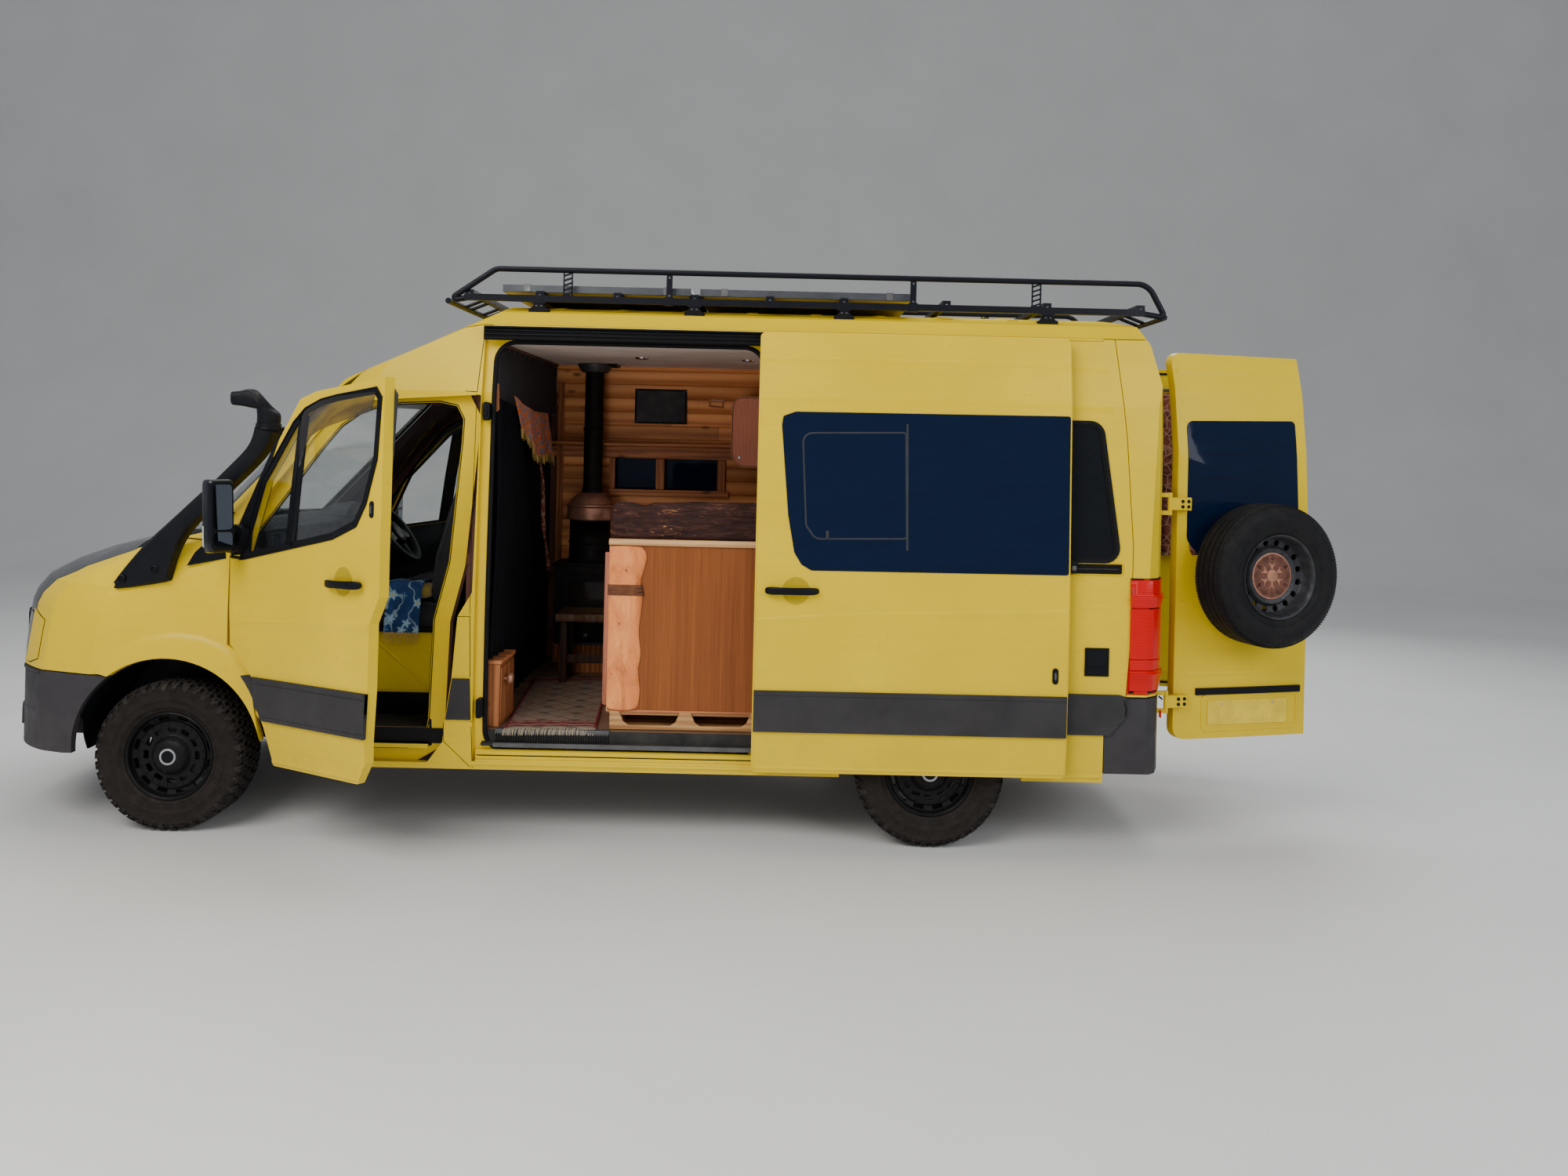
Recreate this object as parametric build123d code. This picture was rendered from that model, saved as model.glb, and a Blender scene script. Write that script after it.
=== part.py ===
from build123d import *
import os
import math

# High-roof camper van, long wheelbase, one sliding side door, doors standing
# open as parked.  Millimetres.  The working frame has X = 0 at the front axle
# (the van faces -X), Y = 0 on the centreline with the sliding door on -Y, and
# Z = 0 on the ground.  Everything is shifted to the row frame at the end.

# ---------------------------------------------------------------- dimensions
WHEELBASE = 3665.0
TYRE_R = 361.0            # standing radius of the all-terrain tyres
TYRE_W = 245.0
WHEEL_Y = 838.0           # middle plane of each road wheel
RIM_R = 212.0             # rim flange
BARREL_R = 190.0          # inside of the rim barrel
KINGPIN_Y = 690.0
WALL = 50.0               # whole wall: skin, frame and lining
GAP = 8.0                 # shut gap round doors
NOSE_X = -1000.0
TAIL_X = 4820.0
SILL_Z = 335.0
ROOF_Z = 2640.0
FLOOR_Z = 520.0
FLOOR_T = 50.0

ORIGIN_X = 2332.0            # middle of the whole parked box, working frame
ORIGIN_Y = -245.5

# body section: name, half width, height
SECTION = [
    ("sill", 958.0, SILL_Z),
    ("rocker", 984.0, 560.0),
    ("waist", 988.0, 1085.0),
    ("belt", 980.0, 1340.0),
    ("shoulder", 946.0, 2150.0),
    ("gutter", 890.0, 2478.0),
    ("roof_edge", 845.0, 2545.0),
]

# windscreen: slope, and its plan curve where it passes SCREEN_Z
SCREEN_SLOPE = 47.0
SCREEN_Z = 1400.0
SCREEN_MID_X = -215.0
SCREEN_END_X = 130.0
SCREEN_END_Y = 880.0
SCREEN_SIDE_X = 245.0
SCREEN_SIDE_Y = 972.0

# roof dome above the cab
DOME_SLOPE = 24.6
DOME_X = 1500.0
DOME_SAG = 148.0          # at half width 1000

# bonnet
BONNET_SLOPE = 15.0
BONNET_X = -300.0
BONNET_Z = 1408.0
# columns: x and z of a point on the centre line, slope in degrees
NOSE_FACETS = [(-1078.0, 860.0, 81.0), (-1048.0, 1057.0, 66.0), (-1024.0, 1112.0, 49.0), (-965.0, 1180.0, 28.0), (-830.0, 1252.0, 20.0)]

# cab door outline, closed, as (x, z)
CAB_DOOR = [
    (293, 915), (293, 1395), (655, 1905), (745, 2012), (840, 2064), (960, 2092),
    (1452, 2128), (1440, 1190), (1374, 1074), (1352, 786), (1325, 588),
    (1312, 470), (1240, 372), (606, 372), (552, 578), (468, 776), (350, 880),
]
CAB_WINDOW = [
    (400, 1335), (560, 1690), (800, 1950), (885, 2008), (1000, 2042), (1118, 2056),
    (1392, 2075), (1422, 2040), (1400, 1781), (1331, 1594), (1268, 1502),
    (1102, 1445),
]
CAB_HINGE = (287.0, -1006.0, 900.0)
CAB_HINGE_LEAN = 0.07     # the pin leans in with the body side
CAB_DOOR_OPEN = 36.0      # as parked

# sliding door
SLIDE_X0, SLIDE_X1 = 1468.0, 2962.0
SLIDE_Z0, SLIDE_Z1 = 372.0, 2468.0
SLIDE_TRAVEL = 1333.0
SLIDE_OUT = 78.0
SLIDE_WAY = (1517.0, 2817.0, 425.0, 2396.0)     # clear way x0, x1, z0, z1
SLIDE_WINDOW = [(1734, 1336), (1686, 1363), (1651, 1419), (1618, 1595), (1579, 2023), (1585, 2066), (1643, 2088), (2890, 2092),
                (2905, 2075), (2905, 1355), (2890, 1340)]

# rear doors
REAR_DOOR_Y = 770.0
REAR_DOOR_Z0, REAR_DOOR_Z1 = 510.0, 2440.0
REAR_HINGE_X, REAR_HINGE_Y = 4832.0, 838.0
REAR_DOOR_OPEN = 73.0     # both leaves, as parked
CAB_SIDE_END = 1560.0     # seam behind the post between the cab doorway and the side doorway
SPARE_Y, SPARE_Z = -392.0, 1345.0
SPARE_R, SPARE_W = 350.0, 235.0
SPARE_OUT = 62.0          # from the door skin to the tyre

FRONT_ARCH = (0.0, 385.0, 458.0)
REAR_ARCH = (WHEELBASE, 385.0, 440.0)


# ---------------------------------------------------------------- shape helpers
def region(start, *steps):
    """Closed flat outline from a start point, lines (x, y) and arcs (mx, my, x, y)."""
    here = start
    curve = None
    for step in steps:
        if len(step) == 2:
            if math.dist(here, step) < 1e-6:
                continue
            edge = Line(here, step)
            here = step
        else:
            edge = ThreePointArc(here, (step[0], step[1]), (step[2], step[3]))
            here = (step[2], step[3])
        curve = edge if curve is None else curve + edge
    if math.dist(here, start) > 1e-6:
        curve = curve + Line(here, start)
    return make_face(curve)


def flat(points, radius=0.0):
    face = region(points[0], *points[1:])
    if radius:
        face = fillet(face.vertices(), radius)
    return face


def along_y(face, y0, y1):
    return extrude(Plane.XZ.offset(-y1) * face, amount=y1 - y0)


def along_x(face, x0, x1):
    return extrude(Plane.YZ.offset(x0) * face, amount=x1 - x0)


def along_z(face, z0, z1):
    return extrude(Plane.XY.offset(z0) * face, amount=z1 - z0)


def box(x0, x1, y0, y1, z0, z1):
    return Pos((x0 + x1) / 2, (y0 + y1) / 2, (z0 + z1) / 2) * Box(abs(x1 - x0), abs(y1 - y0), abs(z1 - z0))


def rod(a, b, r):
    """Round bar between two points."""
    a, b = Vector(*a), Vector(*b)
    plane = Plane(origin=a, z_dir=(b - a))
    return extrude(plane * Circle(r), amount=(b - a).length)


def disc_y(x, y0, y1, z, r):
    return extrude(Plane(origin=(x, y0, z), x_dir=(1, 0, 0), z_dir=(0, 1, 0)) * Circle(r), amount=y1 - y0)


def other_side(shape):
    return mirror(shape, about=Plane.XZ)


def turned(shape, origin, direction, degrees):
    return shape.rotate(Axis(origin, direction), degrees)


def solids(shape):
    return [s for s in shape.solids() if s.volume > 500.0]


def joined(*shapes):
    out = shapes[0]
    for s in shapes[1:]:
        out = out + s
    return out


# ---------------------------------------------------------------- body envelope
def envelope(t):
    """The whole outside of the body drawn in by t; t = 0 is the skin."""
    low = SILL_Z if t == 0 else 60.0
    tops = [(w - t, z if n != "roof_edge" else z - 0.8 * t) for n, w, z in SECTION]
    tops[0] = (SECTION[0][1] - t, low)
    right = [(y, z) for y, z in reversed(tops)]
    section = region((-tops[0][0], low), *[(-y, z) for y, z in tops[1:]],
                     (0.0, ROOF_Z - t, right[0][0], right[0][1]), *right[1:])
    main = along_x(section, -300.0, 5000.0)

    # dome over the cab
    rise = (5200.0 - DOME_X) * math.tan(math.radians(DOME_SLOPE))
    crown = ROOF_Z - t + rise
    dome = region((-1000.0, crown - DOME_SAG), (0.0, crown, 1000.0, crown - DOME_SAG),
                  (1000.0, -6000.0), (-1000.0, -6000.0))
    slope = math.radians(DOME_SLOPE)
    dome = extrude(Plane.YZ.offset(5200.0) * dome, amount=7000.0,
                   dir=(-math.cos(slope), 0.0, -math.sin(slope)))

    # raked windscreen with a curved plan
    slope = math.radians(SCREEN_SLOPE)
    back = -SCREEN_Z / math.tan(slope) + 1.3 * t
    ex, ey = SCREEN_END_X + back, SCREEN_END_Y - 0.4 * t
    sx, sy = SCREEN_SIDE_X + back, SCREEN_SIDE_Y - t
    screen = region((ex, -ey), (SCREEN_MID_X + back, 0.0, ex, ey), (sx, sy), (sx + 900.0, 1100.0),
                    (9000.0, 1100.0), (9000.0, -1100.0), (sx + 900.0, -1100.0), (sx, -sy))
    screen = extrude(Plane.XY * screen, amount=4200.0, dir=(math.cos(slope), 0.0, math.sin(slope)))

    # rounded tail in plan, leaning forward at the top
    tail = region((4792.0 - t, -835.0), (TAIL_X - t, 0.0, 4792.0 - t, 835.0), (4752.0 - t, 932.0 - t),
                  (4560.0 - t, 1100.0), (-2000.0, 1100.0), (-2000.0, -1100.0), (4560.0 - t, -1100.0),
                  (4752.0 - t, -932.0 + t))
    tail = along_z(tail, 0.0, 3000.0)
    lean = flat([(-1500, 0), (4900, 0), (4850 - t, 1150), (4796 - t, 1950), (4756 - t, 2250),
                 (4704 - t, 2450), (4640 - t, 2560 - t), (4500 - t, 2640 - t), (4300, 2672 - t), (-1500, 2900)])
    lean = along_y(lean, -1200.0, 1200.0)
    main = main & dome & screen & tail & lean

    # bonnet and wings
    slope = math.radians(BONNET_SLOPE)
    rise = (700.0 - BONNET_X) * math.tan(slope)
    half = [(1000.0 - t, -900.0), (988.0 - t, 1120.0 - 0.2 * t), (965.0 - t, 1200.0 - 0.5 * t),
            (900.0 - 0.7 * t, 1290.0 - 0.7 * t), (700.0, 1362.0 - t)]
    half = [(y, z + rise) for y, z in half]
    right = list(reversed(half))
    top = region((-half[0][0], half[0][1]), *[(-y, z) for y, z in half[1:]],
                 (0.0, BONNET_Z - t + rise, right[0][0], right[0][1]), *right[1:])
    top = extrude(Plane.YZ.offset(700.0) * top, amount=2100.0, dir=(-math.cos(slope), 0.0, -math.sin(slope)))
    plan = region((-845.0 + t, -700.0), (NOSE_X + t, 0.0, -845.0 + t, 700.0),
                  (-665.0 + 0.7 * t, 893.0 - 0.7 * t, -350.0, 1000.0 - t),
                  (600.0, 1000.0), (600.0, -1000.0), (-350.0, -1000.0 + t),
                  (-665.0 + 0.7 * t, -893.0 + 0.7 * t, -845.0 + t, -700.0))
    plan = along_z(plan, 0.0, 2000.0)
    roll = region((NOSE_X + t, low), (NOSE_X + t, 960.0), (-986.0 + t, 1070.0), (-944.0 + t, 1175.0),
                  (-600.0 + t, 1500.0), (500.0, 1500.0), (500.0, low))
    roll = along_y(roll, -1200.0, 1200.0)
    # facets of the rounded front, each the same bow in plan moved along its own slope
    for x, z, degrees in NOSE_FACETS:
        slope = math.radians(degrees)
        x0 = x - z / math.tan(slope) + t / math.sin(slope)
        bow = region((x0 + 447.0, -893.0), (x0, 0.0, x0 + 447.0, 893.0), (x0 + 762.0, 1000.0), (x0 + 1300.0, 1100.0),
                     (x0 + 9000.0, 1100.0), (x0 + 9000.0, -1100.0), (x0 + 1300.0, -1100.0), (x0 + 762.0, -1000.0))
        roll = roll & extrude(Plane.XY * bow, amount=2000.0 / math.sin(slope), dir=(math.cos(slope), 0.0, math.sin(slope)))
    nose = along_x(section, -1200.0, 500.0) & top & plan & roll
    return main + nose


OUT = envelope(0.0)
IN = envelope(WALL)
SHELL = OUT - IN
ROOM = envelope(WALL + 1.0)      # what fills the inside stops 1 mm short


def skin_sheet(dx, dy, depth0, depth1):
    """Thin sheet of the skin between two depths, moved in along (dx, dy)."""
    return OUT.moved(Location((dx * depth0, dy * depth0, 0))) - OUT.moved(Location((dx * depth1, dy * depth1, 0)))


def both(shape):
    return shape + other_side(shape)


PARTS = {}

# ---------------------------------------------------------------- outline prisms
roof_line = [(-500, 2152), (640, 2152), (839, 2244), (1143, 2396), (1350, 2462), (1451, 2482), (5200, 2482)]
above_roof_line = along_y(flat(roof_line + [(5200, 3000), (-500, 3000)]), -1200, 1200)
below_roof_line = along_y(flat([(x, z - GAP / 2) for x, z in roof_line] + [(5200, 0), (-500, 0)]), -1200, 1200)
seam = [(4526, 2520), (4556, 2250), (4585, 1984), (4619, 1469), (4610, 1000), (4595, 752)]
bumper_edge = [(4595, 752), (4588, 660), (4560, 612), (4492, 600), (4500, 300)]
behind_seam = along_y(flat(seam + bumper_edge[1:] + [(5200, 300), (5200, 2520)]), -1200, 1200)
ahead_of_seam = along_y(flat([(x - 4, z) for x, z in seam + bumper_edge[1:]] + [(-1200, 300), (-1200, 2520)]), -1200, 1200)

cab_door_solid = along_y(flat(CAB_DOOR), -1300, -700)
cab_way = along_y(offset(flat(CAB_DOOR), GAP), -1300, -700)
cab_window = along_y(flat(CAB_WINDOW), -1300, -700)

x0, x1, z0, z1 = SLIDE_WAY
slide_way = along_y(flat([(x0, z0), (x1, z0), (x1, z1), (x0, z1)], 95), -1300, -700)
slide_recess = along_y(flat([(SLIDE_X0 - 6, SLIDE_Z0 - 6), (SLIDE_X1 + 6, SLIDE_Z0 - 6), (SLIDE_X1 + 6, SLIDE_Z1 + 6),
                             (SLIDE_X0 - 6, SLIDE_Z1 + 6)]), -1300, -700)
slide_panel = along_y(flat([(SLIDE_X0, SLIDE_Z0), (SLIDE_X1, SLIDE_Z0), (SLIDE_X1, SLIDE_Z1), (SLIDE_X0, SLIDE_Z1)], 25),
                      -1300, -700)
slide_window = along_y(flat(SLIDE_WINDOW), -1300, -700)
quarter_window = along_y(flat([(3060, 1408), (4546, 1408), (4453, 2065), (3060, 2065)], 60), -1300, -700)
right_windows = along_y(flat([(1852, 1606), (2572, 1606), (2572, 1863), (1852, 1863)], 30), 700, 1300)
arch_front = disc_y(FRONT_ARCH[0], -1300, -440, FRONT_ARCH[1], FRONT_ARCH[2]) + box(
    -FRONT_ARCH[2], FRONT_ARCH[2], -1300, -440, 0, FRONT_ARCH[1])
# the arch runs out to the rear towards the sill
arch_front = arch_front + along_y(flat([(0, 200), (0, 600), (395, 616), (453, 554), (490, 440), (521, 327), (521, 200)]), -1300, -640)
arch_rear = disc_y(REAR_ARCH[0], -1300, -640, REAR_ARCH[1], REAR_ARCH[2]) + box(
    REAR_ARCH[0] - REAR_ARCH[2], REAR_ARCH[0] + REAR_ARCH[2], -1300, -640, 0, REAR_ARCH[1])

# ---------------------------------------------------------------- body sides
cabin_zone = box(289, 4900, -1200, -782, 0, 2600) + box(-400, 300, -1200, -782, 1405, 2600)
left = SHELL & cabin_zone & below_roof_line & ahead_of_seam
left_recess = (OUT - OUT.moved(Location((0, 36, 0)))) & slide_recess
wing_tail = along_y(flat([(250, 1000), (300, 1000), (300, 915), (368, 880), (486, 776), (570, 578), (624, 372), (630, 300), (250, 300)]),
                    -1200, -700)
left_side = left - cab_way - slide_way - left_recess - quarter_window - arch_rear - wing_tail
right = other_side(left)
right_side = right - other_side(cab_way) - other_side(wing_tail) - right_windows - other_side(arch_rear)
PARTS["left_body_side"] = left_side & box(CAB_SIDE_END, 5400, -1400, 0, 0, 2800)
PARTS["left_cab_side"] = left_side & box(-600, CAB_SIDE_END, -1400, 0, 0, 2800)
PARTS["right_body_side"] = right_side

PARTS["high_roof"] = SHELL & above_roof_line

# rear corner posts, header and sill round the back doors
rear_way = along_x(flat([(-REAR_DOOR_Y - GAP, REAR_DOOR_Z0 - GAP), (REAR_DOOR_Y + GAP, REAR_DOOR_Z0 - GAP),
                         (REAR_DOOR_Y + GAP, REAR_DOOR_Z1 + GAP), (-REAR_DOOR_Y - GAP, REAR_DOOR_Z1 + GAP)], 70), 4400, 5200)
lamp_zone = box(4500, 5000, -1200, -782, 770, 1322)
posts = (SHELL & behind_seam & below_roof_line & box(4300, 5000, -1200, 1200, 756, 2600)) - rear_way
lamps = posts & both(lamp_zone)
posts = posts - both(box(4500, 5000, -1200, -778.5, 766, 1326))
lower_posts = SHELL & both(box(4700, 5000, -850, -REAR_DOOR_Y - GAP, 452, 758))
rear_sill = SHELL & box(4700, 5000, -850, 850, 452, REAR_DOOR_Z0 - GAP)
posts = posts + lower_posts + rear_sill
hinge_zs = [(676, 740), (1650, 1714)]
for z0, z1 in hinge_zs:
    zm = (z0 + z1) / 2
    for za, zb in ((z0 - 22, z0 - 1), (z1 + 1, z1 + 22)):
        for s in (-1, 1):
            k = Pos(REAR_HINGE_X, s * REAR_HINGE_Y, (za + zb) / 2) * Cylinder(11, zb - za)
            leaf = box(REAR_HINGE_X - 75, REAR_HINGE_X, s * REAR_HINGE_Y - 7, s * REAR_HINGE_Y + 7, za, zb)
            posts = posts + k + leaf
PARTS["rear_frame"] = posts
left_half = box(-1500, 5500, -1500, 0, 0, 3000)
PARTS["left_tail_lamp"] = lamps & left_half
PARTS["right_tail_lamp"] = lamps - left_half

PARTS["rear_bumper"] = (SHELL & (along_y(flat(bumper_edge + [(5200, 300), (5200, 748), (4595, 748)]), -1200, 1200)
                                 & box(4300, 5200, -1200, 1200, 380, 748))) \
    - box(4640, 5200, -852, 852, 450, 900)

# ---------------------------------------------------------------- front end
bonnet_zone = along_z(flat([(-1100, -650), (-540, -790), (-262, -790), (-262, 790), (-540, 790), (-1100, 650)]), 1012, 1600)
# the leaf is thinner than the walls, so that its edges leave the wings before it comes forward
PARTS["bonnet"] = (OUT - OUT.moved(Location((18, 0, -22)))) & bonnet_zone
bonnet_cut = along_z(flat([(-1120, -656), (-542, -799), (-255, -799), (-255, 799), (-542, 799), (-1120, 656)]), 1004, 1600)
nose_zone = box(-1100, 285, -1200, 1200, 756, 1600)
fronts = (SHELL & nose_zone) - bonnet_cut
wing_zone = box(-1100, 285, -1200, -520, 756, 1398)
grille_zone = box(-1100, -600, -517, 517, 760, 1000)
lamp_front = along_x(flat([(-850, 800), (-850, 990), (-700, 1040), (-524, 1000), (-524, 770), (-780, 770)]), -1100, -560)
PARTS["grille"] = fronts & grille_zone
headlamps = both(fronts & lamp_front)
PARTS["left_headlamp"] = headlamps & left_half
PARTS["right_headlamp"] = headlamps - left_half
lamp_front_cut = along_x(offset(flat([(-850, 800), (-850, 990), (-700, 1040), (-524, 1000), (-524, 770), (-780, 770)]), 3),
                         -1100, -560)
wing_tail_face = flat([(250, 1000), (300, 1000), (300, 915), (360, 880), (478, 776), (562, 578), (616, 372), (622, 330), (250, 330)])
low_wing = SHELL & along_y(wing_tail_face, -1200, -700) & box(250, 700, -1200, -700, 300, 760)
wing = ((fronts & wing_zone) + low_wing + (SHELL & along_y(wing_tail_face, -1200, -700) & box(250, 700, -1200, -700, 750, 1100))) \
    - lamp_front_cut - arch_front - cab_way - box(-258, 500, -784, 0, 700, 1600)
liner = (disc_y(0, -958, -520, FRONT_ARCH[1], FRONT_ARCH[2] + 14) - disc_y(0, -968, -510, FRONT_ARCH[1], FRONT_ARCH[2] + 2)) \
    & box(-600, 600, -1000, -500, 560, 1000)
wing = wing + (liner & (IN + SHELL))
PARTS["left_front_wing"] = wing
PARTS["right_front_wing"] = other_side(wing)

scuttle = (SHELL & box(-254, 500, -778, 778, 1250, 1432)) - bonnet_cut
PARTS["scuttle_panel"] = scuttle
PARTS["windscreen"] = skin_sheet(1, 0, 3, 13) & box(-320, 900, -776, 776, 1438, 2144)

bumper = SHELL & box(-1100, -250, -1200, 1200, 372, 750)
bumper = bumper - both(arch_front) - both(liner)
PARTS["front_bumper"] = bumper

# ---------------------------------------------------------------- cab doors
lean_axis = (0.0, -CAB_HINGE_LEAN, -math.sqrt(1 - CAB_HINGE_LEAN ** 2))
cab_door = (SHELL & cab_door_solid) - cab_window
cab_glass = (OUT.moved(Location((0, 4, 0))) - OUT.moved(Location((0, 10, 0)))) & along_y(
    offset(flat(CAB_WINDOW), -1.0), -1300, -700)
# mirror: foot on the door corner, arm and housing
mirror_foot = along_y(flat([(310, 1345), (392, 1345), (470, 1500), (330, 1440)]), -1012, -984)
mirror_arm = along_x(flat([(-1090, 1395), (-1000, 1385), (-1000, 1445), (-1090, 1445)]), 345, 395)
mirror_case = along_z(fillet(flat([(362, -1170), (452, -1170), (452, -1050), (362, -1050)]).vertices(), 30), 1362, 1702)
door_mirror = mirror_foot + mirror_arm + mirror_case
door_mirror = door_mirror - OUT.moved(Location((0, -1, 0)))
def opened_left(shape, degrees=CAB_DOOR_OPEN):
    return turned(shape, CAB_HINGE, lean_axis, degrees)

PARTS["left_cab_door"] = opened_left(cab_door)
PARTS["left_cab_door_glass"] = opened_left(cab_glass)
PARTS["left_mirror"] = opened_left(door_mirror)
PARTS["right_cab_door"] = other_side(cab_door)
PARTS["right_cab_door_glass"] = other_side(cab_glass)
PARTS["right_mirror"] = other_side(door_mirror)

# ---------------------------------------------------------------- sliding door, slid back
slide = ((OUT - OUT.moved(Location((0, 34, 0)))) & slide_panel) - slide_window
slide_glass = (OUT.moved(Location((0, 5, 0))) - OUT.moved(Location((0, 11, 0)))) & along_y(
    offset(flat(SLIDE_WINDOW), -1.0), -1300, -700)
there = Location((SLIDE_TRAVEL, -SLIDE_OUT, 0))
PARTS["sliding_door"] = slide.moved(there)
PARTS["sliding_door_glass"] = slide_glass.moved(there)

window_glass = (OUT.moved(Location((0, 4, 0))) - OUT.moved(Location((0, 12, 0)))) & along_y(
    flat([(3061, 1409), (4544, 1409), (4452, 2064), (3061, 2064)], 59), -1300, -700)
right_glass = (OUT.moved(Location((0, -4, 0))) - OUT.moved(Location((0, -12, 0)))) & along_y(
    flat([(1853, 1607), (2571, 1607), (2571, 1862), (1853, 1862)], 29), 700, 1300)
PARTS["left_side_glass"] = window_glass
PARTS["right_side_glass"] = right_glass

# ---------------------------------------------------------------- back doors
def back_door(side):
    leaf = flat([(4 * side, REAR_DOOR_Z0), (REAR_DOOR_Y * side, REAR_DOOR_Z0), (REAR_DOOR_Y * side, REAR_DOOR_Z1),
                 (4 * side, REAR_DOOR_Z1)])
    corner = [v for v in leaf.vertices() if abs(v.X) > 100]
    leaf = fillet(corner, 62)
    window = flat([(110 * side, 1400), (700 * side, 1400), (700 * side, 2090), (110 * side, 2090)], 70)
    panel = (SHELL & along_x(leaf, 4500, 5200)) - along_x(window, 4500, 5200)
    for z0, z1 in hinge_zs:
        k = Pos(REAR_HINGE_X, side * REAR_HINGE_Y, (z0 + z1) / 2) * Cylinder(11, z1 - z0)
        leaf_plate = box(REAR_HINGE_X - 8, REAR_HINGE_X + 2, side * REAR_HINGE_Y, side * (REAR_HINGE_Y - 122), z0, z1) \
            + box(REAR_HINGE_X - 90, REAR_HINGE_X + 2, side * (REAR_HINGE_Y - 122), side * (REAR_HINGE_Y - 76), z0, z1)
        panel = panel + k + (leaf_plate - IN.moved(Location((-10, 0, 0))))
    pane = (OUT.moved(Location((-4, 0, 0))) - OUT.moved(Location((-10, 0, 0)))) & along_x(
        flat([(111 * side, 1401), (699 * side, 1401), (699 * side, 2089), (111 * side, 2089)], 69), 4500, 5200)
    return panel, pane


left_back, left_back_glass = back_door(-1)
right_back, right_back_glass = back_door(1)
back_axis = (0.0, 0.0, -1.0)
def opened_back(shape, degrees=REAR_DOOR_OPEN):
    return turned(shape, (REAR_HINGE_X, -REAR_HINGE_Y, 0), back_axis, degrees)


def opened_back_right(shape, degrees=REAR_DOOR_OPEN):
    return turned(shape, (REAR_HINGE_X, REAR_HINGE_Y, 0), (0.0, 0.0, 1.0), degrees)

skin_x = 4812.0
sx0 = skin_x + SPARE_OUT
spare_axis = Plane(origin=(sx0, SPARE_Y, SPARE_Z), x_dir=(0, 1, 0), z_dir=(1, 0, 0))
spare_tyre = extrude(spare_axis * Circle(SPARE_R), amount=SPARE_W) - extrude(spare_axis * Circle(206), amount=SPARE_W)
spare_tyre = fillet(spare_tyre.edges().filter_by(GeomType.CIRCLE).group_by(SortBy.RADIUS)[-1], 40)
spare_rim = (extrude(spare_axis * Circle(205), amount=SPARE_W - 40) - extrude(spare_axis.offset(-1) * Circle(192), amount=SPARE_W)) \
    + extrude(spare_axis.offset(SPARE_W - 110) * Circle(200), amount=14)
spare_stub = extrude(Plane(origin=(skin_x + 9, SPARE_Y, SPARE_Z), x_dir=(0, 1, 0), z_dir=(1, 0, 0)) * Circle(70),
                     amount=SPARE_OUT + SPARE_W - 105)
spare_plate = box(skin_x + 9, skin_x + 19, SPARE_Y - 190, SPARE_Y + 190, SPARE_Z - 190, SPARE_Z + 190)
spare_rim = spare_rim + spare_stub + spare_plate
PARTS["left_rear_door"] = opened_back(left_back)
PARTS["left_rear_door_glass"] = opened_back(left_back_glass)
PARTS["spare_tyre"] = opened_back(spare_tyre)
PARTS["spare_rim_and_carrier"] = opened_back(spare_rim - OUT.moved(Location((1, 0, 0))))
PARTS["right_rear_door"] = opened_back_right(right_back)
PARTS["right_rear_door_glass"] = opened_back_right(right_back_glass)

# ---------------------------------------------------------------- floor and frame
zb = FLOOR_Z - FLOOR_T
floor = box(500, 4765, -925, 925, zb, FLOOR_Z)
floor = floor - both(box(REAR_ARCH[0] - 450, REAR_ARCH[0] + 450, -960, -660, 0, 600))
arch_box = box(REAR_ARCH[0] - 462, REAR_ARCH[0] + 462, -935, -648, zb, 842) - box(
    REAR_ARCH[0] - 450, REAR_ARCH[0] + 450, -960, -660, 0, 830)
floor = floor + both(arch_box)
toe = box(-45, 500, -478, 478, zb, FLOOR_Z) + box(-75, -45, -478, 478, zb, 1300) \
    + both(box(-75, 500, -478, -466, FLOOR_Z, 872)) + both(box(-75, 512, -925, -478, 860, 872)) \
    + both(box(500, 512, -925, -466, FLOOR_Z - 1, 872)) + both(box(-75, -45, -925, -478, 872, 1300))
floor = (floor + toe) & ROOM
PARTS["floor_pan"] = floor

rail = box(-760, 4700, -475, -385, 350, zb - 1)
frame = both(rail)
for x in (-720, 620, 1850, 3050, 4640):
    frame = frame + box(x - 40, x + 40, -390, 390, 385, zb - 1)
for x in (620, 1850, 3050):
    frame = frame + both(box(x - 35, x + 35, -912, -470, 410, zb - 1))
frame = frame - box(WHEELBASE - 220, WHEELBASE + 220, -600, 600, 300, 416)
# recovery eye under the right rail
eye = box(4620, 4745, 420, 440, 300, 362) - (Pos(4705, 430, 332) * Rot(90, 0, 0) * Cylinder(14, 60))
PARTS["underframe"] = frame + eye

driveline = box(-640, -110, -300, 300, 420, 1120) + box(-115, 560, -150, 150, 375, 460) \
    + rod((555, 0, 415), (WHEELBASE - 150, 0, TYRE_R), 38)
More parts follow.
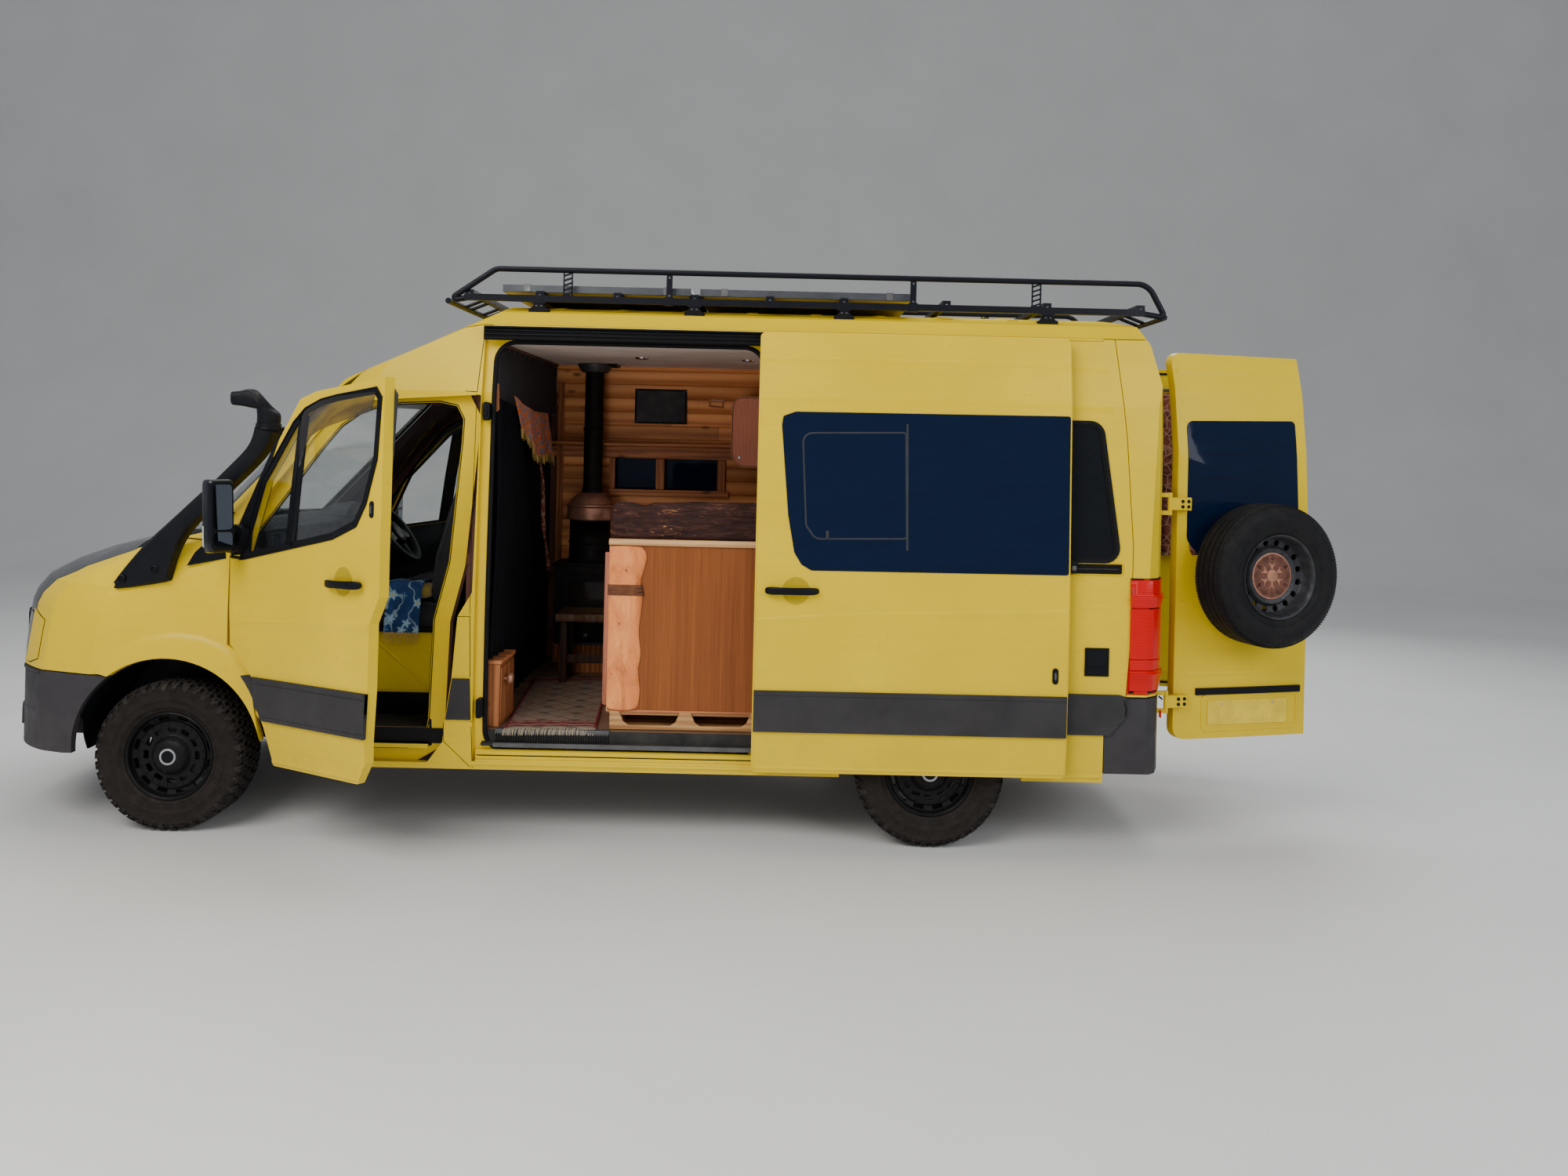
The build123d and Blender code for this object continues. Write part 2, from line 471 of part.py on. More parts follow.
# ---------------------------------------------------------------- axles
front_beam = box(-70, 70, -520, 520, 262, 340) \
    + both(box(-38, 38, -690, -480, 222, 264) - box(-60, 60, -760, -560, 252, 300)) \
    + both(Pos(0, -KINGPIN_Y, 237) * Cylinder(38, 30))
PARTS["front_crossmember"] = front_beam
rear_beam = rod((WHEELBASE, -700, TYRE_R), (WHEELBASE, 700, TYRE_R), 45) + Pos(WHEELBASE, 0, TYRE_R) * Sphere(104) \
    + both(box(WHEELBASE - 570, WHEELBASE + 560, -560, -490, 392, 420)) \
    + both(box(WHEELBASE - 60, WHEELBASE + 60, -575, -475 - 3, TYRE_R - 30, 400))
PARTS["rear_axle"] = rear_beam
def knuckle(side):
    k = box(-45, 45, side * 640, side * 690, 270, 480) + rod((0, side * 680, TYRE_R), (0, side * (WHEEL_Y - 24), TYRE_R), 62)
    return k + Pos(0, side * KINGPIN_Y, 400) * Cylinder(26, 284)
PARTS["left_knuckle"] = knuckle(-1)
PARTS["right_knuckle"] = knuckle(1)


# ---------------------------------------------------------------- wheels
def tyre(x, side):
    y0 = side * WHEEL_Y - TYRE_W / 2
    t = disc_y(x, y0, y0 + TYRE_W, TYRE_R, TYRE_R) - disc_y(x, y0 - 1, y0 + TYRE_W + 1, TYRE_R, RIM_R)
    return fillet(t.edges().filter_by(GeomType.CIRCLE).group_by(SortBy.RADIUS)[-1], 34)


def rim(x, side):
    y = side * WHEEL_Y
    half = 108.0
    barrel = disc_y(x, y - half, y + half, TYRE_R, RIM_R - 0.5) - disc_y(x, y - half - 1, y + half + 1, TYRE_R, BARREL_R)
    lo, hi = sorted((y + side * 18.0, y + side * 36.0))
    face = disc_y(x, lo, hi, TYRE_R, BARREL_R + 5)
    lo, hi = sorted((y + side * 30.0, y + side * 78.0))
    hub = disc_y(x, lo, hi, TYRE_R, 72)
    return barrel + face + hub


for name, x, side in (("front_left", 0.0, -1), ("front_right", 0.0, 1), ("rear_left", WHEELBASE, -1),
                      ("rear_right", WHEELBASE, 1)):
    PARTS[name + "_tyre"] = tyre(x, side)
    PARTS[name + "_rim"] = rim(x, side)
# hub ends of the rear axle reach the rim faces
PARTS["rear_axle"] = PARTS["rear_axle"] + both(rod((WHEELBASE, -690, TYRE_R), (WHEELBASE, -(WHEEL_Y - 24), TYRE_R), 62))
PARTS["engine_and_driveline"] = driveline - PARTS["rear_axle"] - PARTS["underframe"] - PARTS["floor_pan"]

# ---------------------------------------------------------------- cab
dash = along_y(flat([(-42, 1000), (-42, 1400), (40, 1462), (300, 1490), (418, 1450), (440, 1300), (340, 1140), (300, 1000)]),
               -900, 900) & ROOM
dash = dash & box(-42, 500, -880, 880, 880, 1600)
column = rod((380, 380, 1200), (668, 380, 1366), 32)
wheel_plane = Plane(origin=(652, 380, 1356), z_dir=(0.80, 0, 0.60))
steering = (extrude(wheel_plane * (Circle(205) - Circle(172)), amount=28)
            + extrude(wheel_plane * Circle(60), amount=24) + extrude(wheel_plane * Rectangle(36, 360), amount=14)
            + extrude(wheel_plane * Rectangle(360, 36), amount=14))
PARTS["dashboard"] = dash + column + steering


def seat(y0, y1, heads):
    s = box(800, 1200, y0 + 40, y1 - 40, FLOOR_Z + 1, 960)
    s = s + box(730, 1260, y0, y1, 950, 1110)
    back = along_y(flat([(1150, 1100), (1270, 1100), (1395, 1700), (1290, 1700)]), y0, y1)
    s = s + back
    for y in heads:
        s = s + box(1318, 1385, y - 120, y + 120, 1690, 1890)
    return s


PARTS["driver_seat"] = seat(150, 650, (400,))
PARTS["passenger_seat"] = seat(-700, -60, (-540, -220))

# ---------------------------------------------------------------- living space
ceiling = box(1480, 4700, -880, 880, 2404, 2416) & ROOM
boards = ((ROOM - envelope(WALL + 15)) & box(1500, 4560, 700, 1000, FLOOR_Z + 1, 2410)) - along_y(
    flat([(1852, 1606), (2572, 1606), (2572, 1863), (1852, 1863)]), 700, 1300) \
    - both(box(REAR_ARCH[0] - 464, REAR_ARCH[0] + 464, -1000, -640, 0, 844))
# boards on the far wall, joined along their top edge to the ceiling panel
PARTS["cabin_lining"] = boards + ceiling
UNIT = (2106.0, 3190.0, -862.0, -330.0)
shelf = box(UNIT[0], UNIT[1], UNIT[2], UNIT[3], FLOOR_Z + 1, 612)
for a, b in ((2160, 2440), (2500, 2790), (2850, 3140)):
    shelf = shelf - box(a, b, UNIT[2] - 5, UNIT[3] - 20, FLOOR_Z + 16, 592)
case = box(UNIT[0], UNIT[1], UNIT[2], UNIT[3], 613, 1440) - box(UNIT[0] + 20, UNIT[1] - 20, UNIT[2] + 20, UNIT[3] + 5, 632, 1410)
PARTS["low_shelf"] = shelf
PARTS["kitchen_unit"] = case
PARTS["bark_edge_slab"] = box(2084, 3210, -872, -822, 1441, 1640)
PARTS["wall_cupboard"] = box(2665, 3240, 420, 820, 1810, 2180) & ROOM
stove = box(1560, 1960, 560, 850, 700, 1180) + Pos(1760, 700, 1360) * Cylinder(150, 380) \
    + Pos(1760, 700, 1955) * Cylinder(55, 880) + box(1600, 1920, 600, 840, FLOOR_Z + 1, 705)
PARTS["wood_stove"] = (stove & envelope(WALL + 17)) & box(1400, 2200, 0, 1000, 0, 2402)

# ---------------------------------------------------------------- roof rack
RACK_Y = 760.0
rack = None
def add(shape, piece):
    return piece if shape is None else shape + piece
RAIL_LOW, RAIL_TOP = 2627.0, 2772.0
for s in (-1, 1):
    rack = add(rack, box(1330, 4700, s * RACK_Y - 16, s * RACK_Y + 16, RAIL_LOW - 16, RAIL_LOW + 16))
    rack = rack + rod((1470, s * RACK_Y, RAIL_TOP), (4713, s * RACK_Y, RAIL_TOP), 15)
    rack = rack + rod((1470, s * RACK_Y, RAIL_TOP), (1249, s * RACK_Y, 2612), 15)
    rack = rack + rod((1249, s * RACK_Y, 2612), (1345, s * RACK_Y, RAIL_LOW), 15)
    rack = rack + rod((4713, s * RACK_Y, RAIL_TOP), (4800, s * RACK_Y, 2612), 15)
    rack = rack + rod((4800, s * RACK_Y, 2612), (4690, s * RACK_Y, RAIL_LOW), 15)
    for x in (1832, 2331, 3569, 4176):
        rack = rack + box(x - 18, x + 18, s * RACK_Y - 8, s * RACK_Y + 8, RAIL_LOW, RAIL_TOP)
    for x in (1694, 2465, 3209, 4223):
        foot = box(x - 45, x + 45, s * RACK_Y - 20, s * RACK_Y + 20, 2480, RAIL_LOW)
        rack = rack + (foot - OUT.moved(Location((0, 0, 1))))
for x in (1345, 1694, 2080, 2465, 2840, 3209, 3720, 4223, 4690):
    rack = rack + box(x - 20, x + 20, -RACK_Y, RACK_Y, RAIL_LOW + 15, RAIL_LOW + 39)
rack = rack + rod((1249, -RACK_Y, 2612), (1249, RACK_Y, 2612), 15) + rod((4800, -RACK_Y, 2612), (4800, RACK_Y, 2612), 15)
rack = rack - OUT.moved(Location((0, 0, 1)))
PARTS["roof_rack"] = rack
panels = box(1500, 2440, -700, 700, 2667, 2700) + box(2490, 3560, -700, 700, 2667, 2700)
PARTS["solar_panels"] = panels + both(box(2430, 2500, -530, -470, 2667, 2690))

# ---------------------------------------------------------------- snorkel
# each row: x, y of the duct's middle, z, half width in side view
DUCT = [(-128, -1018, 1166, 60), (-20, -1015, 1300, 52), (105, -1006, 1500, 46), (160, -1000, 1602, 44),
        (395, -975, 1796, 44), (438, -966, 1880, 46), (445, -958, 1990, 50)]
DUCT_HALF = 31.0             # half thickness across the van
duct = None
for (xa, ya, za, ra), (xb, yb, zb_, rb) in zip(DUCT[:-1], DUCT[1:]):
    length = math.dist((xa, za), (xb, zb_))
    ux, uz = (xb - xa) / length, (zb_ - za) / length
    side_view = region((xa - uz * ra, za + ux * ra), (xb - uz * rb, zb_ + ux * rb), (xb + uz * rb, zb_ - ux * rb),
                       (xa + uz * ra, za - ux * ra))
    ym = min(ya, yb)
    duct = add(duct, along_y(side_view, ym - DUCT_HALF, max(ya, yb) + DUCT_HALF + 12))
for (xa, ya, za, ra) in DUCT[1:-1]:
    duct = duct + disc_y(xa, ya - DUCT_HALF, ya + DUCT_HALF + 12, za, ra)
head = rod((445, -955, 1985), (445, -955, 2060), 50) + box(275, 480, -1005, -905, 2040, 2125)
foot = box(-250, -5, -1036, -990, 1105, 1225)
duct = (duct + head + foot) - OUT.moved(Location((0, -1, 0)))
PARTS["snorkel"] = duct

# ---------------------------------------------------------------- out
os.makedirs("parts", exist_ok=True)
shift = Location((-ORIGIN_X, -ORIGIN_Y, 0))
for name, shape in PARTS.items():
    keep = [s.moved(shift) for s in solids(shape)]
    total = keep if name == "left_body_side" else total + keep
    whole = keep[0] if len(keep) == 1 else Compound(children=keep)
    bb = whole.bounding_box()
    print(f"{name:26s} solids {len(keep)} vol {sum(k.volume for k in keep) / 1e9:8.4f} m3  "
          f"x {bb.min.X:7.0f} {bb.max.X:7.0f}  y {bb.min.Y:7.0f} {bb.max.Y:7.0f}  z {bb.min.Z:6.0f} {bb.max.Z:6.0f}")
    export_step(whole, f"parts/{name}.step")
whole = Compound(children=[s for s in total]).bounding_box()
print("ALL", whole.min, whole.max, "centre", whole.center())
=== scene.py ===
import bpy
import bmesh
import math
import random
import numpy as np
from mathutils import Matrix, Vector, noise


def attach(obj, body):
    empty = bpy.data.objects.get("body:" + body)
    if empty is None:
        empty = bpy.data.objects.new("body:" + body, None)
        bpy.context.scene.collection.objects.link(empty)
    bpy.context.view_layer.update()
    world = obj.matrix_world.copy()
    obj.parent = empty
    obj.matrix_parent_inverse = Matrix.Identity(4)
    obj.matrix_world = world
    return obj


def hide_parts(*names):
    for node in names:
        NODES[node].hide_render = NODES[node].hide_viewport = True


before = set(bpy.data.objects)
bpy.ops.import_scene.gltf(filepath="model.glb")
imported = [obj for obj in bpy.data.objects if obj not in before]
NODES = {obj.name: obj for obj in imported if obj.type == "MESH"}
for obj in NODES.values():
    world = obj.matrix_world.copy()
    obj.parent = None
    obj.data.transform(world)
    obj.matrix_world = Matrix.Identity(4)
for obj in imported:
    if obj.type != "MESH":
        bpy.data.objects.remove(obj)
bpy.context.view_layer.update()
rnd = random.Random(7)

# Everything below is set out in the van's own frame, in millimetres: X = 0 at
# the front axle (the van faces -X), Y = 0 on the centreline, Z = 0 on the ground.
OX, OY = 2332.0, -245.5


def row(p):
    return ((p[0] - OX) / 1000.0, (p[1] - OY) / 1000.0, p[2] / 1000.0)


# ------------------------------------------------------------------ camera first
cam_data = bpy.data.cameras.new("camera")
cam = bpy.data.objects.new("camera", cam_data)
bpy.context.scene.collection.objects.link(cam)
cam_data.sensor_width = 36.0
cam_data.sensor_fit = "HORIZONTAL"
cam_data.lens = 1564.54 * 36.0 / 2000.0
cam_data.shift_x = 0.0
cam_data.shift_y = -(750.0 - 568.99) / 2000.0
cam_data.clip_end = 200.0
_yaw, _pitch, _roll = -0.0061, -0.002, -0.0233
_M = (Matrix.Rotation(_yaw, 3, "Z") @ Matrix.Rotation(-_pitch, 3, "X")
      @ Matrix(((math.cos(_roll), 0, math.sin(_roll)), (0, 1, 0), (-math.sin(_roll), 0, math.cos(_roll)))))
_B = Matrix((_M.col[0], _M.col[2], -_M.col[1])).transposed().to_4x4()
_B.translation = Vector(row((2888.26, -6865.46, 1910.39)))
cam.matrix_world = _B
bpy.context.scene.camera = cam


# ------------------------------------------------------------------ skin of the body
SECTION = [(958.0, 335.0), (984.0, 560.0), (988.0, 1085.0), (980.0, 1340.0), (946.0, 2150.0), (890.0, 2478.0),
           (845.0, 2545.0)]


def circle3(p, q, r):
    ax, ay, bx, by, cx, cy = *p, *q, *r
    d = 2 * (ax * (by - cy) + bx * (cy - ay) + cx * (ay - by))
    ux = ((ax * ax + ay * ay) * (by - cy) + (bx * bx + by * by) * (cy - ay) + (cx * cx + cy * cy) * (ay - by)) / d
    uy = ((ax * ax + ay * ay) * (cx - bx) + (bx * bx + by * by) * (ax - cx) + (cx * cx + cy * cy) * (bx - ax)) / d
    return ux, uy, math.hypot(ax - ux, ay - uy)


_P1 = circle3((-845.0, 700.0), (-665.0, 893.0), (-350.0, 1000.0))
_P0 = circle3((-845.0, -700.0), (-1000.0, 0.0), (-845.0, 700.0))


def section_y(z):
    if z <= SECTION[0][1]:
        return SECTION[0][0]
    for (ya, za), (yb, zb) in zip(SECTION[:-1], SECTION[1:]):
        if z <= zb:
            return ya + (yb - ya) * (z - za) / (zb - za)
    return SECTION[-1][0]


def side_y(x, z):
    """Half width of the skin at a place on the side."""
    y = section_y(z)
    if x < -350.0:
        cx, cy, r = _P1
        y = min(y, cy + math.sqrt(max(0.0, r * r - (x - cx) ** 2)))
    if x > 4560.0:
        y = min(y, 1100.0 - (x - 4560.0) * 168.0 / 192.0)
    if x > 4752.0:
        y = min(y, 932.0 - (x - 4752.0) * 97.0 / 40.0)
    return y


def nose_x(y):
    """Foremost skin at a distance from the centreline."""
    cx, cy, r = _P0
    y = abs(y)
    if y <= 700.0:
        return cx - math.sqrt(max(0.0, r * r - (y - cy) ** 2))
    cx, cy, r = _P1
    return cx - math.sqrt(max(0.0, r * r - (y - cy) ** 2))


LEAN = [(0.0, 4900.0), (1150.0, 4850.0), (1950.0, 4796.0), (2250.0, 4756.0), (2450.0, 4704.0), (2560.0, 4640.0)]


def tail_x(y, z):
    plan = 4820.0 - 28.0 * (y / 835.0) ** 2
    for (za, xa), (zb, xb) in zip(LEAN[:-1], LEAN[1:]):
        if z <= zb:
            return min(plan, xa + (xb - xa) * (z - za) / (zb - za))
    return min(plan, LEAN[-1][1])


def about(origin, axis, degrees):
    R = Matrix.Rotation(math.radians(degrees), 3, Vector(axis).normalized())
    o = Vector(origin)
    return lambda p: tuple(R @ (Vector(p) - o) + o)


CAB = about((287.0, -1006.0, 900.0), (0.0, -0.07, -math.sqrt(1 - 0.07 ** 2)), 36.0)
BACK = about((4832.0, -838.0, 0.0), (0.0, 0.0, -1.0), 73.0)
RBACK = about((4832.0, 838.0, 0.0), (0.0, 0.0, 1.0), 73.0)


def SLIDE(p):
    return (p[0] + 1333.0, p[1] - 78.0, p[2])


def STAY(p):
    return tuple(p)


def on_left(a, b, o):
    return (a, -(side_y(a, b) + o), b)


def on_right(a, b, o):
    return (a, side_y(a, b) + o, b)


def on_cab(a, b, o):
    return CAB(on_left(a, b, o))


def on_slide(a, b, o):
    return SLIDE(on_left(a, b, o))


def on_back(a, b, o):
    return BACK((tail_x(a, b) + o, a, b))


def on_tail(a, b, o):
    return (tail_x(a, b) + o, a, b)


def on_rback(a, b, o):
    return RBACK(on_tail(a, b, o))


FACETS = [(-1078.0, 860.0, 81.0), (-1048.0, 1057.0, 66.0), (-1024.0, 1112.0, 49.0), (-965.0, 1180.0, 28.0), (-830.0, 1252.0, 20.0)]
_FRONT = [(-1000.0, 960.0), (-986.0, 1070.0), (-944.0, 1175.0), (-600.0, 1500.0)]
_PB = circle3((447.0, -893.0), (0.0, 0.0), (447.0, 893.0))
_PC = circle3((447.0, 893.0), (762.0, 1000.0), (1300.0, 1100.0))


def nose_xz(y, z):
    """Foremost skin at a place across and a height, with the rounded front edge."""
    x = nose_x(y)
    y = abs(y)
    back = _PB[0] - math.sqrt(max(0.0, _PB[2] ** 2 - y * y)) if y <= 893.0 else 447.0 + (y - 893.0) * 2.9
    for px, pz, deg in FACETS:
        x = max(x, px + (z - pz) / math.tan(math.radians(deg)) + back)
    for (xa, za), (xb, zb) in zip(_FRONT[:-1], _FRONT[1:]):
        if za < z <= zb:
            x = max(x, xa + (xb - xa) * (z - za) / (zb - za))
    return x


def on_nose(a, b, o):
    e = 6.0
    p = Vector((nose_xz(a, b), a, b))
    u = Vector((nose_xz(a + e, b), a + e, b)) - Vector((nose_xz(a - e, b), a - e, b))
    v = Vector((nose_xz(a, b + e), a, b + e)) - Vector((nose_xz(a, b - e), a, b - e))
    nrm = u.cross(v).normalized()
    if nrm.x > 0:
        nrm = -nrm
    q = p + nrm * o
    return (q.x, q.y, q.z)


# ------------------------------------------------------------------ mesh making
class Mesh:
    """Faces gathered in van millimetres, each with a material number."""

    def __init__(self):
        self.v, self.f, self.m = [], [], []

    def add(self, shape, mat=0, move=None):
        v, f = (shape.v, shape.f) if isinstance(shape, Mesh) else shape
        n = len(self.v)
        self.v += [tuple(move(p)) if move else tuple(p) for p in v]
        self.f += [tuple(i + n for i in q) for q in f]
        self.m += [mat] * len(f)
        return self


def piece(name, mesh, mats, body, bevel=0.0, segs=2, sharp=38.0, replaces=(), flip=False, subdiv=0,
          limit=35.0):
    mats = mats if isinstance(mats, (list, tuple)) else [mats]
    me = bpy.data.meshes.new(name)
    me.from_pydata([row(p) for p in mesh.v], [], mesh.f)
    for mt in mats:
        me.materials.append(mt)
    me.polygons.foreach_set("material_index", mesh.m)
    bm = bmesh.new()
    bm.from_mesh(me)
    bmesh.ops.remove_doubles(bm, verts=bm.verts, dist=1e-6)
    bmesh.ops.recalc_face_normals(bm, faces=bm.faces)
    if flip:
        bmesh.ops.reverse_faces(bm, faces=bm.faces)
    for f in bm.faces:
        f.smooth = True
    for e in bm.edges:
        if len(e.link_faces) == 2 and e.calc_face_angle(0.0) > math.radians(sharp):
            e.smooth = False
    bm.to_mesh(me)
    bm.free()
    me.update()
    ob = bpy.data.objects.new(name, me)
    bpy.context.scene.collection.objects.link(ob)
    if subdiv:
        s = ob.modifiers.new("smooth", "SUBSURF")
        s.levels = s.render_levels = subdiv
    if bevel:
        b = ob.modifiers.new("edge", "BEVEL")
        b.width = bevel / 1000.0
        b.segments = segs
        b.limit_method = "ANGLE"
        b.angle_limit = math.radians(limit)
        b.harden_normals = False
    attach(ob, body)
    if replaces:
        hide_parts(*([replaces] if isinstance(replaces, str) else replaces))
    return ob


def block(x0, x1, y0, y1, z0, z1):
    v = [(x, y, z) for x in (x0, x1) for y in (y0, y1) for z in (z0, z1)]
    return v, [(0, 1, 3, 2), (4, 6, 7, 5), (0, 4, 5, 1), (2, 3, 7, 6), (0, 2, 6, 4), (1, 5, 7, 3)]


def prism(outline, plane, lo, hi):
    """A flat outline pushed through: plane xz (along y), xy (along z) or yz (along x)."""
    put = {"xz": lambda a, b, o: (a, o, b), "xy": lambda a, b, o: (a, b, o), "yz": lambda a, b, o: (o, a, b)}[plane]
    n = len(outline)
    v = [put(a, b, lo) for a, b in outline] + [put(a, b, hi) for a, b in outline]
    f = [tuple(range(n))[::-1], tuple(range(n, 2 * n))]
    f += [(i, (i + 1) % n, n + (i + 1) % n, n + i) for i in range(n)]
    return v, f


def loft(rings, cap=True, closed=True):
    n = len(rings[0])
    v = [p for r in rings for p in r]
    f = []
    for k in range(len(rings) - 1):
        for i in range(n if closed else n - 1):
            j = (i + 1) % n
            f.append((k * n + i, k * n + j, (k + 1) * n + j, (k + 1) * n + i))
    if cap and closed:
        f.append(tuple(range(n))[::-1])
        f.append(tuple(range((len(rings) - 1) * n, len(rings) * n)))
    return v, f


def axes_of(axis):
    a = Vector(axis).normalized()
    h = Vector((0, 0, 1)) if abs(a.z) < 0.9 else Vector((1, 0, 0))
    u = a.cross(h).normalized()
    return a, u, a.cross(u)


def lathe(profile, origin, axis, seg=48, cap=True, turn=0.0):
    """Turns (radius, along) pairs about an axis. A radius of 0 closes the end."""
    a, u, w = axes_of(axis)
    o = Vector(origin)
    v, f, rings = [], [], []
    for r, t in profile:
        if r < 1e-6:
            rings.append([len(v)])
            v.append(tuple(o + a * t))
        else:
            ids = []
            for k in range(seg):
                g = 2 * math.pi * k / seg + turn
                ids.append(len(v))
                v.append(tuple(o + a * t + (u * math.cos(g) + w * math.sin(g)) * r))
            rings.append(ids)
    for p, q in zip(rings[:-1], rings[1:]):
        for k in range(seg):
            j = (k + 1) % seg
            if len(p) == 1 and len(q) > 1:
                f.append((p[0], q[j], q[k]))
            elif len(q) == 1 and len(p) > 1:
                f.append((p[k], p[j], q[0]))
            elif len(p) > 1:
                f.append((p[k], p[j], q[j], q[k]))
    if cap:
        if len(rings[0]) > 1:
            f.append(tuple(rings[0][::-1]))
        if len(rings[-1]) > 1:
            f.append(tuple(rings[-1]))
    return v, f


def rod(a, b, r, seg=16):
    d = Vector(b) - Vector(a)
    return lathe([(r, 0.0), (r, d.length)], a, d, seg)


def tube(path, r, seg=10, closed=False):
    pts = [Vector(p) for p in path]
    n = len(pts)
    rr = r if isinstance(r, (list, tuple)) else [r] * n
    rings = []
    up = None
    for i, p in enumerate(pts):
        if closed:
            d = pts[(i + 1) % n] - pts[i - 1]
        else:
            d = pts[min(i + 1, n - 1)] - pts[max(i - 1, 0)]
        d.normalize()
        if up is None:
            _, up, _ = axes_of(d)
        up = (up - d * up.dot(d)).normalized()
        w = d.cross(up)
        rings.append([tuple(p + (up * math.cos(t) + w * math.sin(t)) * rr[i])
                      for t in (2 * math.pi * k / seg for k in range(seg))])
    if closed:
        v, f = loft(rings, cap=False)
        m = (n - 1) * seg
        f += [(m + k, m + (k + 1) % seg, (k + 1) % seg, k) for k in range(seg)]
        return v, f
    return loft(rings)


def arc(cx, cy, r, a0, a1, n):
    return [(cx + r * math.cos(math.radians(a0 + (a1 - a0) * k / n)), cy + r * math.sin(math.radians(a0 + (a1 - a0) * k / n)))
            for k in range(n + 1)]


def rounded(points, radius, n=6):
    """Corners of a flat outline turned into arcs. radius is one number or one for each corner."""
    m = len(points)
    rs = radius if isinstance(radius, (list, tuple)) else [radius] * m
    out = []
    for i, p in enumerate(points):
        p, a, b = Vector(p), Vector(points[i - 1]), Vector(points[(i + 1) % m])
        if rs[i] < 0.01:
            out.append(tuple(p))
            continue
        u, w = (a - p).normalized(), (b - p).normalized()
        ang = u.angle(w)
        t = min(rs[i] / math.tan(ang / 2), 0.49 * (a - p).length, 0.49 * (b - p).length)
        s, e = p + u * t, p + w * t
        r = t * math.tan(ang / 2)
        c = p + (u + w).normalized() * (r / math.sin(ang / 2))
        a0, a1 = math.atan2(s.y - c.y, s.x - c.x), math.atan2(e.y - c.y, e.x - c.x)
        d = (a1 - a0 + math.pi) % (2 * math.pi) - math.pi
        out += [(c.x + r * math.cos(a0 + d * k / n), c.y + r * math.sin(a0 + d * k / n)) for k in range(n + 1)]
    return out


def fine(path, step, closed=False):
    """The same path with points at most a step apart."""
    out = []
    m = len(path)
    for i in range(m if closed else m - 1):
        a, b = Vector(path[i]), Vector(path[(i + 1) % m])
        k = max(1, int((b - a).length / step + 0.999))
        out += [tuple(a + (b - a) * j / k) for j in range(k)]
    if not closed:
        out.append(tuple(path[-1]))
    return out


def along(path, lift, section, closed=False):
    """A section of (sideways, outward) pairs carried along a path on a surface."""
    n = len(path)
    pts = [Vector(p) for p in path]
    area = sum(pts[i].x * pts[(i + 1) % n].y - pts[(i + 1) % n].x * pts[i].y for i in range(n)) if closed else 1.0
    sgn = 1.0 if area > 0 else -1.0
    rings = []
    for i, p in enumerate(pts):
        if closed:
            d0, d1 = (p - pts[i - 1]).normalized(), (pts[(i + 1) % n] - p).normalized()
        else:
            d0 = (p - pts[i - 1]).normalized() if i else (pts[1] - p).normalized()
            d1 = (pts[i + 1] - p).normalized() if i < n - 1 else d0
        n0, n1 = Vector((d0.y, -d0.x)) * sgn, Vector((d1.y, -d1.x)) * sgn
        nn = (n0 + n1).normalized()
        nn = nn / max(0.5, nn.dot(n0))
        rings.append([lift(p.x + nn.x * s, p.y + nn.y * s, o) for s, o in section])
    v, f = loft(rings, cap=not closed)
    if closed:
        m, k = len(section), (n - 1) * len(section)
        f += [(k + j, k + (j + 1) % m, (j + 1) % m, j) for j in range(m)]
    return v, f


def band(outline, lift, d0, d1, lo, hi, closed=True, step=60.0):
    return along(fine(outline, step, closed), lift, [(d0, lo), (d1, lo), (d1, hi), (d0, hi)], closed)


def ridge(path, lift, w, h, lo=-1.0, step=80.0, closed=False, lean=0.0):
    return along(fine(path, step, closed), lift, [(-w / 2, lo), (w / 2, lo), (w / 2, 0.15), (lean * w / 2, h), (-w / 2, 0.15)], closed)


def patch(outline, lift, lo, hi, step=70.0, rows=6, crown=0.0):
    """A plate that follows the surface inside an outline that has one span for each first coordinate."""
    n = len(outline)
    amin, amax = min(p[0] for p in outline), max(p[0] for p in outline)
    As = {amin + 1e-4, amax - 1e-4}
    As |= {min(max(p[0], amin + 1e-4), amax - 1e-4) for p in outline}
    k = max(2, int((amax - amin) / step))
    As |= {amin + (amax - amin) * i / k for i in range(1, k)}
    As = sorted(As)
    As = [a for i, a in enumerate(As) if i == 0 or a - As[i - 1] > 0.02]
    cols = []
    for a in As:
        hit = []
        for i in range(n):
            (x0, y0), (x1, y1) = outline[i], outline[(i + 1) % n]
            if min(x0, x1) - 1e-9 <= a <= max(x0, x1) + 1e-9 and abs(x1 - x0) > 1e-9:
                hit.append(y0 + (y1 - y0) * (a - x0) / (x1 - x0))
        if hit:
            cols.append((a, min(hit), max(hit)))
    m = rows + 1
    v, f = [], []
    for side, o in ((0, hi), (1, lo)):
        for a, b0, b1 in cols:
            for r in range(m):
                t = r / rows
                v.append(lift(a, b0 + (b1 - b0) * t, o + (crown * math.sin(math.pi * t) if side == 0 else 0.0)))
    c = len(cols)
    base = c * m
    for i in range(c - 1):
        for r in range(rows):
            f.append((i * m + r, (i + 1) * m + r, (i + 1) * m + r + 1, i * m + r + 1))
            f.append((base + i * m + r, base + i * m + r + 1, base + (i + 1) * m + r + 1, base + (i + 1) * m + r))
        for r in (0, rows):
            f.append((i * m + r, (i + 1) * m + r, base + (i + 1) * m + r, base + i * m + r))
    for i in (0, c - 1):
        for r in range(rows):
            f.append((i * m + r, i * m + r + 1, base + i * m + r + 1, base + i * m + r))
    return v, f


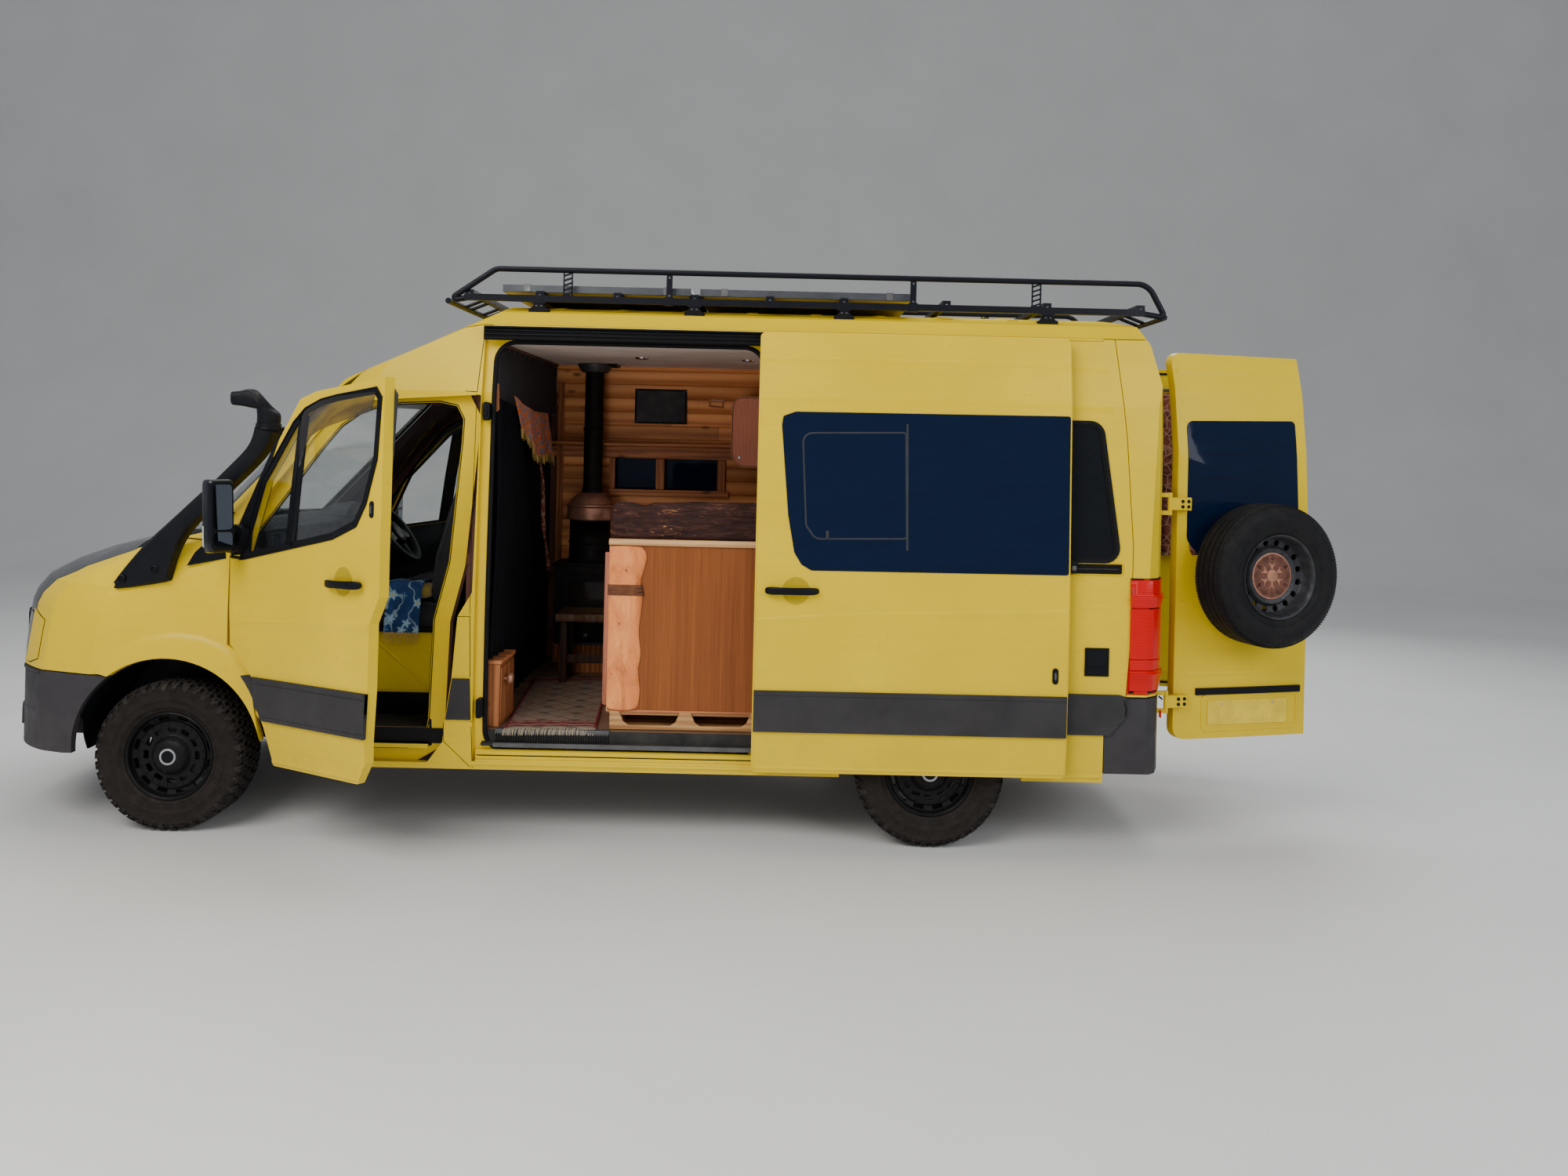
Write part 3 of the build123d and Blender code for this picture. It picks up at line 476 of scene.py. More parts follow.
def screw(centre, axis, r=5.0, h=3.0, seg=10):
    return lathe([(r, -1.0), (r, h * 0.5), (r * 0.75, h), (0.0, h)], centre, axis, seg, cap=False)


# ------------------------------------------------------------------ materials
class Nodes:
    def __init__(self, name):
        self.mat = bpy.data.materials.new(name)
        self.mat.use_nodes = True
        self.nt = self.mat.node_tree
        self.nt.nodes.clear()
        self.out = self.nt.nodes.new("ShaderNodeOutputMaterial")
        self.b = self.nt.nodes.new("ShaderNodeBsdfPrincipled")
        self.nt.links.new(self.b.outputs[0], self.out.inputs[0])
        self.co = self.add("ShaderNodeTexCoord").outputs["Object"]

    def add(self, kind, ins=None, **props):
        nd = self.nt.nodes.new(kind)
        for k, val in props.items():
            setattr(nd, k, val)
        for k, val in (ins or {}).items():
            if isinstance(val, bpy.types.NodeSocket):
                self.nt.links.new(val, nd.inputs[k])
            else:
                nd.inputs[k].default_value = val
        return nd

    def set(self, **kw):
        for k, val in kw.items():
            s = self.b.inputs[k.replace("_", " ")]
            if isinstance(val, bpy.types.NodeSocket):
                self.nt.links.new(val, s)
            else:
                s.default_value = val
        return self

    def scaled(self, s):
        return self.add("ShaderNodeMapping", {"Vector": self.co, "Scale": s}).outputs[0]

    def noise(self, scale, detail=4.0, rough=0.55, vec=None, distort=0.0):
        return self.add("ShaderNodeTexNoise", {"Vector": vec or self.co, "Scale": scale, "Detail": detail, "Roughness": rough,
                                               "Distortion": distort}).outputs["Fac"]

    def ramp(self, fac, stops, mode="LINEAR"):
        nd = self.add("ShaderNodeValToRGB", {"Fac": fac})
        nd.color_ramp.interpolation = mode
        el = nd.color_ramp.elements
        while len(el) > len(stops):
            el.remove(el[-1])
        while len(el) < len(stops):
            el.new(0.5)
        for e, (p, c) in zip(el, stops):
            e.position = p
            e.color = (*c, 1.0) if len(c) == 3 else c
        return nd.outputs[0]

    def mix(self, fac, a, b, kind="MIX"):
        nd = self.add("ShaderNodeMix", data_type="RGBA", blend_type=kind)
        for k, val in ((0, fac), (6, a), (7, b)):
            if isinstance(val, bpy.types.NodeSocket):
                self.nt.links.new(val, nd.inputs[k])
            else:
                nd.inputs[k].default_value = val if k == 0 else ((*val, 1.0) if len(val) == 3 else val)
        return nd.outputs[2]

    def math(self, op, a, b=0.0, c=0.0, clamp=False):
        nd = self.add("ShaderNodeMath", operation=op, use_clamp=clamp)
        for k, val in enumerate((a, b, c)):
            if isinstance(val, bpy.types.NodeSocket):
                self.nt.links.new(val, nd.inputs[k])
            else:
                nd.inputs[k].default_value = val
        return nd.outputs[0]

    def span(self, val, a, b, c, d):
        return self.add("ShaderNodeMapRange", {"Value": val, "From Min": a, "From Max": b, "To Min": c, "To Max": d}).outputs[0]

    def xyz(self, vec=None):
        nd = self.add("ShaderNodeSeparateXYZ", {"Vector": vec or self.co})
        return nd.outputs

    def bump(self, height, strength=0.3, dist=0.001, under=None):
        ins = {"Height": height, "Strength": strength, "Distance": dist}
        if under is not None:
            ins["Normal"] = under
        return self.add("ShaderNodeBump", ins).outputs[0]


def shade(c, k):
    return tuple(min(1.0, x * k) for x in c)


def plain(name, col, col2=None, scale=6.0, rough=(0.4, 0.6), bump=(300.0, 0.1, 0.0005), metal=0.0, coat=0.0, stretch=None,
          spec=0.16, dust=None, sheen=0.0):
    """Moulded or cast stuff: uneven colour and gloss, fine grain, dust low down."""
    n = Nodes(name)
    vec = n.scaled(stretch) if stretch else n.co
    a = n.noise(scale, 5.0, 0.6, vec)
    base = n.ramp(a, [(0.32, shade(col, 0.86)), (0.68, col2 or shade(col, 1.16))])
    if dust:
        dc, amount, z0, z1 = dust
        d = n.noise(scale * 2.3, 6.0, 0.7)
        low = n.span(n.xyz()[2], z0, z1, 1.0, 0.0)
        base = n.mix(n.math("MULTIPLY", n.math("MULTIPLY", low, amount), n.span(d, 0.35, 0.65, 0.2, 1.0)), base, dc)
    g = n.noise(bump[0], 3.0, 0.6)
    n.set(Base_Color=base, Roughness=n.span(n.noise(scale * 3.1, 4.0), 0.3, 0.7, rough[0], rough[1]), Metallic=metal,
          Normal=n.bump(g, bump[1], bump[2]))
    n.b.inputs["Specular IOR Level"].default_value = spec
    if coat:
        n.b.inputs["Coat Weight"].default_value = coat
        n.b.inputs["Coat Roughness"].default_value = 0.12
    if sheen:
        n.b.inputs["Sheen Weight"].default_value = sheen
    return n.mat


DUST = (0.30, 0.24, 0.11)


def paint(name, col, dusty=0.16, inner=None, way=-1.0):
    n = Nodes(name)
    big = n.noise(1.7, 4.0)
    wiped = n.noise(3.0, 6.0, 0.6, n.scaled((1.0, 1.0, 9.0)), 0.6)
    base = n.ramp(big, [(0.3, shade(col, 0.93)), (0.7, shade(col, 1.05))])
    base = n.mix(n.span(wiped, 0.45, 0.75, 0.0, 0.22), base, shade(col, 0.82))
    z = n.xyz()[2]
    fl = n.noise(9.0, 7.0, 0.7)
    low = n.math("MULTIPLY", n.span(z, 0.36, 1.0, 1.0, 0.0), n.span(fl, 0.35, 0.7, 0.1, 1.0))
    base = n.mix(n.math("MULTIPLY", low, dusty, clamp=True), base, DUST)
    specks = n.math("GREATER_THAN", n.noise(55.0, 2.0, 0.4), 0.74)
    base = n.mix(n.math("MULTIPLY", specks, 0.35), base, shade(col, 0.5))
    if inner is not None:
        # faces that look into the cab are lined, not painted
        across = n.xyz(n.add("ShaderNodeTexCoord").outputs["Normal"])[1]
        base = n.mix(n.math("GREATER_THAN", n.math("MULTIPLY", across, way), 0.12), base, inner)
    n.set(Base_Color=base, Roughness=n.math("ADD", n.span(wiped, 0.3, 0.7, 0.27, 0.42), n.math("MULTIPLY", low, 0.25)),
          Normal=n.bump(n.noise(160.0, 2.0), 0.03, 0.0006))
    n.b.inputs["Specular IOR Level"].default_value = 0.2
    n.b.inputs["Coat Weight"].default_value = 0.05
    n.b.inputs["Coat Roughness"].default_value = 0.1
    return n.mat


def glass(name, tint, rough=0.02, clear=True, bend=1.45):
    n = Nodes(name)
    smear = n.noise(4.0, 6.0, 0.7, n.scaled((1.0, 1.0, 3.0)))
    n.set(Base_Color=n.ramp(smear, [(0.3, tint), (0.7, shade(tint, 1.2))]),
          Roughness=n.span(smear, 0.4, 0.75, rough, rough + 0.05), IOR=bend,
          Normal=n.bump(n.noise(2.2, 2.0), 0.015, 0.002))
    n.b.inputs["Transmission Weight"].default_value = 1.0 if clear else 0.0
    n.b.inputs["Coat Weight"].default_value = 0.0 if clear else 0.04
    n.b.inputs["Specular IOR Level"].default_value = 0.5 if clear else 0.16
    n.b.inputs["Coat Roughness"].default_value = 0.02
    return n.mat


def wood(name, cols, axis=0, grain=16.0, rough=(0.38, 0.55), pitch=None, across=2, knots=False, bump=0.25, coat=0.15):
    """Grain runs along axis. Boards of one pitch differ in tone."""
    n = Nodes(name)
    s = [grain, grain, grain]
    s[axis] = grain / 11.0
    vec = n.scaled(tuple(s))
    if pitch:
        coords = n.xyz()
        idx = n.math("FLOOR", n.math("DIVIDE", coords[across], pitch))
        wn = n.add("ShaderNodeTexWhiteNoise", {"W": idx}, noise_dimensions="1D").outputs["Value"]
        vec = n.add("ShaderNodeVectorMath", {0: vec, 1: n.add("ShaderNodeCombineXYZ", {"X": n.math("MULTIPLY", wn, 37.0),
                    "Y": n.math("MULTIPLY", wn, 11.0), "Z": 0.0}).outputs[0]}, operation="ADD").outputs[0]
    g = n.noise(1.0, 7.0, 0.65, vec, 1.2)
    rings = n.add("ShaderNodeTexWave", {"Vector": vec, "Scale": 0.55, "Distortion": 7.0, "Detail": 3.0, "Detail Scale": 1.1},
                  wave_type="BANDS", bands_direction="Z" if axis != 2 else "X").outputs["Fac"]
    fac = n.math("ADD", n.math("MULTIPLY", g, 0.65), n.math("MULTIPLY", rings, 0.35))
    base = n.ramp(fac, [(0.25, cols[0]), (0.5, cols[1]), (0.78, cols[2])])
    if pitch:
        base = n.mix(0.55, base, n.mix(wn, shade(cols[0], 1.1), cols[2]), "MIX")
    if knots:
        v = n.add("ShaderNodeTexVoronoi", {"Vector": n.scaled((3.1, 3.1, 7.0)), "Scale": 1.3}, feature="F1").outputs["Distance"]
        base = n.mix(n.span(v, 0.05, 0.16, 0.85, 0.0), base, shade(cols[0], 0.35))
    n.set(Base_Color=base, Roughness=n.span(g, 0.3, 0.7, rough[0], rough[1]), Normal=n.bump(fac, bump, 0.001))
    n.b.inputs["Specular IOR Level"].default_value = 0.25
    n.b.inputs["Coat Weight"].default_value = 0.3 * coat
    n.b.inputs["Coat Roughness"].default_value = 0.25
    return n.mat


def cloth(name, col, col2, weave=700.0, rough=0.85, sheen=0.04, bump=0.3, folds=0.0):
    n = Nodes(name)
    u = n.add("ShaderNodeTexWave", {"Vector": n.co, "Scale": weave / 6.28, "Distortion": 0.6}, bands_direction="X").outputs["Fac"]
    w = n.add("ShaderNodeTexWave", {"Vector": n.co, "Scale": weave / 6.28, "Distortion": 0.6}, bands_direction="Z").outputs["Fac"]
    t = n.math("MULTIPLY", u, w)
    a = n.noise(7.0, 6.0, 0.65)
    base = n.mix(n.span(t, 0.0, 1.0, 0.0, 0.5), n.ramp(a, [(0.3, col), (0.7, col2)]), shade(col, 0.6))
    n.set(Base_Color=base, Roughness=rough, Normal=n.bump(t, bump, 0.0006))
    n.b.inputs["Sheen Weight"].default_value = sheen
    n.b.inputs["Specular IOR Level"].default_value = 0.15
    return n.mat


YELLOW_COL = (0.72, 0.500, 0.004)
YELLOW = paint("yellow_paint", YELLOW_COL)
GREY = plain("grey_bumper_plastic", (0.036, 0.034, 0.039), scale=5.0, rough=(0.48, 0.7), bump=(520.0, 0.22, 0.0006),
             dust=((0.09, 0.078, 0.066), 0.3, 0.3, 0.9))
BLACK = plain("black_plastic", (0.0035, 0.004, 0.006), scale=8.0, rough=(0.35, 0.55), bump=(420.0, 0.12, 0.0005))
GLOSSBLACK = plain("gloss_black", (0.005, 0.006, 0.009), scale=3.0, rough=(0.08, 0.16), bump=(60.0, 0.02, 0.0005), coat=0.4)
RUBBER = plain("black_rubber", (0.006, 0.006, 0.007), scale=22.0, rough=(0.6, 0.8), bump=(240.0, 0.2, 0.0006))
RACK = plain("rack_black", (0.0035, 0.0045, 0.009), scale=11.0, rough=(0.35, 0.55), bump=(180.0, 0.15, 0.0006), coat=0.05)
BONNET = plain("bonnet_wrap", (0.05, 0.052, 0.058), scale=3.0, rough=(0.22, 0.38), bump=(240.0, 0.05, 0.0005), coat=0.3)
CHASSIS = plain("chassis_black", (0.02, 0.019, 0.018), scale=9.0, rough=(0.55, 0.8), bump=(120.0, 0.35, 0.001),
                dust=((0.075, 0.062, 0.05), 0.4, 0.2, 0.7))
CAST = plain("cast_iron", (0.09, 0.085, 0.08), (0.13, 0.10, 0.075), scale=14.0, rough=(0.5, 0.75), bump=(190.0, 0.5, 0.001), metal=0.6)
STEEL = plain("steel", (0.42, 0.42, 0.44), scale=16.0, rough=(0.28, 0.5), bump=(300.0, 0.1, 0.0004), metal=0.95)
DULLSTEEL = plain("dull_steel", (0.12, 0.12, 0.125), scale=12.0, rough=(0.35, 0.6), bump=(260.0, 0.2, 0.0005), metal=0.7)
COPPER = plain("copper", (0.62, 0.33, 0.22), (0.44, 0.22, 0.15), scale=38.0, rough=(0.3, 0.5), bump=(210.0, 0.25, 0.0006), metal=0.7)
TYREMAT = plain("tyre_rubber", (0.009, 0.0075, 0.007), (0.018, 0.014, 0.012), scale=18.0, rough=(0.7, 0.9), bump=(330.0, 0.4, 0.0008),
                dust=((0.040, 0.032, 0.027), 0.4, 0.0, 0.75))
TREADMAT = plain("tyre_tread", (0.014, 0.012, 0.012), (0.036, 0.031, 0.029), scale=30.0, rough=(0.8, 0.95), bump=(260.0, 0.6, 0.001))
RIMMAT = plain("rim_black", (0.005, 0.005, 0.006), scale=10.0, rough=(0.38, 0.6), bump=(240.0, 0.18, 0.0006),
               dust=((0.024, 0.020, 0.018), 0.3, 0.1, 0.7))
CLEAR = glass("cab_glass", (0.84, 0.90, 0.87))
DARKGLASS = glass("dark_glass", (0.003, 0.008, 0.026), 0.03, clear=False)
PRIVACY = glass("privacy_glass", (0.006, 0.007, 0.009), 0.04, clear=False)
SMOKE = glass("smoked_visor", (0.35, 0.31, 0.28), 0.08)
LAMPCLEAR = glass("lamp_clear", (0.93, 0.95, 0.96), 0.03)
PALE = plain("pale_lining", (0.80, 0.69, 0.63), scale=3.0, rough=(0.6, 0.8), bump=(700.0, 0.25, 0.0008))
DASH = plain("dash_plastic", (0.030, 0.033, 0.038), scale=7.0, rough=(0.5, 0.7), bump=(900.0, 0.35, 0.0006))
LINER = plain("headlining_brown", (0.13, 0.07, 0.055), scale=6.0, rough=(0.75, 0.9), bump=(600.0, 0.4, 0.0008))
PINE = wood("pine_boards", [(0.30, 0.135, 0.045), (0.47, 0.25, 0.095), (0.62, 0.38, 0.17)], 0, 15.0, pitch=0.085, knots=True)
PINETRIM = wood("pine_trim", [(0.28, 0.12, 0.04), (0.42, 0.21, 0.08), (0.55, 0.31, 0.13)], 0, 24.0)
LAMINATE = wood("laminate", [(0.22, 0.073, 0.022), (0.33, 0.125, 0.042), (0.45, 0.20, 0.075)], 2, 90.0, rough=(0.3, 0.42), bump=0.06,
                coat=0.3)
FLOORWOOD = wood("floor_boards", [(0.10, 0.06, 0.035), (0.18, 0.11, 0.065), (0.26, 0.17, 0.10)], 0, 20.0, pitch=0.12, across=1)

# red lamp lens, with its prism ribs under a smooth face and a faint painted glow
n = Nodes("lamp_red")
ribs = n.add("ShaderNodeTexWave", {"Vector": n.co, "Scale": 34.0}, bands_direction="Z").outputs["Fac"]
cells = n.add("ShaderNodeTexVoronoi", {"Vector": n.co, "Scale": 130.0}).outputs["Distance"]
n.set(Base_Color=n.mix(n.span(ribs, 0.2, 0.9, 0.0, 0.5), (0.55, 0.001, 0.0015), (0.26, 0.0004, 0.0008)), Roughness=0.2,
      Normal=n.bump(n.math("ADD", ribs, n.math("MULTIPLY", cells, 0.4)), 0.25, 0.0012))
n.b.inputs["Specular IOR Level"].default_value = 0.2
n.b.inputs["Coat Weight"].default_value = 0.12
n.b.inputs["Coat Roughness"].default_value = 0.03
# painted glow: the lenses and the bumper reflectors give off a little red light of their own
n.b.inputs["Emission Color"].default_value = (0.7, 0.0005, 0.001, 1.0)
n.b.inputs["Emission Strength"].default_value = 0.14
RED_LENS_PAINTED_GLOW = n.mat

# solar cells: dark blue squares between pale lines
n = Nodes("solar_cells")
x, y, z = n.xyz()
lx = n.math("PINGPONG", x, 0.078)
ly = n.math("PINGPONG", y, 0.078)
edge = n.math("MINIMUM", lx, ly)
busx = n.math("PINGPONG", n.math("ADD", y, 0.02), 0.026)
line = n.math("MAXIMUM", n.math("LESS_THAN", edge, 0.0013), n.math("MULTIPLY", n.math("LESS_THAN", busx, 0.0006), 0.6))
n.set(Base_Color=n.mix(line, n.ramp(n.noise(40.0, 2.0), [(0.3, (0.004, 0.006, 0.02)), (0.7, (0.008, 0.012, 0.035))]), (0.30, 0.31, 0.33)),
      Roughness=n.span(n.noise(8.0, 5.0), 0.3, 0.7, 0.08, 0.2), Normal=n.bump(edge, 0.05, 0.0005))
n.b.inputs["Coat Weight"].default_value = 1.0
n.b.inputs["Coat Roughness"].default_value = 0.04
SOLAR = n.mat


def dress(node, *mats):
    me = NODES[node].data
    for i, mt in enumerate(mats):
        if i < len(me.materials):
            me.materials[i] = mt
        else:
            me.materials.append(mt)


for _n in ("left_body_side", "left_cab_side", "right_body_side", "high_roof", "rear_frame", "left_front_wing", "right_front_wing",
           "left_cab_door", "right_cab_door", "sliding_door", "left_rear_door", "right_rear_door"):
    dress(_n, YELLOW)
# the roof's yellow is the body yellow taken down to 0.9: painted shade that keeps the top darker than the sides
ROOF_SHADE_PAINT = paint("roof_painted_shade", shade(YELLOW_COL, 0.9), 0.05)
_rb = next(q for q in ROOF_SHADE_PAINT.node_tree.nodes if q.type == "BSDF_PRINCIPLED")
_rb.inputs["Specular IOR Level"].default_value = 0.03
_rb.inputs["Coat Weight"].default_value = 0.0
_rb.inputs["IOR"].default_value = 1.01
dress("high_roof", ROOF_SHADE_PAINT)
RIGHTPAINT = paint("right_side_paint", YELLOW_COL, inner=(0.040, 0.020, 0.018), way=-1.0)
dress("right_body_side", RIGHTPAINT)
dress("right_cab_door", RIGHTPAINT)
for _n in ("front_bumper", "rear_bumper"):
    dress(_n, GREY)
for _n in ("grille", "scuttle_panel", "snorkel", "left_mirror", "right_mirror"):
    dress(_n, BLACK)
dress("bonnet", BONNET)
for _n in ("windscreen", "left_cab_door_glass", "right_cab_door_glass"):
    dress(_n, CLEAR)
for _n in ("sliding_door_glass", "left_rear_door_glass", "right_rear_door_glass", "right_side_glass"):
    dress(_n, DARKGLASS)
dress("left_side_glass", PRIVACY)
for _n in ("left_tail_lamp", "right_tail_lamp"):
    dress(_n, RED_LENS_PAINTED_GLOW)
for _n in ("left_headlamp", "right_headlamp"):
    dress(_n, LAMPCLEAR)
for _n in ("underframe", "front_crossmember", "rear_axle"):
    dress(_n, CHASSIS)
for _n in ("left_knuckle", "right_knuckle", "engine_and_driveline", "wood_stove"):
    dress(_n, CAST)
for _w in ("front_left", "front_right", "rear_left", "rear_right"):
    dress(_w + "_tyre", TYREMAT)
    dress(_w + "_rim", RIMMAT)
dress("spare_tyre", TYREMAT)
dress("spare_rim_and_carrier", DULLSTEEL)
dress("floor_pan", FLOORWOOD)
dress("dashboard", DASH)
dress("driver_seat", DASH)
dress("passenger_seat", DASH)
n = Nodes("cabin_lining")
_up = n.math("GREATER_THAN", n.xyz()[2], 2.4025)
_gr = n.noise(1.0, 6.0, 0.6, n.scaled((1.5, 16.0, 16.0)))
_ms = n.noise(3.0, 4.0, 0.6)
n.set(Base_Color=n.mix(_up, n.ramp(_gr, [(0.3, (0.20, 0.075, 0.024)), (0.7, (0.42, 0.18, 0.06))]), n.ramp(_ms, [(0.32, (0.66, 0.56, 0.50)), (0.68, (0.84, 0.73, 0.66))])),
      Roughness=n.span(_ms, 0.3, 0.7, 0.6, 0.8), Normal=n.bump(n.noise(700.0, 3.0, 0.6), 0.25, 0.0008))
n.b.inputs["Specular IOR Level"].default_value = 0.22
LINING = n.mat
dress("cabin_lining", LINING)
dress("kitchen_unit", LAMINATE)
dress("low_shelf", PINETRIM)
dress("bark_edge_slab", LAMINATE)
dress("wall_cupboard", LAMINATE)
dress("roof_rack", RACK)
dress("solar_panels", SOLAR)

def carve(ob, cutter, sharp=38.0):
    """Takes closed shapes out of a piece."""
    me = bpy.data.meshes.new("cutter")
    me.from_pydata([row(p) for p in cutter.v], [], cutter.f)
    bm = bmesh.new()
    bm.from_mesh(me)
    bmesh.ops.remove_doubles(bm, verts=bm.verts, dist=1e-6)
    bmesh.ops.recalc_face_normals(bm, faces=bm.faces)
    bm.to_mesh(me)
    bm.free()
    c = bpy.data.objects.new("cutter", me)
    bpy.context.scene.collection.objects.link(c)
    md = ob.modifiers.new("cut", "BOOLEAN")
    md.operation = "DIFFERENCE"
    md.object = c
    md.solver = "EXACT"
    bpy.context.view_layer.update()
    new = bpy.data.meshes.new_from_object(ob.evaluated_get(bpy.context.evaluated_depsgraph_get()))
    ob.modifiers.remove(md)
    ob.data = new
    bpy.data.objects.remove(c)
    bpy.data.meshes.remove(me)
    bm = bmesh.new()
    bm.from_mesh(new)
    for f in bm.faces:
        f.smooth = True
    for e in bm.edges:
        e.smooth = not (len(e.link_faces) == 2 and e.calc_face_angle(0.0) > math.radians(sharp))
    bm.to_mesh(new)
    bm.free()
    return ob


def soften(ob, width, segs=2, limit=35.0):
    b = ob.modifiers.new("edge", "BEVEL")
    b.width = width / 1000.0
    b.segments = segs
    b.limit_method = "ANGLE"
    b.angle_limit = math.radians(limit)
    return ob


# ------------------------------------------------------------------ road wheels
WC = (0.0, -838.0, 361.0)


def on_wheel(a, b, t, c=WC):
    """a and b in the wheel's plane, t outward to the left."""
    return (c[0] + a, c[1] - t, c[2] + b)


def polar(g, r, side=0.0):
    return r * math.cos(g) - side * math.sin(g), r * math.sin(g) + side * math.cos(g)


def spin_solid(profile, seg, mat, mesh, c=WC):
    mesh.add(lathe(profile + [profile[0]], c, (0, -1, 0), seg, cap=False), mat)


# all-terrain tyre: carcass, staggered blocks with a slit, lugs over the shoulder
carcass = [(212, 98), (215, 107), (224, 113), (236, 116), (240, 119), (244, 119), (248, 118), (272, 122), (274, 123.5), (277, 122),
           (300, 122), (318, 120), (321, 121), (324, 119.5), (334, 116), (342, 109), (347, 99), (349, 84), (350, 40)]
carcass = carcass + [(350, 0)] + [(r, -t) for r, t in carcass[::-1]] + [(205, -92), (205, 92)]
tyre_mesh = Mesh()
spin_solid(carcass, 96, 0, tyre_mesh)


def tread_r(y):
    y = abs(y)
    return 360.6 if y <= 75 else 360.6 - 14.0 * ((y - 75) / 45.0) ** 2


COUNT = 42
PITCH = 2 * math.pi / COUNT
for rowk, (yc, hw) in enumerate(((-101, 15), (-62, 17.5), (-21, 18), (21, 18), (62, 17.5), (101, 15))):
    shift = (rowk % 2) * 0.5 + rowk * 0.13
    flipu = -1 if rowk % 2 else 1
    for k in range(COUNT):
        g0 = (k + shift) * PITCH
        L = 20.5
        halves = (
            [(-L, -hw), (-6, -hw), (-2, -hw + 5), (-1.2, -2), (-3.4, 4), (-1.2, hw - 3), (-5, hw), (-L + 3, hw - 4), (-L + 5, 2)],
            [(0.4, -hw + 5), (4, -hw), (L - 3, -hw + 4), (L - 5, -2), (L, hw), (6, hw), (2.2, hw - 3), (-1.4, 4), (1.2, -2)])
        for h in halves:
            h = [(u * flipu, w) for u, w in h]
            top = [on_wheel(*polar(g0 + u / 360.0, tread_r(yc + w)), -(yc + w)) for u, w in h]
            low = [on_wheel(*polar(g0 + u * 1.05 / 348.0, 346.0), -(yc + w * 1.06)) for u, w in h]
            tyre_mesh.add(loft([low, top]), 1)
    if rowk in (0, 5):
        s = -1 if rowk == 0 else 1
        for k in range(COUNT):
            g0 = (k + shift) * PITCH
            wide = 13.0 if k % 2 else 9.0
            reach = 320.0 if k % 2 else 330.0
            ring_a = [(-wide, 347.0, 108.0), (wide, 347.0, 108.0), (wide, 335.0, 117.0), (wide * 0.7, reach, 121.0), (-wide * 0.7, reach, 121.0),
                      (-wide, 335.0, 117.0)]
            low = [on_wheel(*polar(g0 + u / r, r - 3.0), -s * (t - 3.0)) for u, r, t in ring_a]
            top = [on_wheel(*polar(g0 + u / r, r + 1.0), -s * (t + 2.6)) for u, r, t in ring_a]
            tyre_mesh.add(loft([low, top]), 1)
for s in (-1, 1):
    for k in range(120):
        g = 2 * math.pi * k / 120
        bar = [(-1.1, 227.0, 115.2), (1.1, 227.0, 115.2), (1.1, 236.0, 117.6), (-1.1, 236.0, 117.6)]
        tyre_mesh.add(loft([[on_wheel(*polar(g + u / r, r), s * (t - 1.5)) for u, r, t in bar],
                            [on_wheel(*polar(g + u / r, r), s * (t + 0.9)) for u, r, t in bar]]), 0)

# rim: deep flange, slotted outer edge, ring of windows, domed centre
rim_profile = [(0, 117), (44, 116), (66, 111), (84, 98), (91, 80), (96, 76), (104, 74), (140, 78), (160, 76), (163, 72), (164, 64),
               (168, 62), (192, 70), (196, 84), (198, 104), (206, 112), (212, 108), (212, 100), (205, 90), (200, 40), (196, -60),
               (204, -96), (212, -100), (212, -108), (198, -104), (192, -90), (188, -60), (186, 50), (160, 54), (140, 62), (84, 62),
               (76, 84), (60, 96), (0, 100)]
rim_mesh = Mesh().add(lathe(rim_profile, WC, (0, -1, 0), 96, cap=False))
cuts = Mesh()
for k in range(12):
    g = 2 * math.pi * (k + 0.5) / 12
    for (rc, hl, hw, off) in ((179.0, 26.0, 9.5, 0.0), (124.0, 21.0, 12.0, 0.5)):
        gg = g + off * math.pi / 6
        o = rounded([(-hl, -hw), (hl, -hw), (hl, hw), (-hl, hw)], 6.0, 4)
        ring = lambda t: [on_wheel(*polar(gg, rc + b, a), t) for a, b in o]
        cuts.add(loft([ring(38.0), ring(98.0)]))
rim_bits = Mesh()
for k in range(24):
    a, b = polar(2 * math.pi * (k + 0.5) / 24, 150.5)
    rim_bits.add(screw(on_wheel(a, b, 76.5), (0, -1, 0), 4.2, 4.0, 8), 0)
rim_bits.add(lathe([(30, 116), (30, 119.5), (39, 119.5), (40.5, 116)], WC, (0, -1, 0), 40, cap=False), 1)
rim_bits.add(lathe([(0, 117.6), (29, 117.2), (30, 116.0)], WC, (0, -1, 0), 40, cap=False), 2)
for k in range(6):
    a, b = polar(2 * math.pi * k / 6 + 0.3, 76.0)
    rim_bits.add(lathe([(8, 90), (8, 103), (5, 106), (0, 106)], on_wheel(a, b, 0), (0, -1, 0), 6, cap=False), 0)
rim_bits.add(rod(on_wheel(*polar(2.2, 170.0), 66), on_wheel(*polar(2.2, 160.0), 92), 3.0, 8), 2)
brake = Mesh()
brake.add(lathe([(66, -2), (70, 9), (146, 9), (146, 1), (140, 0), (140, -5), (146, -6), (146, -14), (66, -14)], WC, (0, -1, 0), 60, cap=False), 0)
brake.add(lathe([(60, 62), (62, -10), (74, -12), (76, 10), (72, 61)], WC, (0, -1, 0), 40, cap=False), 0)
caliper = Mesh()


def sector(r0, r1, g0, g1, t0, t1, n=8):
    rings = []
    for k in range(n + 1):
        g = g0 + (g1 - g0) * k / n
        rings.append([on_wheel(*polar(g, r0), t0), on_wheel(*polar(g, r1), t0), on_wheel(*polar(g, r1), t1), on_wheel(*polar(g, r0), t1)])
    return loft(rings)


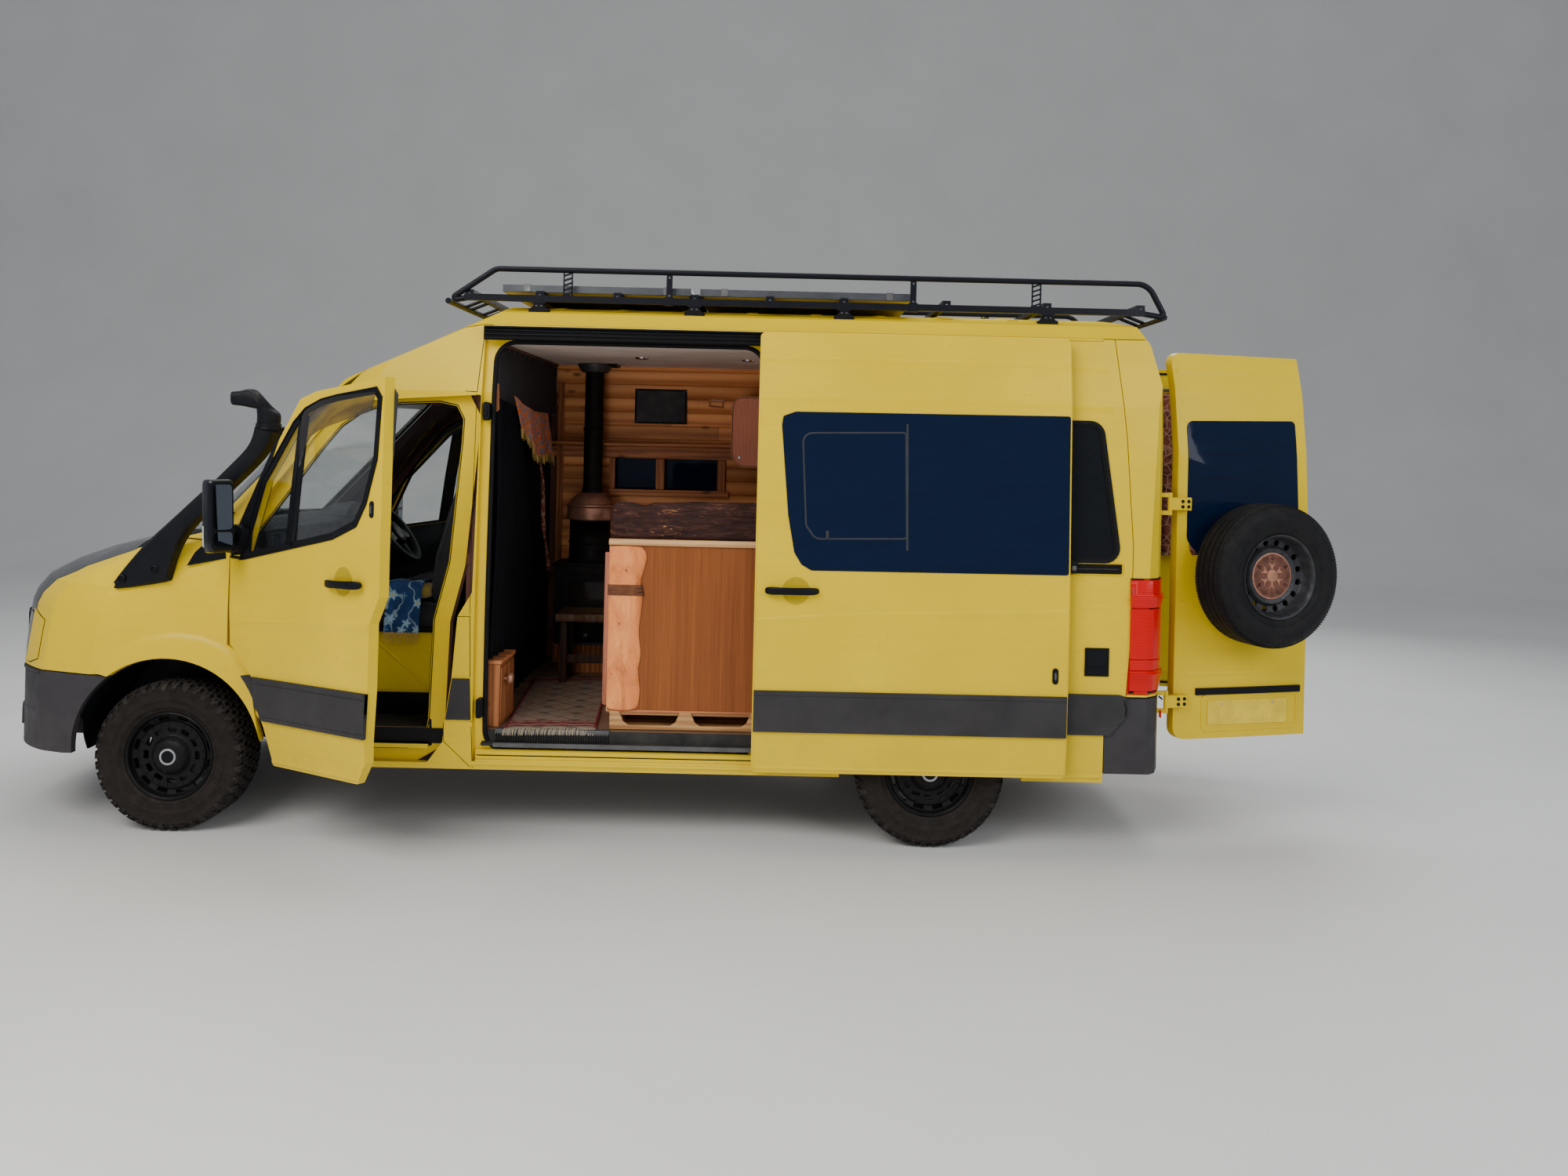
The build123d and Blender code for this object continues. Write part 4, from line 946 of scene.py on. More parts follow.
caliper.add(sector(150, 172, 0.2, 1.0, -36, 28))
caliper.add(sector(100, 152, 0.2, 1.0, -36, -19))
caliper.add(sector(100, 152, 0.25, 0.95, 14, 28))
caliper.add(lathe([(24, 0), (24, 26), (18, 32), (0, 32)], on_wheel(*polar(0.6, 128.0), -36), (0, 1, 0), 20, cap=False))


def wheel_copy(src, name, body, centre, turned, replaces=None):
    me = src.data.copy()
    a, b = Vector(row(WC)), Vector(row(centre))
    me.transform(Matrix.Translation(b) @ Matrix.Rotation(math.pi if turned else 0.0, 4, "Z") @ Matrix.Translation(-a))
    ob = bpy.data.objects.new(name, me)
    bpy.context.scene.collection.objects.link(ob)
    for md in src.modifiers:
        if md.type == "BEVEL":
            soften(ob, md.width * 1000.0, md.segments, math.degrees(md.angle_limit))
    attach(ob, body)
    if replaces:
        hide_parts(replaces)
    return ob


t0 = piece("front_left_tyre_tread", tyre_mesh, [TYREMAT, TREADMAT], "front_left_wheel", sharp=30, replaces="front_left_tyre")
r0 = piece("front_left_rim_disc", rim_mesh, RIMMAT, "front_left_wheel", replaces="front_left_rim")
carve(r0, cuts)
b0 = piece("front_left_rim_fittings", rim_bits, [RIMMAT, STEEL, BLACK], "front_left_wheel")
k0 = piece("front_left_brake_disc", brake, DULLSTEEL, "front_left_wheel")
c0 = piece("front_left_caliper", caliper, CAST, "left_knuckle", bevel=2.0)
for nm, cx, sd, kb in (("front_right", 0.0, 1, "right_knuckle"), ("rear_left", 3665.0, -1, "van_body"), ("rear_right", 3665.0, 1, "van_body")):
    cc = (cx, sd * 838.0, 361.0)
    wheel_copy(t0, nm + "_tyre_tread", nm + "_wheel", cc, sd > 0, nm + "_tyre")
    wheel_copy(r0, nm + "_rim_disc", nm + "_wheel", cc, sd > 0, nm + "_rim")
    wheel_copy(b0, nm + "_rim_fittings", nm + "_wheel", cc, sd > 0)
    wheel_copy(k0, nm + "_brake_disc", nm + "_wheel", cc, sd > 0)
    wheel_copy(c0, nm + "_caliper", kb, cc, sd > 0)

# ------------------------------------------------------------------ spare wheel on the back door
SC = (4991.5, -392.0, 1345.0)


def on_spare(g, r, t, side=0.0):
    a, b = polar(g, r, side)
    return BACK((SC[0] + t, SC[1] + a, SC[2] + b))


def spare_turn(profile, seg=96, ring=True):
    v, f = lathe(profile + ([profile[0]] if ring else []), SC, (1, 0, 0), seg, cap=False)
    return [BACK(p) for p in v], f


side_half = [(206, 90), (209, 99), (220, 106), (231, 109), (234, 112), (238, 112), (241, 110), (262, 115), (284, 117), (300, 116), (303, 117.5),
             (306, 115.5), (320, 110), (334, 100), (343, 88), (348, 72), (349.5, 62), (343, 60.5), (342.5, 54), (349.8, 52), (350, 25),
             (343, 23.5), (343, 16.5), (350, 15)]
spare = Mesh().add(spare_turn(side_half + [(r, -t) for r, t in side_half[::-1]] + [(199, -86), (199, 86)], 110))
for k in range(150):
    g = 2 * math.pi * k / 150
    for yc, w in ((88, 10), (-88, 10)):
        pts = [(-0.9, yc - w), (0.9, yc - w), (0.9, yc + w), (-0.9, yc + w)]
        rr = lambda t: 348.0 if abs(t) < 80 else 338.0
        spare.add(loft([[on_spare(g + u / 340.0, rr(t) - 2.0, t) for u, t in pts], [on_spare(g + u / 340.0, rr(t) + 3.0, t) for u, t in pts]]))
SPARE_TYREMAT = plain("spare_tyre_rubber", (0.006, 0.006, 0.0075), (0.011, 0.0105, 0.011), scale=18.0, rough=(0.5, 0.75), bump=(330.0, 0.3, 0.0007))
piece("spare_tyre_tread", spare, SPARE_TYREMAT, "left_rear_door", sharp=30, replaces="spare_tyre")
srim = Mesh().add(spare_turn([(0, 40), (112, 40), (122, 46), (134, 48), (142, 40), (149, 28), (176, 33), (185, 46), (189, 78), (193, 92), (199, 101),
                              (205, 103), (207, 98), (206, 91), (200, 84), (196, 0), (199, -84), (206, -92), (206, -99), (196, -98), (187, -80),
                              (184, 18), (175, 25), (150, 20), (130, 34), (0, 32)], 96, ring=False))
cuts = Mesh()
for k in range(16):
    g = 2 * math.pi * (k + 0.5) / 16
    cuts.add(loft([[on_spare(g, 163.0 + 15.0 * math.cos(u), t, 15.0 * math.sin(u)) for u in (2 * math.pi * j / 20 for j in range(20))] for t in (0.0, 70.0)]))
ob = piece("spare_steel_rim", srim, plain("spare_steel_paint", (0.035, 0.037, 0.042), (0.06, 0.06, 0.065), scale=24.0, rough=(0.35, 0.6),
           bump=(200.0, 0.3, 0.0006), metal=0.5), "left_rear_door", replaces="spare_rim_and_carrier")
carve(ob, cuts)
hub = Mesh()
hub.add(spare_turn([(0, 42.5), (110, 42.5), (113, 41), (113, 39), (0, 39)], 72, ring=False), 0)
hub.add(spare_turn([(0, 49), (26, 49), (31, 46), (32, 41)], 40, ring=False), 0)
for k in range(6):
    g = math.pi / 3 * k
    hub.add(loft([[on_spare(g + math.pi / 6, 66.0 + 11.0 * math.cos(u), t, 11.0 * math.sin(u)) for u in (2 * math.pi * j / 16 for j in range(16))] for t in (41.0, 44.6)]), 1)
    for (ca, ra), (cb, rb) in (((g, 0.0), (g, 106.0)), ((g, 106.0), (g + math.pi / 3, 106.0)), ((g, 106.0), (g + math.pi / 6, 61.2)),
                               ((g + math.pi / 3, 106.0), (g + math.pi / 6, 61.2)), ((g + math.pi / 6, 61.2), (g + math.pi / 6, 106.0))):
        p, q = Vector(polar(ca, ra)), Vector(polar(cb, rb))
        d, w = q - p, Vector((-(q - p).y, (q - p).x)).normalized()
        full = 15.0 if ra == 0.0 or rb == 106.0 and ca != cb else 9.0
        leaf = [p + d * t + w * (full * math.sin(math.pi * t)) for t in (j / 8 for j in range(9))] + \
               [p + d * t - w * (full * math.sin(math.pi * t)) for t in (1 - j / 8 for j in range(1, 8))]
        hub.add(loft([[BACK((SC[0] + t, SC[1] + v.x, SC[2] + v.y)) for v in leaf] for t in (42.0, 43.6)]), 1)
piece("spare_centre_disc", hub, [plain("disc_copper", (0.52, 0.25, 0.15), (0.30, 0.13, 0.09), scale=60.0, rough=(0.35, 0.55), bump=(260.0, 0.5, 0.0008), metal=0.2), plain("dark_copper", (0.20, 0.085, 0.055), (0.12, 0.05, 0.04), scale=40.0, rough=(0.4, 0.6), metal=0.2)], "left_rear_door")
carrier = Mesh()
for (y0, y1, z0, z1) in ((-640, -150, 1325, 1365), (-412, -372, 1100, 1590)):
    carrier.add(block(4822, 4862, y0, y1, z0, z1), 0, BACK)
carrier.add(lathe([(60, -150), (60, 30), (0, 30)], SC, (1, 0, 0), 32, cap=True), 0, BACK)
for y, z in ((-620, 1345), (-170, 1345), (-392, 1120), (-392, 1570)):
    carrier.add(screw((4862, y, z), (1, 0, 0), 11, 9, 6), 1, BACK)
piece("spare_carrier_frame", carrier, [RACK, STEEL], "left_rear_door", bevel=2.0)

# ------------------------------------------------------------------ snorkel
SNORKEL = plain("snorkel_moulding", (0.0055, 0.0062, 0.009), scale=9.0, rough=(0.38, 0.6), bump=(360.0, 0.25, 0.0007))
lower = [(-246, 1180), (-237, 1167), (-9, 1204), (19, 1234), (35, 1298), (66, 1392), (130, 1487), (300, 1663), (407, 1775), (470, 1862), (498, 1930)]
upper = [(-262, 1198), (-205, 1272), (-126, 1368), (-52, 1442), (23, 1512), (153, 1641), (216, 1700), (300, 1788), (358, 1852), (384, 1900), (394, 1950)]
# stations along the duct: foremost edge, rearmost edge, how far it stands off the body
stand = [3, 20, 44, 58, 66, 70, 72, 74, 80, 88, 92]
sections = []
for i, ((lx, lz), (ux, uz), h) in enumerate(zip(lower, upper, stand)):
    yb = -(section_y(0.5 * (lz + uz)) + 1.0) if i < 5 else -(965.0 - (i - 5) * 6.0)
    ring = []
    for t, o in ((0.0, 0.0), (0.02, 0.55), (0.10, 0.9), (0.28, 1.0), (0.72, 1.0), (0.90, 0.9), (0.98, 0.55), (1.0, 0.0)):
        ring.append((ux + (lx - ux) * t, yb - h * o, uz + (lz - uz) * t))
    ring += [(ux + (lx - ux) * t, yb + (4 if i < 5 else 2), uz + (lz - uz) * t) for t in (0.72, 0.28)]
    sections.append(ring)
duct = Mesh()


def resample(sections, n):
    """Catmull-Rom between the stations."""
    out = []
    m = len(sections)
    for i in range(m - 1):
        p0, p1, p2, p3 = (sections[max(0, i - 1)], sections[i], sections[i + 1], sections[min(m - 1, i + 2)])
        for k in range(n):
            t = k / n
            out.append([tuple(0.5 * (2 * b + (c - a) * t + (2 * a - 5 * b + 4 * c - d) * t * t + (3 * b - a - 3 * c + d) * t ** 3)
                              for a, b, c, d in zip(q0, q1, q2, q3)) for q0, q1, q2, q3 in zip(p0, p1, p2, p3)])
    out.append(sections[-1])
    return out


duct.add(loft(resample(sections, 3)), 0)
# neck collar and clamp
duct.add(lathe([(48, 0), (58, 2), (60, 10), (58, 46), (52, 50)], (446, -958, 1925), (0.02, 0, 1), 36), 0)
duct.add(lathe([(61, 12), (62.5, 14), (62.5, 26), (61, 28)], (446, -958, 1925), (0.02, 0, 1), 36, cap=False), 1)
duct.add(block(500, 520, -966, -950, 1939, 1953), 1)
# ram head: round neck opening out into a forward-facing mouth
head_rings = []
for (cx, cz, rx, ry, tilt) in ((447, 1972, 54, 50, 0), (448, 2010, 55, 52, -8), (440, 2050, 60, 56, -26), (414, 2080, 60, 58, -52), (370, 2090, 48, 60, -76),
                               (325, 2090, 37, 60, -84), (286, 2090, 33, 58, -88)):
    a = math.radians(tilt)
    ring = []
    for k in range(28):
        g = 2 * math.pi * k / 28
        c, s = math.cos(g), math.sin(g)
        p = 2.0 / (2.0 if tilt > -40 else 3.6)
        ex, ey = math.copysign(abs(c) ** p, c), math.copysign(abs(s) ** p, s)
        ring.append((cx + ex * rx * math.cos(a), -958 + ey * ry, cz + ex * rx * math.sin(-a) * -1.0))
    head_rings.append(ring)
duct.add(loft(resample(head_rings, 3), cap=False), 0)
inner = [[(p[0], -958 + (p[1] + 958) * 0.9, cz + (p[2] - cz) * 0.86) for p in head_rings[-1 - k]] for k, cz in ((0, 2090), (1, 2090), (2, 2090))]
duct.add(loft([head_rings[-1]] + inner, cap=False), 0)
duct.add(loft([inner[-1], [(p[0] + 2, -958 + (p[1] + 958) * 0.02, 2090 + (p[2] - 2090) * 0.02) for p in inner[-1]]], cap=False), 0)
for k in range(4):
    z = 2066 + k * 16
    duct.add(block(288, 296, -1008, -908, z - 2.5, z + 2.5), 0)
for x, z in ((-211, 1219), (-49, 1270)):
    duct.add(lathe([(19, -34), (19, 0), (15, 3), (11, 3), (11, -2), (0, -2)], (x, -1018 if x < -100 else -1034, z), (0, -1, 0), 24, cap=False), 1)
duct.add(block(395, 430, -930, -880, 1860, 1884), 1)
duct.add(screw((412, -932, 1872), (0, -1, 0), 8, 5, 6), 1)
piece("snorkel_duct", duct, [SNORKEL, BLACK], "van_body", bevel=3.0, limit=50, replaces="snorkel")

# ------------------------------------------------------------------ body, doors: outside trim
DOORLINING = plain("doorway_lining", (0.045, 0.020, 0.017), (0.075, 0.034, 0.028), scale=5.0, rough=(0.7, 0.85), bump=(900.0, 0.3, 0.0006))
SEAM = plain("seam_shadow", (0.006, 0.006, 0.005), scale=8.0, rough=(0.7, 0.9), bump=(200.0, 0.1, 0.0004))
STRIP = plain("rub_strip", (0.030, 0.029, 0.032), scale=4.0, rough=(0.5, 0.68), bump=(520.0, 0.25, 0.0006), dust=((0.09, 0.08, 0.07), 0.3, 0.3, 1.0))
RUBBERSEAL = RUBBER
CAB_DOOR = [(293, 915), (293, 1395), (655, 1905), (745, 2012), (840, 2064), (960, 2092), (1452, 2128), (1440, 1190), (1374, 1074),
            (1352, 786), (1325, 588), (1312, 470), (1240, 372), (606, 372), (552, 578), (468, 776), (350, 880)]
CAB_WINDOW = [(400, 1335), (560, 1690), (800, 1950), (885, 2008), (1000, 2042), (1118, 2056), (1392, 2075), (1422, 2040), (1400, 1781),
              (1331, 1594), (1268, 1502), (1102, 1445)]
SLIDE_WINDOW = [(1734, 1336), (1686, 1363), (1651, 1419), (1618, 1595), (1579, 2023), (1585, 2066), (1643, 2088), (2955, 2095), (2955, 1340)]


def mirror_lift(lift):
    return lambda a, b, o: (lambda p: (p[0], -p[1], p[2]))(lift(a, b, o))


def line(path, lift, w=4.0, h=0.8, step=60.0, closed=False):
    return along(fine(path, step, closed), lift, [(-w / 2, -1.0), (w / 2, -1.0), (w / 2, h), (-w / 2, h)], closed)


def slab(outline, lift, out, lip=5.0, rise=0.0):
    """A rub strip: a plate standing off the surface, its face crowned by rise."""
    return patch(outline, lift, -1.0, out, step=60.0, rows=6, crown=rise)


def handle(lift, x0, x1, z, flip=False):
    L = x1 - x0
    rings = []
    for t, half, out, thick in ((0.0, 9, 16, 6), (0.03, 15, 20, 12), (0.10, 18, 26, 16), (0.25, 18, 38, 15), (0.5, 17, 44, 14), (0.72, 18, 42, 15),
                                (0.86, 20, 34, 18), (0.97, 17, 24, 14), (1.0, 10, 18, 6)):
        tt = 1.0 - t if flip else t
        ring = []
        for k in range(12):
            g = 2 * math.pi * k / 12
            c, s = math.cos(g), math.sin(g)
            ring.append(lift(x0 + L * tt, z + half * math.copysign(abs(c) ** 0.6, c), out + thick * 0.5 * math.copysign(abs(s) ** 0.6, s)))
        rings.append(ring)
    m = Mesh().add(loft(rings), 0)
    for t in (0.07, 0.90):
        tt = 1.0 - t if flip else t
        xx = x0 + L * tt
        m.add(loft([[lift(xx + u * 14, z + w * 12, o) for u, w in ((-1, -1), (1, -1), (1, 1), (-1, 1))] for o in (-1, 24)]), 0)
    return m


def dish(lift, x, z, r):
    """Hand recess behind a handle, drawn as a shallow ring round a low floor; the darker paint it gets is painted
    shade.
    """
    rings = []
    for rr, o in ((r + 5, 0.15), (r + 1, 1.8), (r - 3, 1.2), (r - 8, 0.5), (r * 0.4, 0.4), (0.5, 0.4)):
        rings.append([lift(x + rr * math.cos(g), z + rr * math.sin(g), o) for g in (2 * math.pi * k / 40 for k in range(40))])
    return loft(rings, cap=False)


def capsule(lift, x, z, hw, hh, out):
    o = rounded([(-hw, -hh), (hw, -hh), (hw, hh), (-hw, hh)], hw * 0.98, 6)
    rings = [[lift(x + a * k, z + b * (1 - (1 - k) * hw / hh), oo) for a, b in o] for k, oo in ((1.0, -1.0), (1.0, out * 0.7), (0.82, out), (0.5, out))]
    return loft(rings)


# darker yellow for the hand recesses: painted shade in the dish
RECESS_SHADE_PAINT = paint("recess_painted_shade", shade(YELLOW_COL, 0.62), 0.3)

for side, body_side, lift, cablift, knuck in ((-1, "left", on_left, on_cab, "left"), (1, "right", on_right, None, "right")):
    cabl = on_cab if side < 0 else on_right
    B = "van_body"
    # arch flare with a crease, and its lip turned in
    inner, outer = [], []
    for k in range(25):
        g = math.radians(127.0 - (127.0 - 10.0) * k / 24)
        inner.append((458.0 * math.cos(g), 385.0 + 458.0 * math.sin(g)))
    crease = fine([(-352, 768), (-300, 832), (-215, 893), (-110, 941), (37, 964), (160, 949), (262, 912), (318, 868), (370, 805), (400, 757)], 30)
    outer = [crease[int(round(k * (len(crease) - 1) / 24))] for k in range(25)]
    outer = []
    total = len(crease) - 1
    for k in range(25):
        q = total * k / 24
        i = min(int(q), total - 1)
        outer.append(tuple(Vector(crease[i]) + (Vector(crease[i + 1]) - Vector(crease[i])) * (q - i)))
    fl = Mesh()
    rings = []
    for (ix, iz), (ox, oz) in zip(inner, outer):
        ring = []
        for t, o in ((1.04, -1.0), (1.0, 0.6), (0.93, 9.0), (0.80, 14.0), (0.45, 17.0), (0.10, 21.0), (0.0, 21.0), (-0.035, 12.0), (-0.035, -32.0), (0.04, -34.0), (0.5, -4.0)):
            ring.append(lift(ix + (ox - ix) * t, iz + (oz - iz) * t, o))
        rings.append(ring)
    fl.add(loft(rings))
    piece(body_side + "_front_arch_flare", fl, YELLOW, B, sharp=32)
    # dark trim on the wing's tail, and the step of the bumper
    tr = Mesh().add(slab([(262, 771), (462, 771), (512, 662), (552, 582), (450, 582), (412, 640), (362, 700), (318, 742)], lift, 15.0))
    piece(body_side + "_wing_tail_trim", tr, STRIP, B, bevel=3.5)
    # cab door: strip, window surround, mirror foot, handle, lock
    cab = body_side + "_cab_door"
    st = Mesh().add(slab([(474, 776), (1357, 776), (1334, 580), (556, 580)], cabl, 14.0, rise=2.0))
    st.add(ridge([(488, 750), (1352, 750)], cabl, 8, 17.5, 10), 0)
    st.add(ridge([(552, 600), (1336, 600)], cabl, 8, 16.5, 10), 0)
    piece(cab + "_rub_strip", st, STRIP, cab, bevel=3.5)
    w = Mesh()
    w.add(band(CAB_WINDOW, cabl, -16, 14, -8, 2.5, step=40), 0)
    w.add(band(CAB_WINDOW, cabl, 10, 15, 0, 6, step=40), 0)
    w.add(patch([(303, 1338), (303, 1395), (430, 1575), (655, 1880), (705, 1940), (585, 1715), (500, 1560), (470, 1450), (462, 1350)], cabl, -7, 3.2, step=30), 0)
    w.add(along([(781, 1398), (820, 1690), (868, 1990)], cabl, [(-36, -9), (36, -9), (36, -1), (31, 2.5), (-31, 2.5), (-36, -1)]), 0)
    w.add(along([(781, 1398), (820, 1690), (868, 1990)], cabl, [(-4, 0), (4, 0), (4, 4), (-4, 4)]), 0)
    w.add(ridge([(300, 1332), (400, 1326), (1102, 1436), (1268, 1492)], cabl, 16, 6, 0), 0)
    piece(cab + "_window_surround", w, BLACK, cab, bevel=1.2)
    vis = Mesh().add(patch([(893, 1752), (925, 1832), (975, 1890), (1060, 1922), (1150, 1940), (1388, 1985), (1400, 2068), (1118, 2062), (1000, 2046),
                            (905, 2012), (888, 1980)], lambda a, b, o: cabl(a, b, o + 7 + 26 * max(0.0, min(1.0, (2045 - b) / 130.0))), 0.0, 3.0, step=30, rows=8))
    piece(cab + "_wind_deflector", vis, SMOKE, cab)
    piece(cab + "_handle", handle(cabl, 1079, 1343, 1240), BLACK, cab, subdiv=1)
    # the recess in the darker paint: painted shade
    piece(cab + "_handle_recess", Mesh().add(dish(cabl, 1188, 1249, 60)), RECESS_SHADE_PAINT, cab)
    lk = Mesh().add(capsule(cabl, 1381, 1564, 13, 36, 7), 0).add(capsule(cabl, 1381, 1564, 5, 18, 9), 1)
    piece(cab + "_lock_cap", lk, [BLACK, DULLSTEEL], cab)
    ed = Mesh()
    ed.add(ridge([(330, 1012), (760, 1034), (1368, 1062)], cabl, 46, 4.5, -1, lean=-0.6), 0)
    ed.add(ridge([(600, 360 + 30), (1236, 390)], cabl, 20, 3.0, -1), 0)
    piece(cab + "_creases", ed, YELLOW, cab, sharp=20)
    # lining of the door
    inn = [(400, 940), (400, 1250), (1310, 1290), (1262, 1080), (1240, 800), (1210, 560), (1180, 500), (690, 500), (620, 700), (560, 800)]
    cd = Mesh().add(patch(inn, cabl, -51.0, -60.0, step=60), 0)
    cd.add(patch([(560, 1010), (560, 1060), (1180, 1090), (1180, 1030)], cabl, -60, -92, step=60, rows=3), 0)
    cd.add(patch([(650, 540), (600, 640), (1180, 640), (1180, 540)], cabl, -60, -108, step=60, rows=3), 0)
    cd.add(capsule(lambda a, b, o: cabl(a, b, -60 - o), 1190, 1180, 16, 40, 12), 0)
    piece(cab + "_lining", cd, DASH, cab, bevel=5.0)
    # mirror: case, arm, glass, lamp
    mm = Mesh()
    ml = (lambda p: CAB(p)) if side < 0 else (lambda p: (p[0], -p[1], p[2]))
    base = rounded([(368, -1171), (440, -1171), (453, -1158), (453, -1058), (444, -1050), (380, -1050), (362, -1074)], [34, 14, 9, 9, 9, 24, 26], 5)
    cx, cy = 410.0, -1110.0
    rings = []
    for z, k in ((1364, 0.74), (1369, 0.88), (1384, 0.97), (1420, 1.0), (1640, 1.0), (1680, 0.985), (1696, 0.93), (1703, 0.80)):
        rings.append([ml((cx + (x - cx) * k, cy + (y - cy) * k, z)) for x, y in base])
    mm.add(loft(rings), 0)
    mm.add(loft([[ml((x, y, z)) for y, z in rounded([(-1164, 1376), (-1056, 1376), (-1056, 1690), (-1164, 1690)], 22, 5)] for x in (448, 457)]), 1)
    for z0, z1 in ((1470, 1678), (1388, 1458)):
        mm.add(loft([[ml((x, y, z)) for y, z in rounded([(-1156, z0), (-1064, z0), (-1064, z1), (-1156, z1)], 16, 5)] for x in (455, 458.5)]), 2)
    mm.add(loft([[ml((cx + (x - cx) * k, cy + (y - cy) * k, z)) for x, y in base if x < 404 and y < -1104] +
                 [ml((cx + (x - cx) * 0.9, cy + (y - cy) * 0.9, z)) for x, y in base[::-1] if x < 404 and y < -1104]
                 for z, k in ((1392, 1.012), (1400, 1.03), (1470, 1.03), (1488, 1.012))]), 3)
    arm = [(1388, 56, 22), (1402, 60, 30), (1440, 60, 30), (1452, 54, 22)]
    mm.add(loft([[ml((x, y, z)) for x, z in rounded([(338, 1392), (400, 1392), (408, 1450), (346, 1450)], 14, 4)] for y in (-1076, -1030, -1004)]), 1)
    mm.add(loft([[ml((x, y, z)) for x, z in rounded([(318, 1350), (432, 1366), (470, 1470), (400, 1492), (330, 1440)], 22, 4)] for y in (-1022, -982)]), 1)
    # the mirror glass is a dark silver: painted dark reflection
    piece(body_side + "_mirror_case", mm, [GLOSSBLACK, BLACK, plain("mirror_painted_dark_reflection", (0.16, 0.18, 0.21), scale=2.0, rough=(0.02, 0.04), bump=(2.0, 0.01, 0.0005), metal=1.0),
          plain("indicator_lens", (0.72, 0.70, 0.66), scale=30.0, rough=(0.08, 0.15), bump=(160.0, 0.5, 0.001), coat=1.0)], cab, bevel=2.0,
          replaces=body_side + "_mirror")
    # flange and seal inside the cab doorway, behind the shut door
    way = [(1056, 2088), (1250, 2099), (1335, 2082), (1369, 2018), (1365, 1907), (1321, 1322), (1256, 1048), (1241, 567), (1224, 476), (1135, 422),
           (640, 422), (590, 560), (520, 780), (400, 905), (350, 965), (350, 1380), (690, 1862), (780, 1975), (870, 2040), (950, 2070)]
    wy = Mesh().add(band(way, lift, -3, 78, -62, -54, step=50), 0)
    piece(body_side + "_cab_doorway_flange", wy, YELLOW, B)
    sl = Mesh().add(along(fine(way, 45, True), lift, [(2 + 11 * math.cos(g), -63 + 10 * math.sin(g)) for g in (2 * math.pi * k / 8 for k in range(8))], True), 0)
    piece(body_side + "_cab_doorway_seal", sl, RUBBER, B)
    piece(body_side + "_cab_doorway_lining", Mesh().add(band(way, lift, 14, 90, -78, -65, step=50), 0), DOORLINING, B)
    # rub strips of the body side, cut by the rear arch
    bs = Mesh().add(slab([(1365, 775), (1447, 775), (1455, 579), (1337, 579), (1355, 700)], lift, 14.0), 0)
    if side < 0:
        bs.add(slab([(2976, 571), (2976, 766), (3432, 766), (3392, 735), (3330, 680), (3268, 571)], lift, 13.0), 0)
    else:
        bs.add(slab([(1462, 571), (1462, 766), (3432, 766), (3392, 735), (3330, 680), (3268, 571)], lift, 13.0), 0)
    bs.add(slab([(3898, 766), (3938, 735), (4000, 680), (4062, 571), (4516, 571), (4526, 585), (4594, 661), (4590, 758), (4560, 766)], lift, 13.0), 0)
    piece(body_side + "_rub_strips", bs, STRIP, B, bevel=3.5)
    # rear arch lip, creases, seams of the side
    al = Mesh()
    arcp = [(3665 + 447 * math.cos(math.radians(a)), 385 + 447 * math.sin(math.radians(a))) for a in range(176, 3, -6)]
    al.add(along(arcp, lift, [(-14, -22), (8, -22), (16, -2), (14, 6), (2, 9), (-8, 8), (-14, 2)]), 0)
    for z, x0, x1 in ((1178, 2976 if side < 0 else 1470, 4520), (2135, 2976 if side < 0 else 1470, 4510), (2322, 2976 if side < 0 else 1470, 4490)):
        al.add(ridge([(x0, z), (x1, z)], lift, 30, 3.5, -1, lean=-0.5), 0)
    for x0, x1 in ((1458, 3212), (4118, 4480)):
        al.add(ridge([(x0, 362), (x1, 362)], lift, 26, 5.0, -1), 0)
    piece(body_side + "_arch_lip_and_creases", al, YELLOW, B, sharp=18)
    ln = Mesh()
    ln.add(line([(1384, 2152), (1441, 2149)], lift, 3.5), 0)
    ln.add(line([(1441, 2149), (1446, 2250), (1462, 2470)], lift, 3.5), 0)
    ln.add(line([(1353, 1070), (1441, 1072), (1448, 782)], lift, 3.0), 0)
    ln.add(line([(1440, 1080), (1436, 1560), (1440, 2140)], lift, 2.5), 0)
    ln.add(line([(1325, 560), (1325, 470), (1452, 345)], lift, 2.5), 0)
    ln.add(line([(1457, 575), (1462, 340)], lift, 3.0), 0)
    ln.add(line([(4580, 742), (4592, 700), (4588, 664)], lift, 4.0, 15.0), 0)
    if side > 0:
        for x in (2360, 2972):
            ln.add(line([(x, 780), (x + 2, 2135)], lift, 2.5), 0)
        ln.add(line([(2972, 340), (2972, 565)], lift, 2.5), 0)
    piece(body_side + "_panel_lines", ln, SEAM, B)
    # A pillar foot trim
    at = Mesh().add(patch([(84, 1284), (120, 1349), (172, 1400), (252, 1402), (262, 1400), (268, 1322)], lift, -1, 5.0, step=25), 0)
    piece(body_side + "_pillar_foot_trim", at, BLACK, B, bevel=2.0)
    # fuel cap or inlet cover and small marker lamp
    if side < 0:
        inl = Mesh().add(patch([(4390, 853), (4390, 989), (4506, 989), (4506, 853)], lift, -1, 7, step=30), 0)
        inl.add(patch([(4400, 863), (4400, 979), (4496, 979), (4496, 863)], lift, 6, 10, step=30), 0)
        inl.add(line([(4404, 900), (4492, 900)], lift, 3, 12), 0)
        piece("hook_up_inlet", inl, BLACK, B, bevel=3.0)
    rp = Mesh()
    rp.add(slab([(-236, 1020), (-236, 1062), (-150, 1062), (-150, 1020)], lift, 6.0), 0)
    if side > 0:
        piece("right_side_repeater", rp, LAMPCLEAR, B, bevel=3.0)

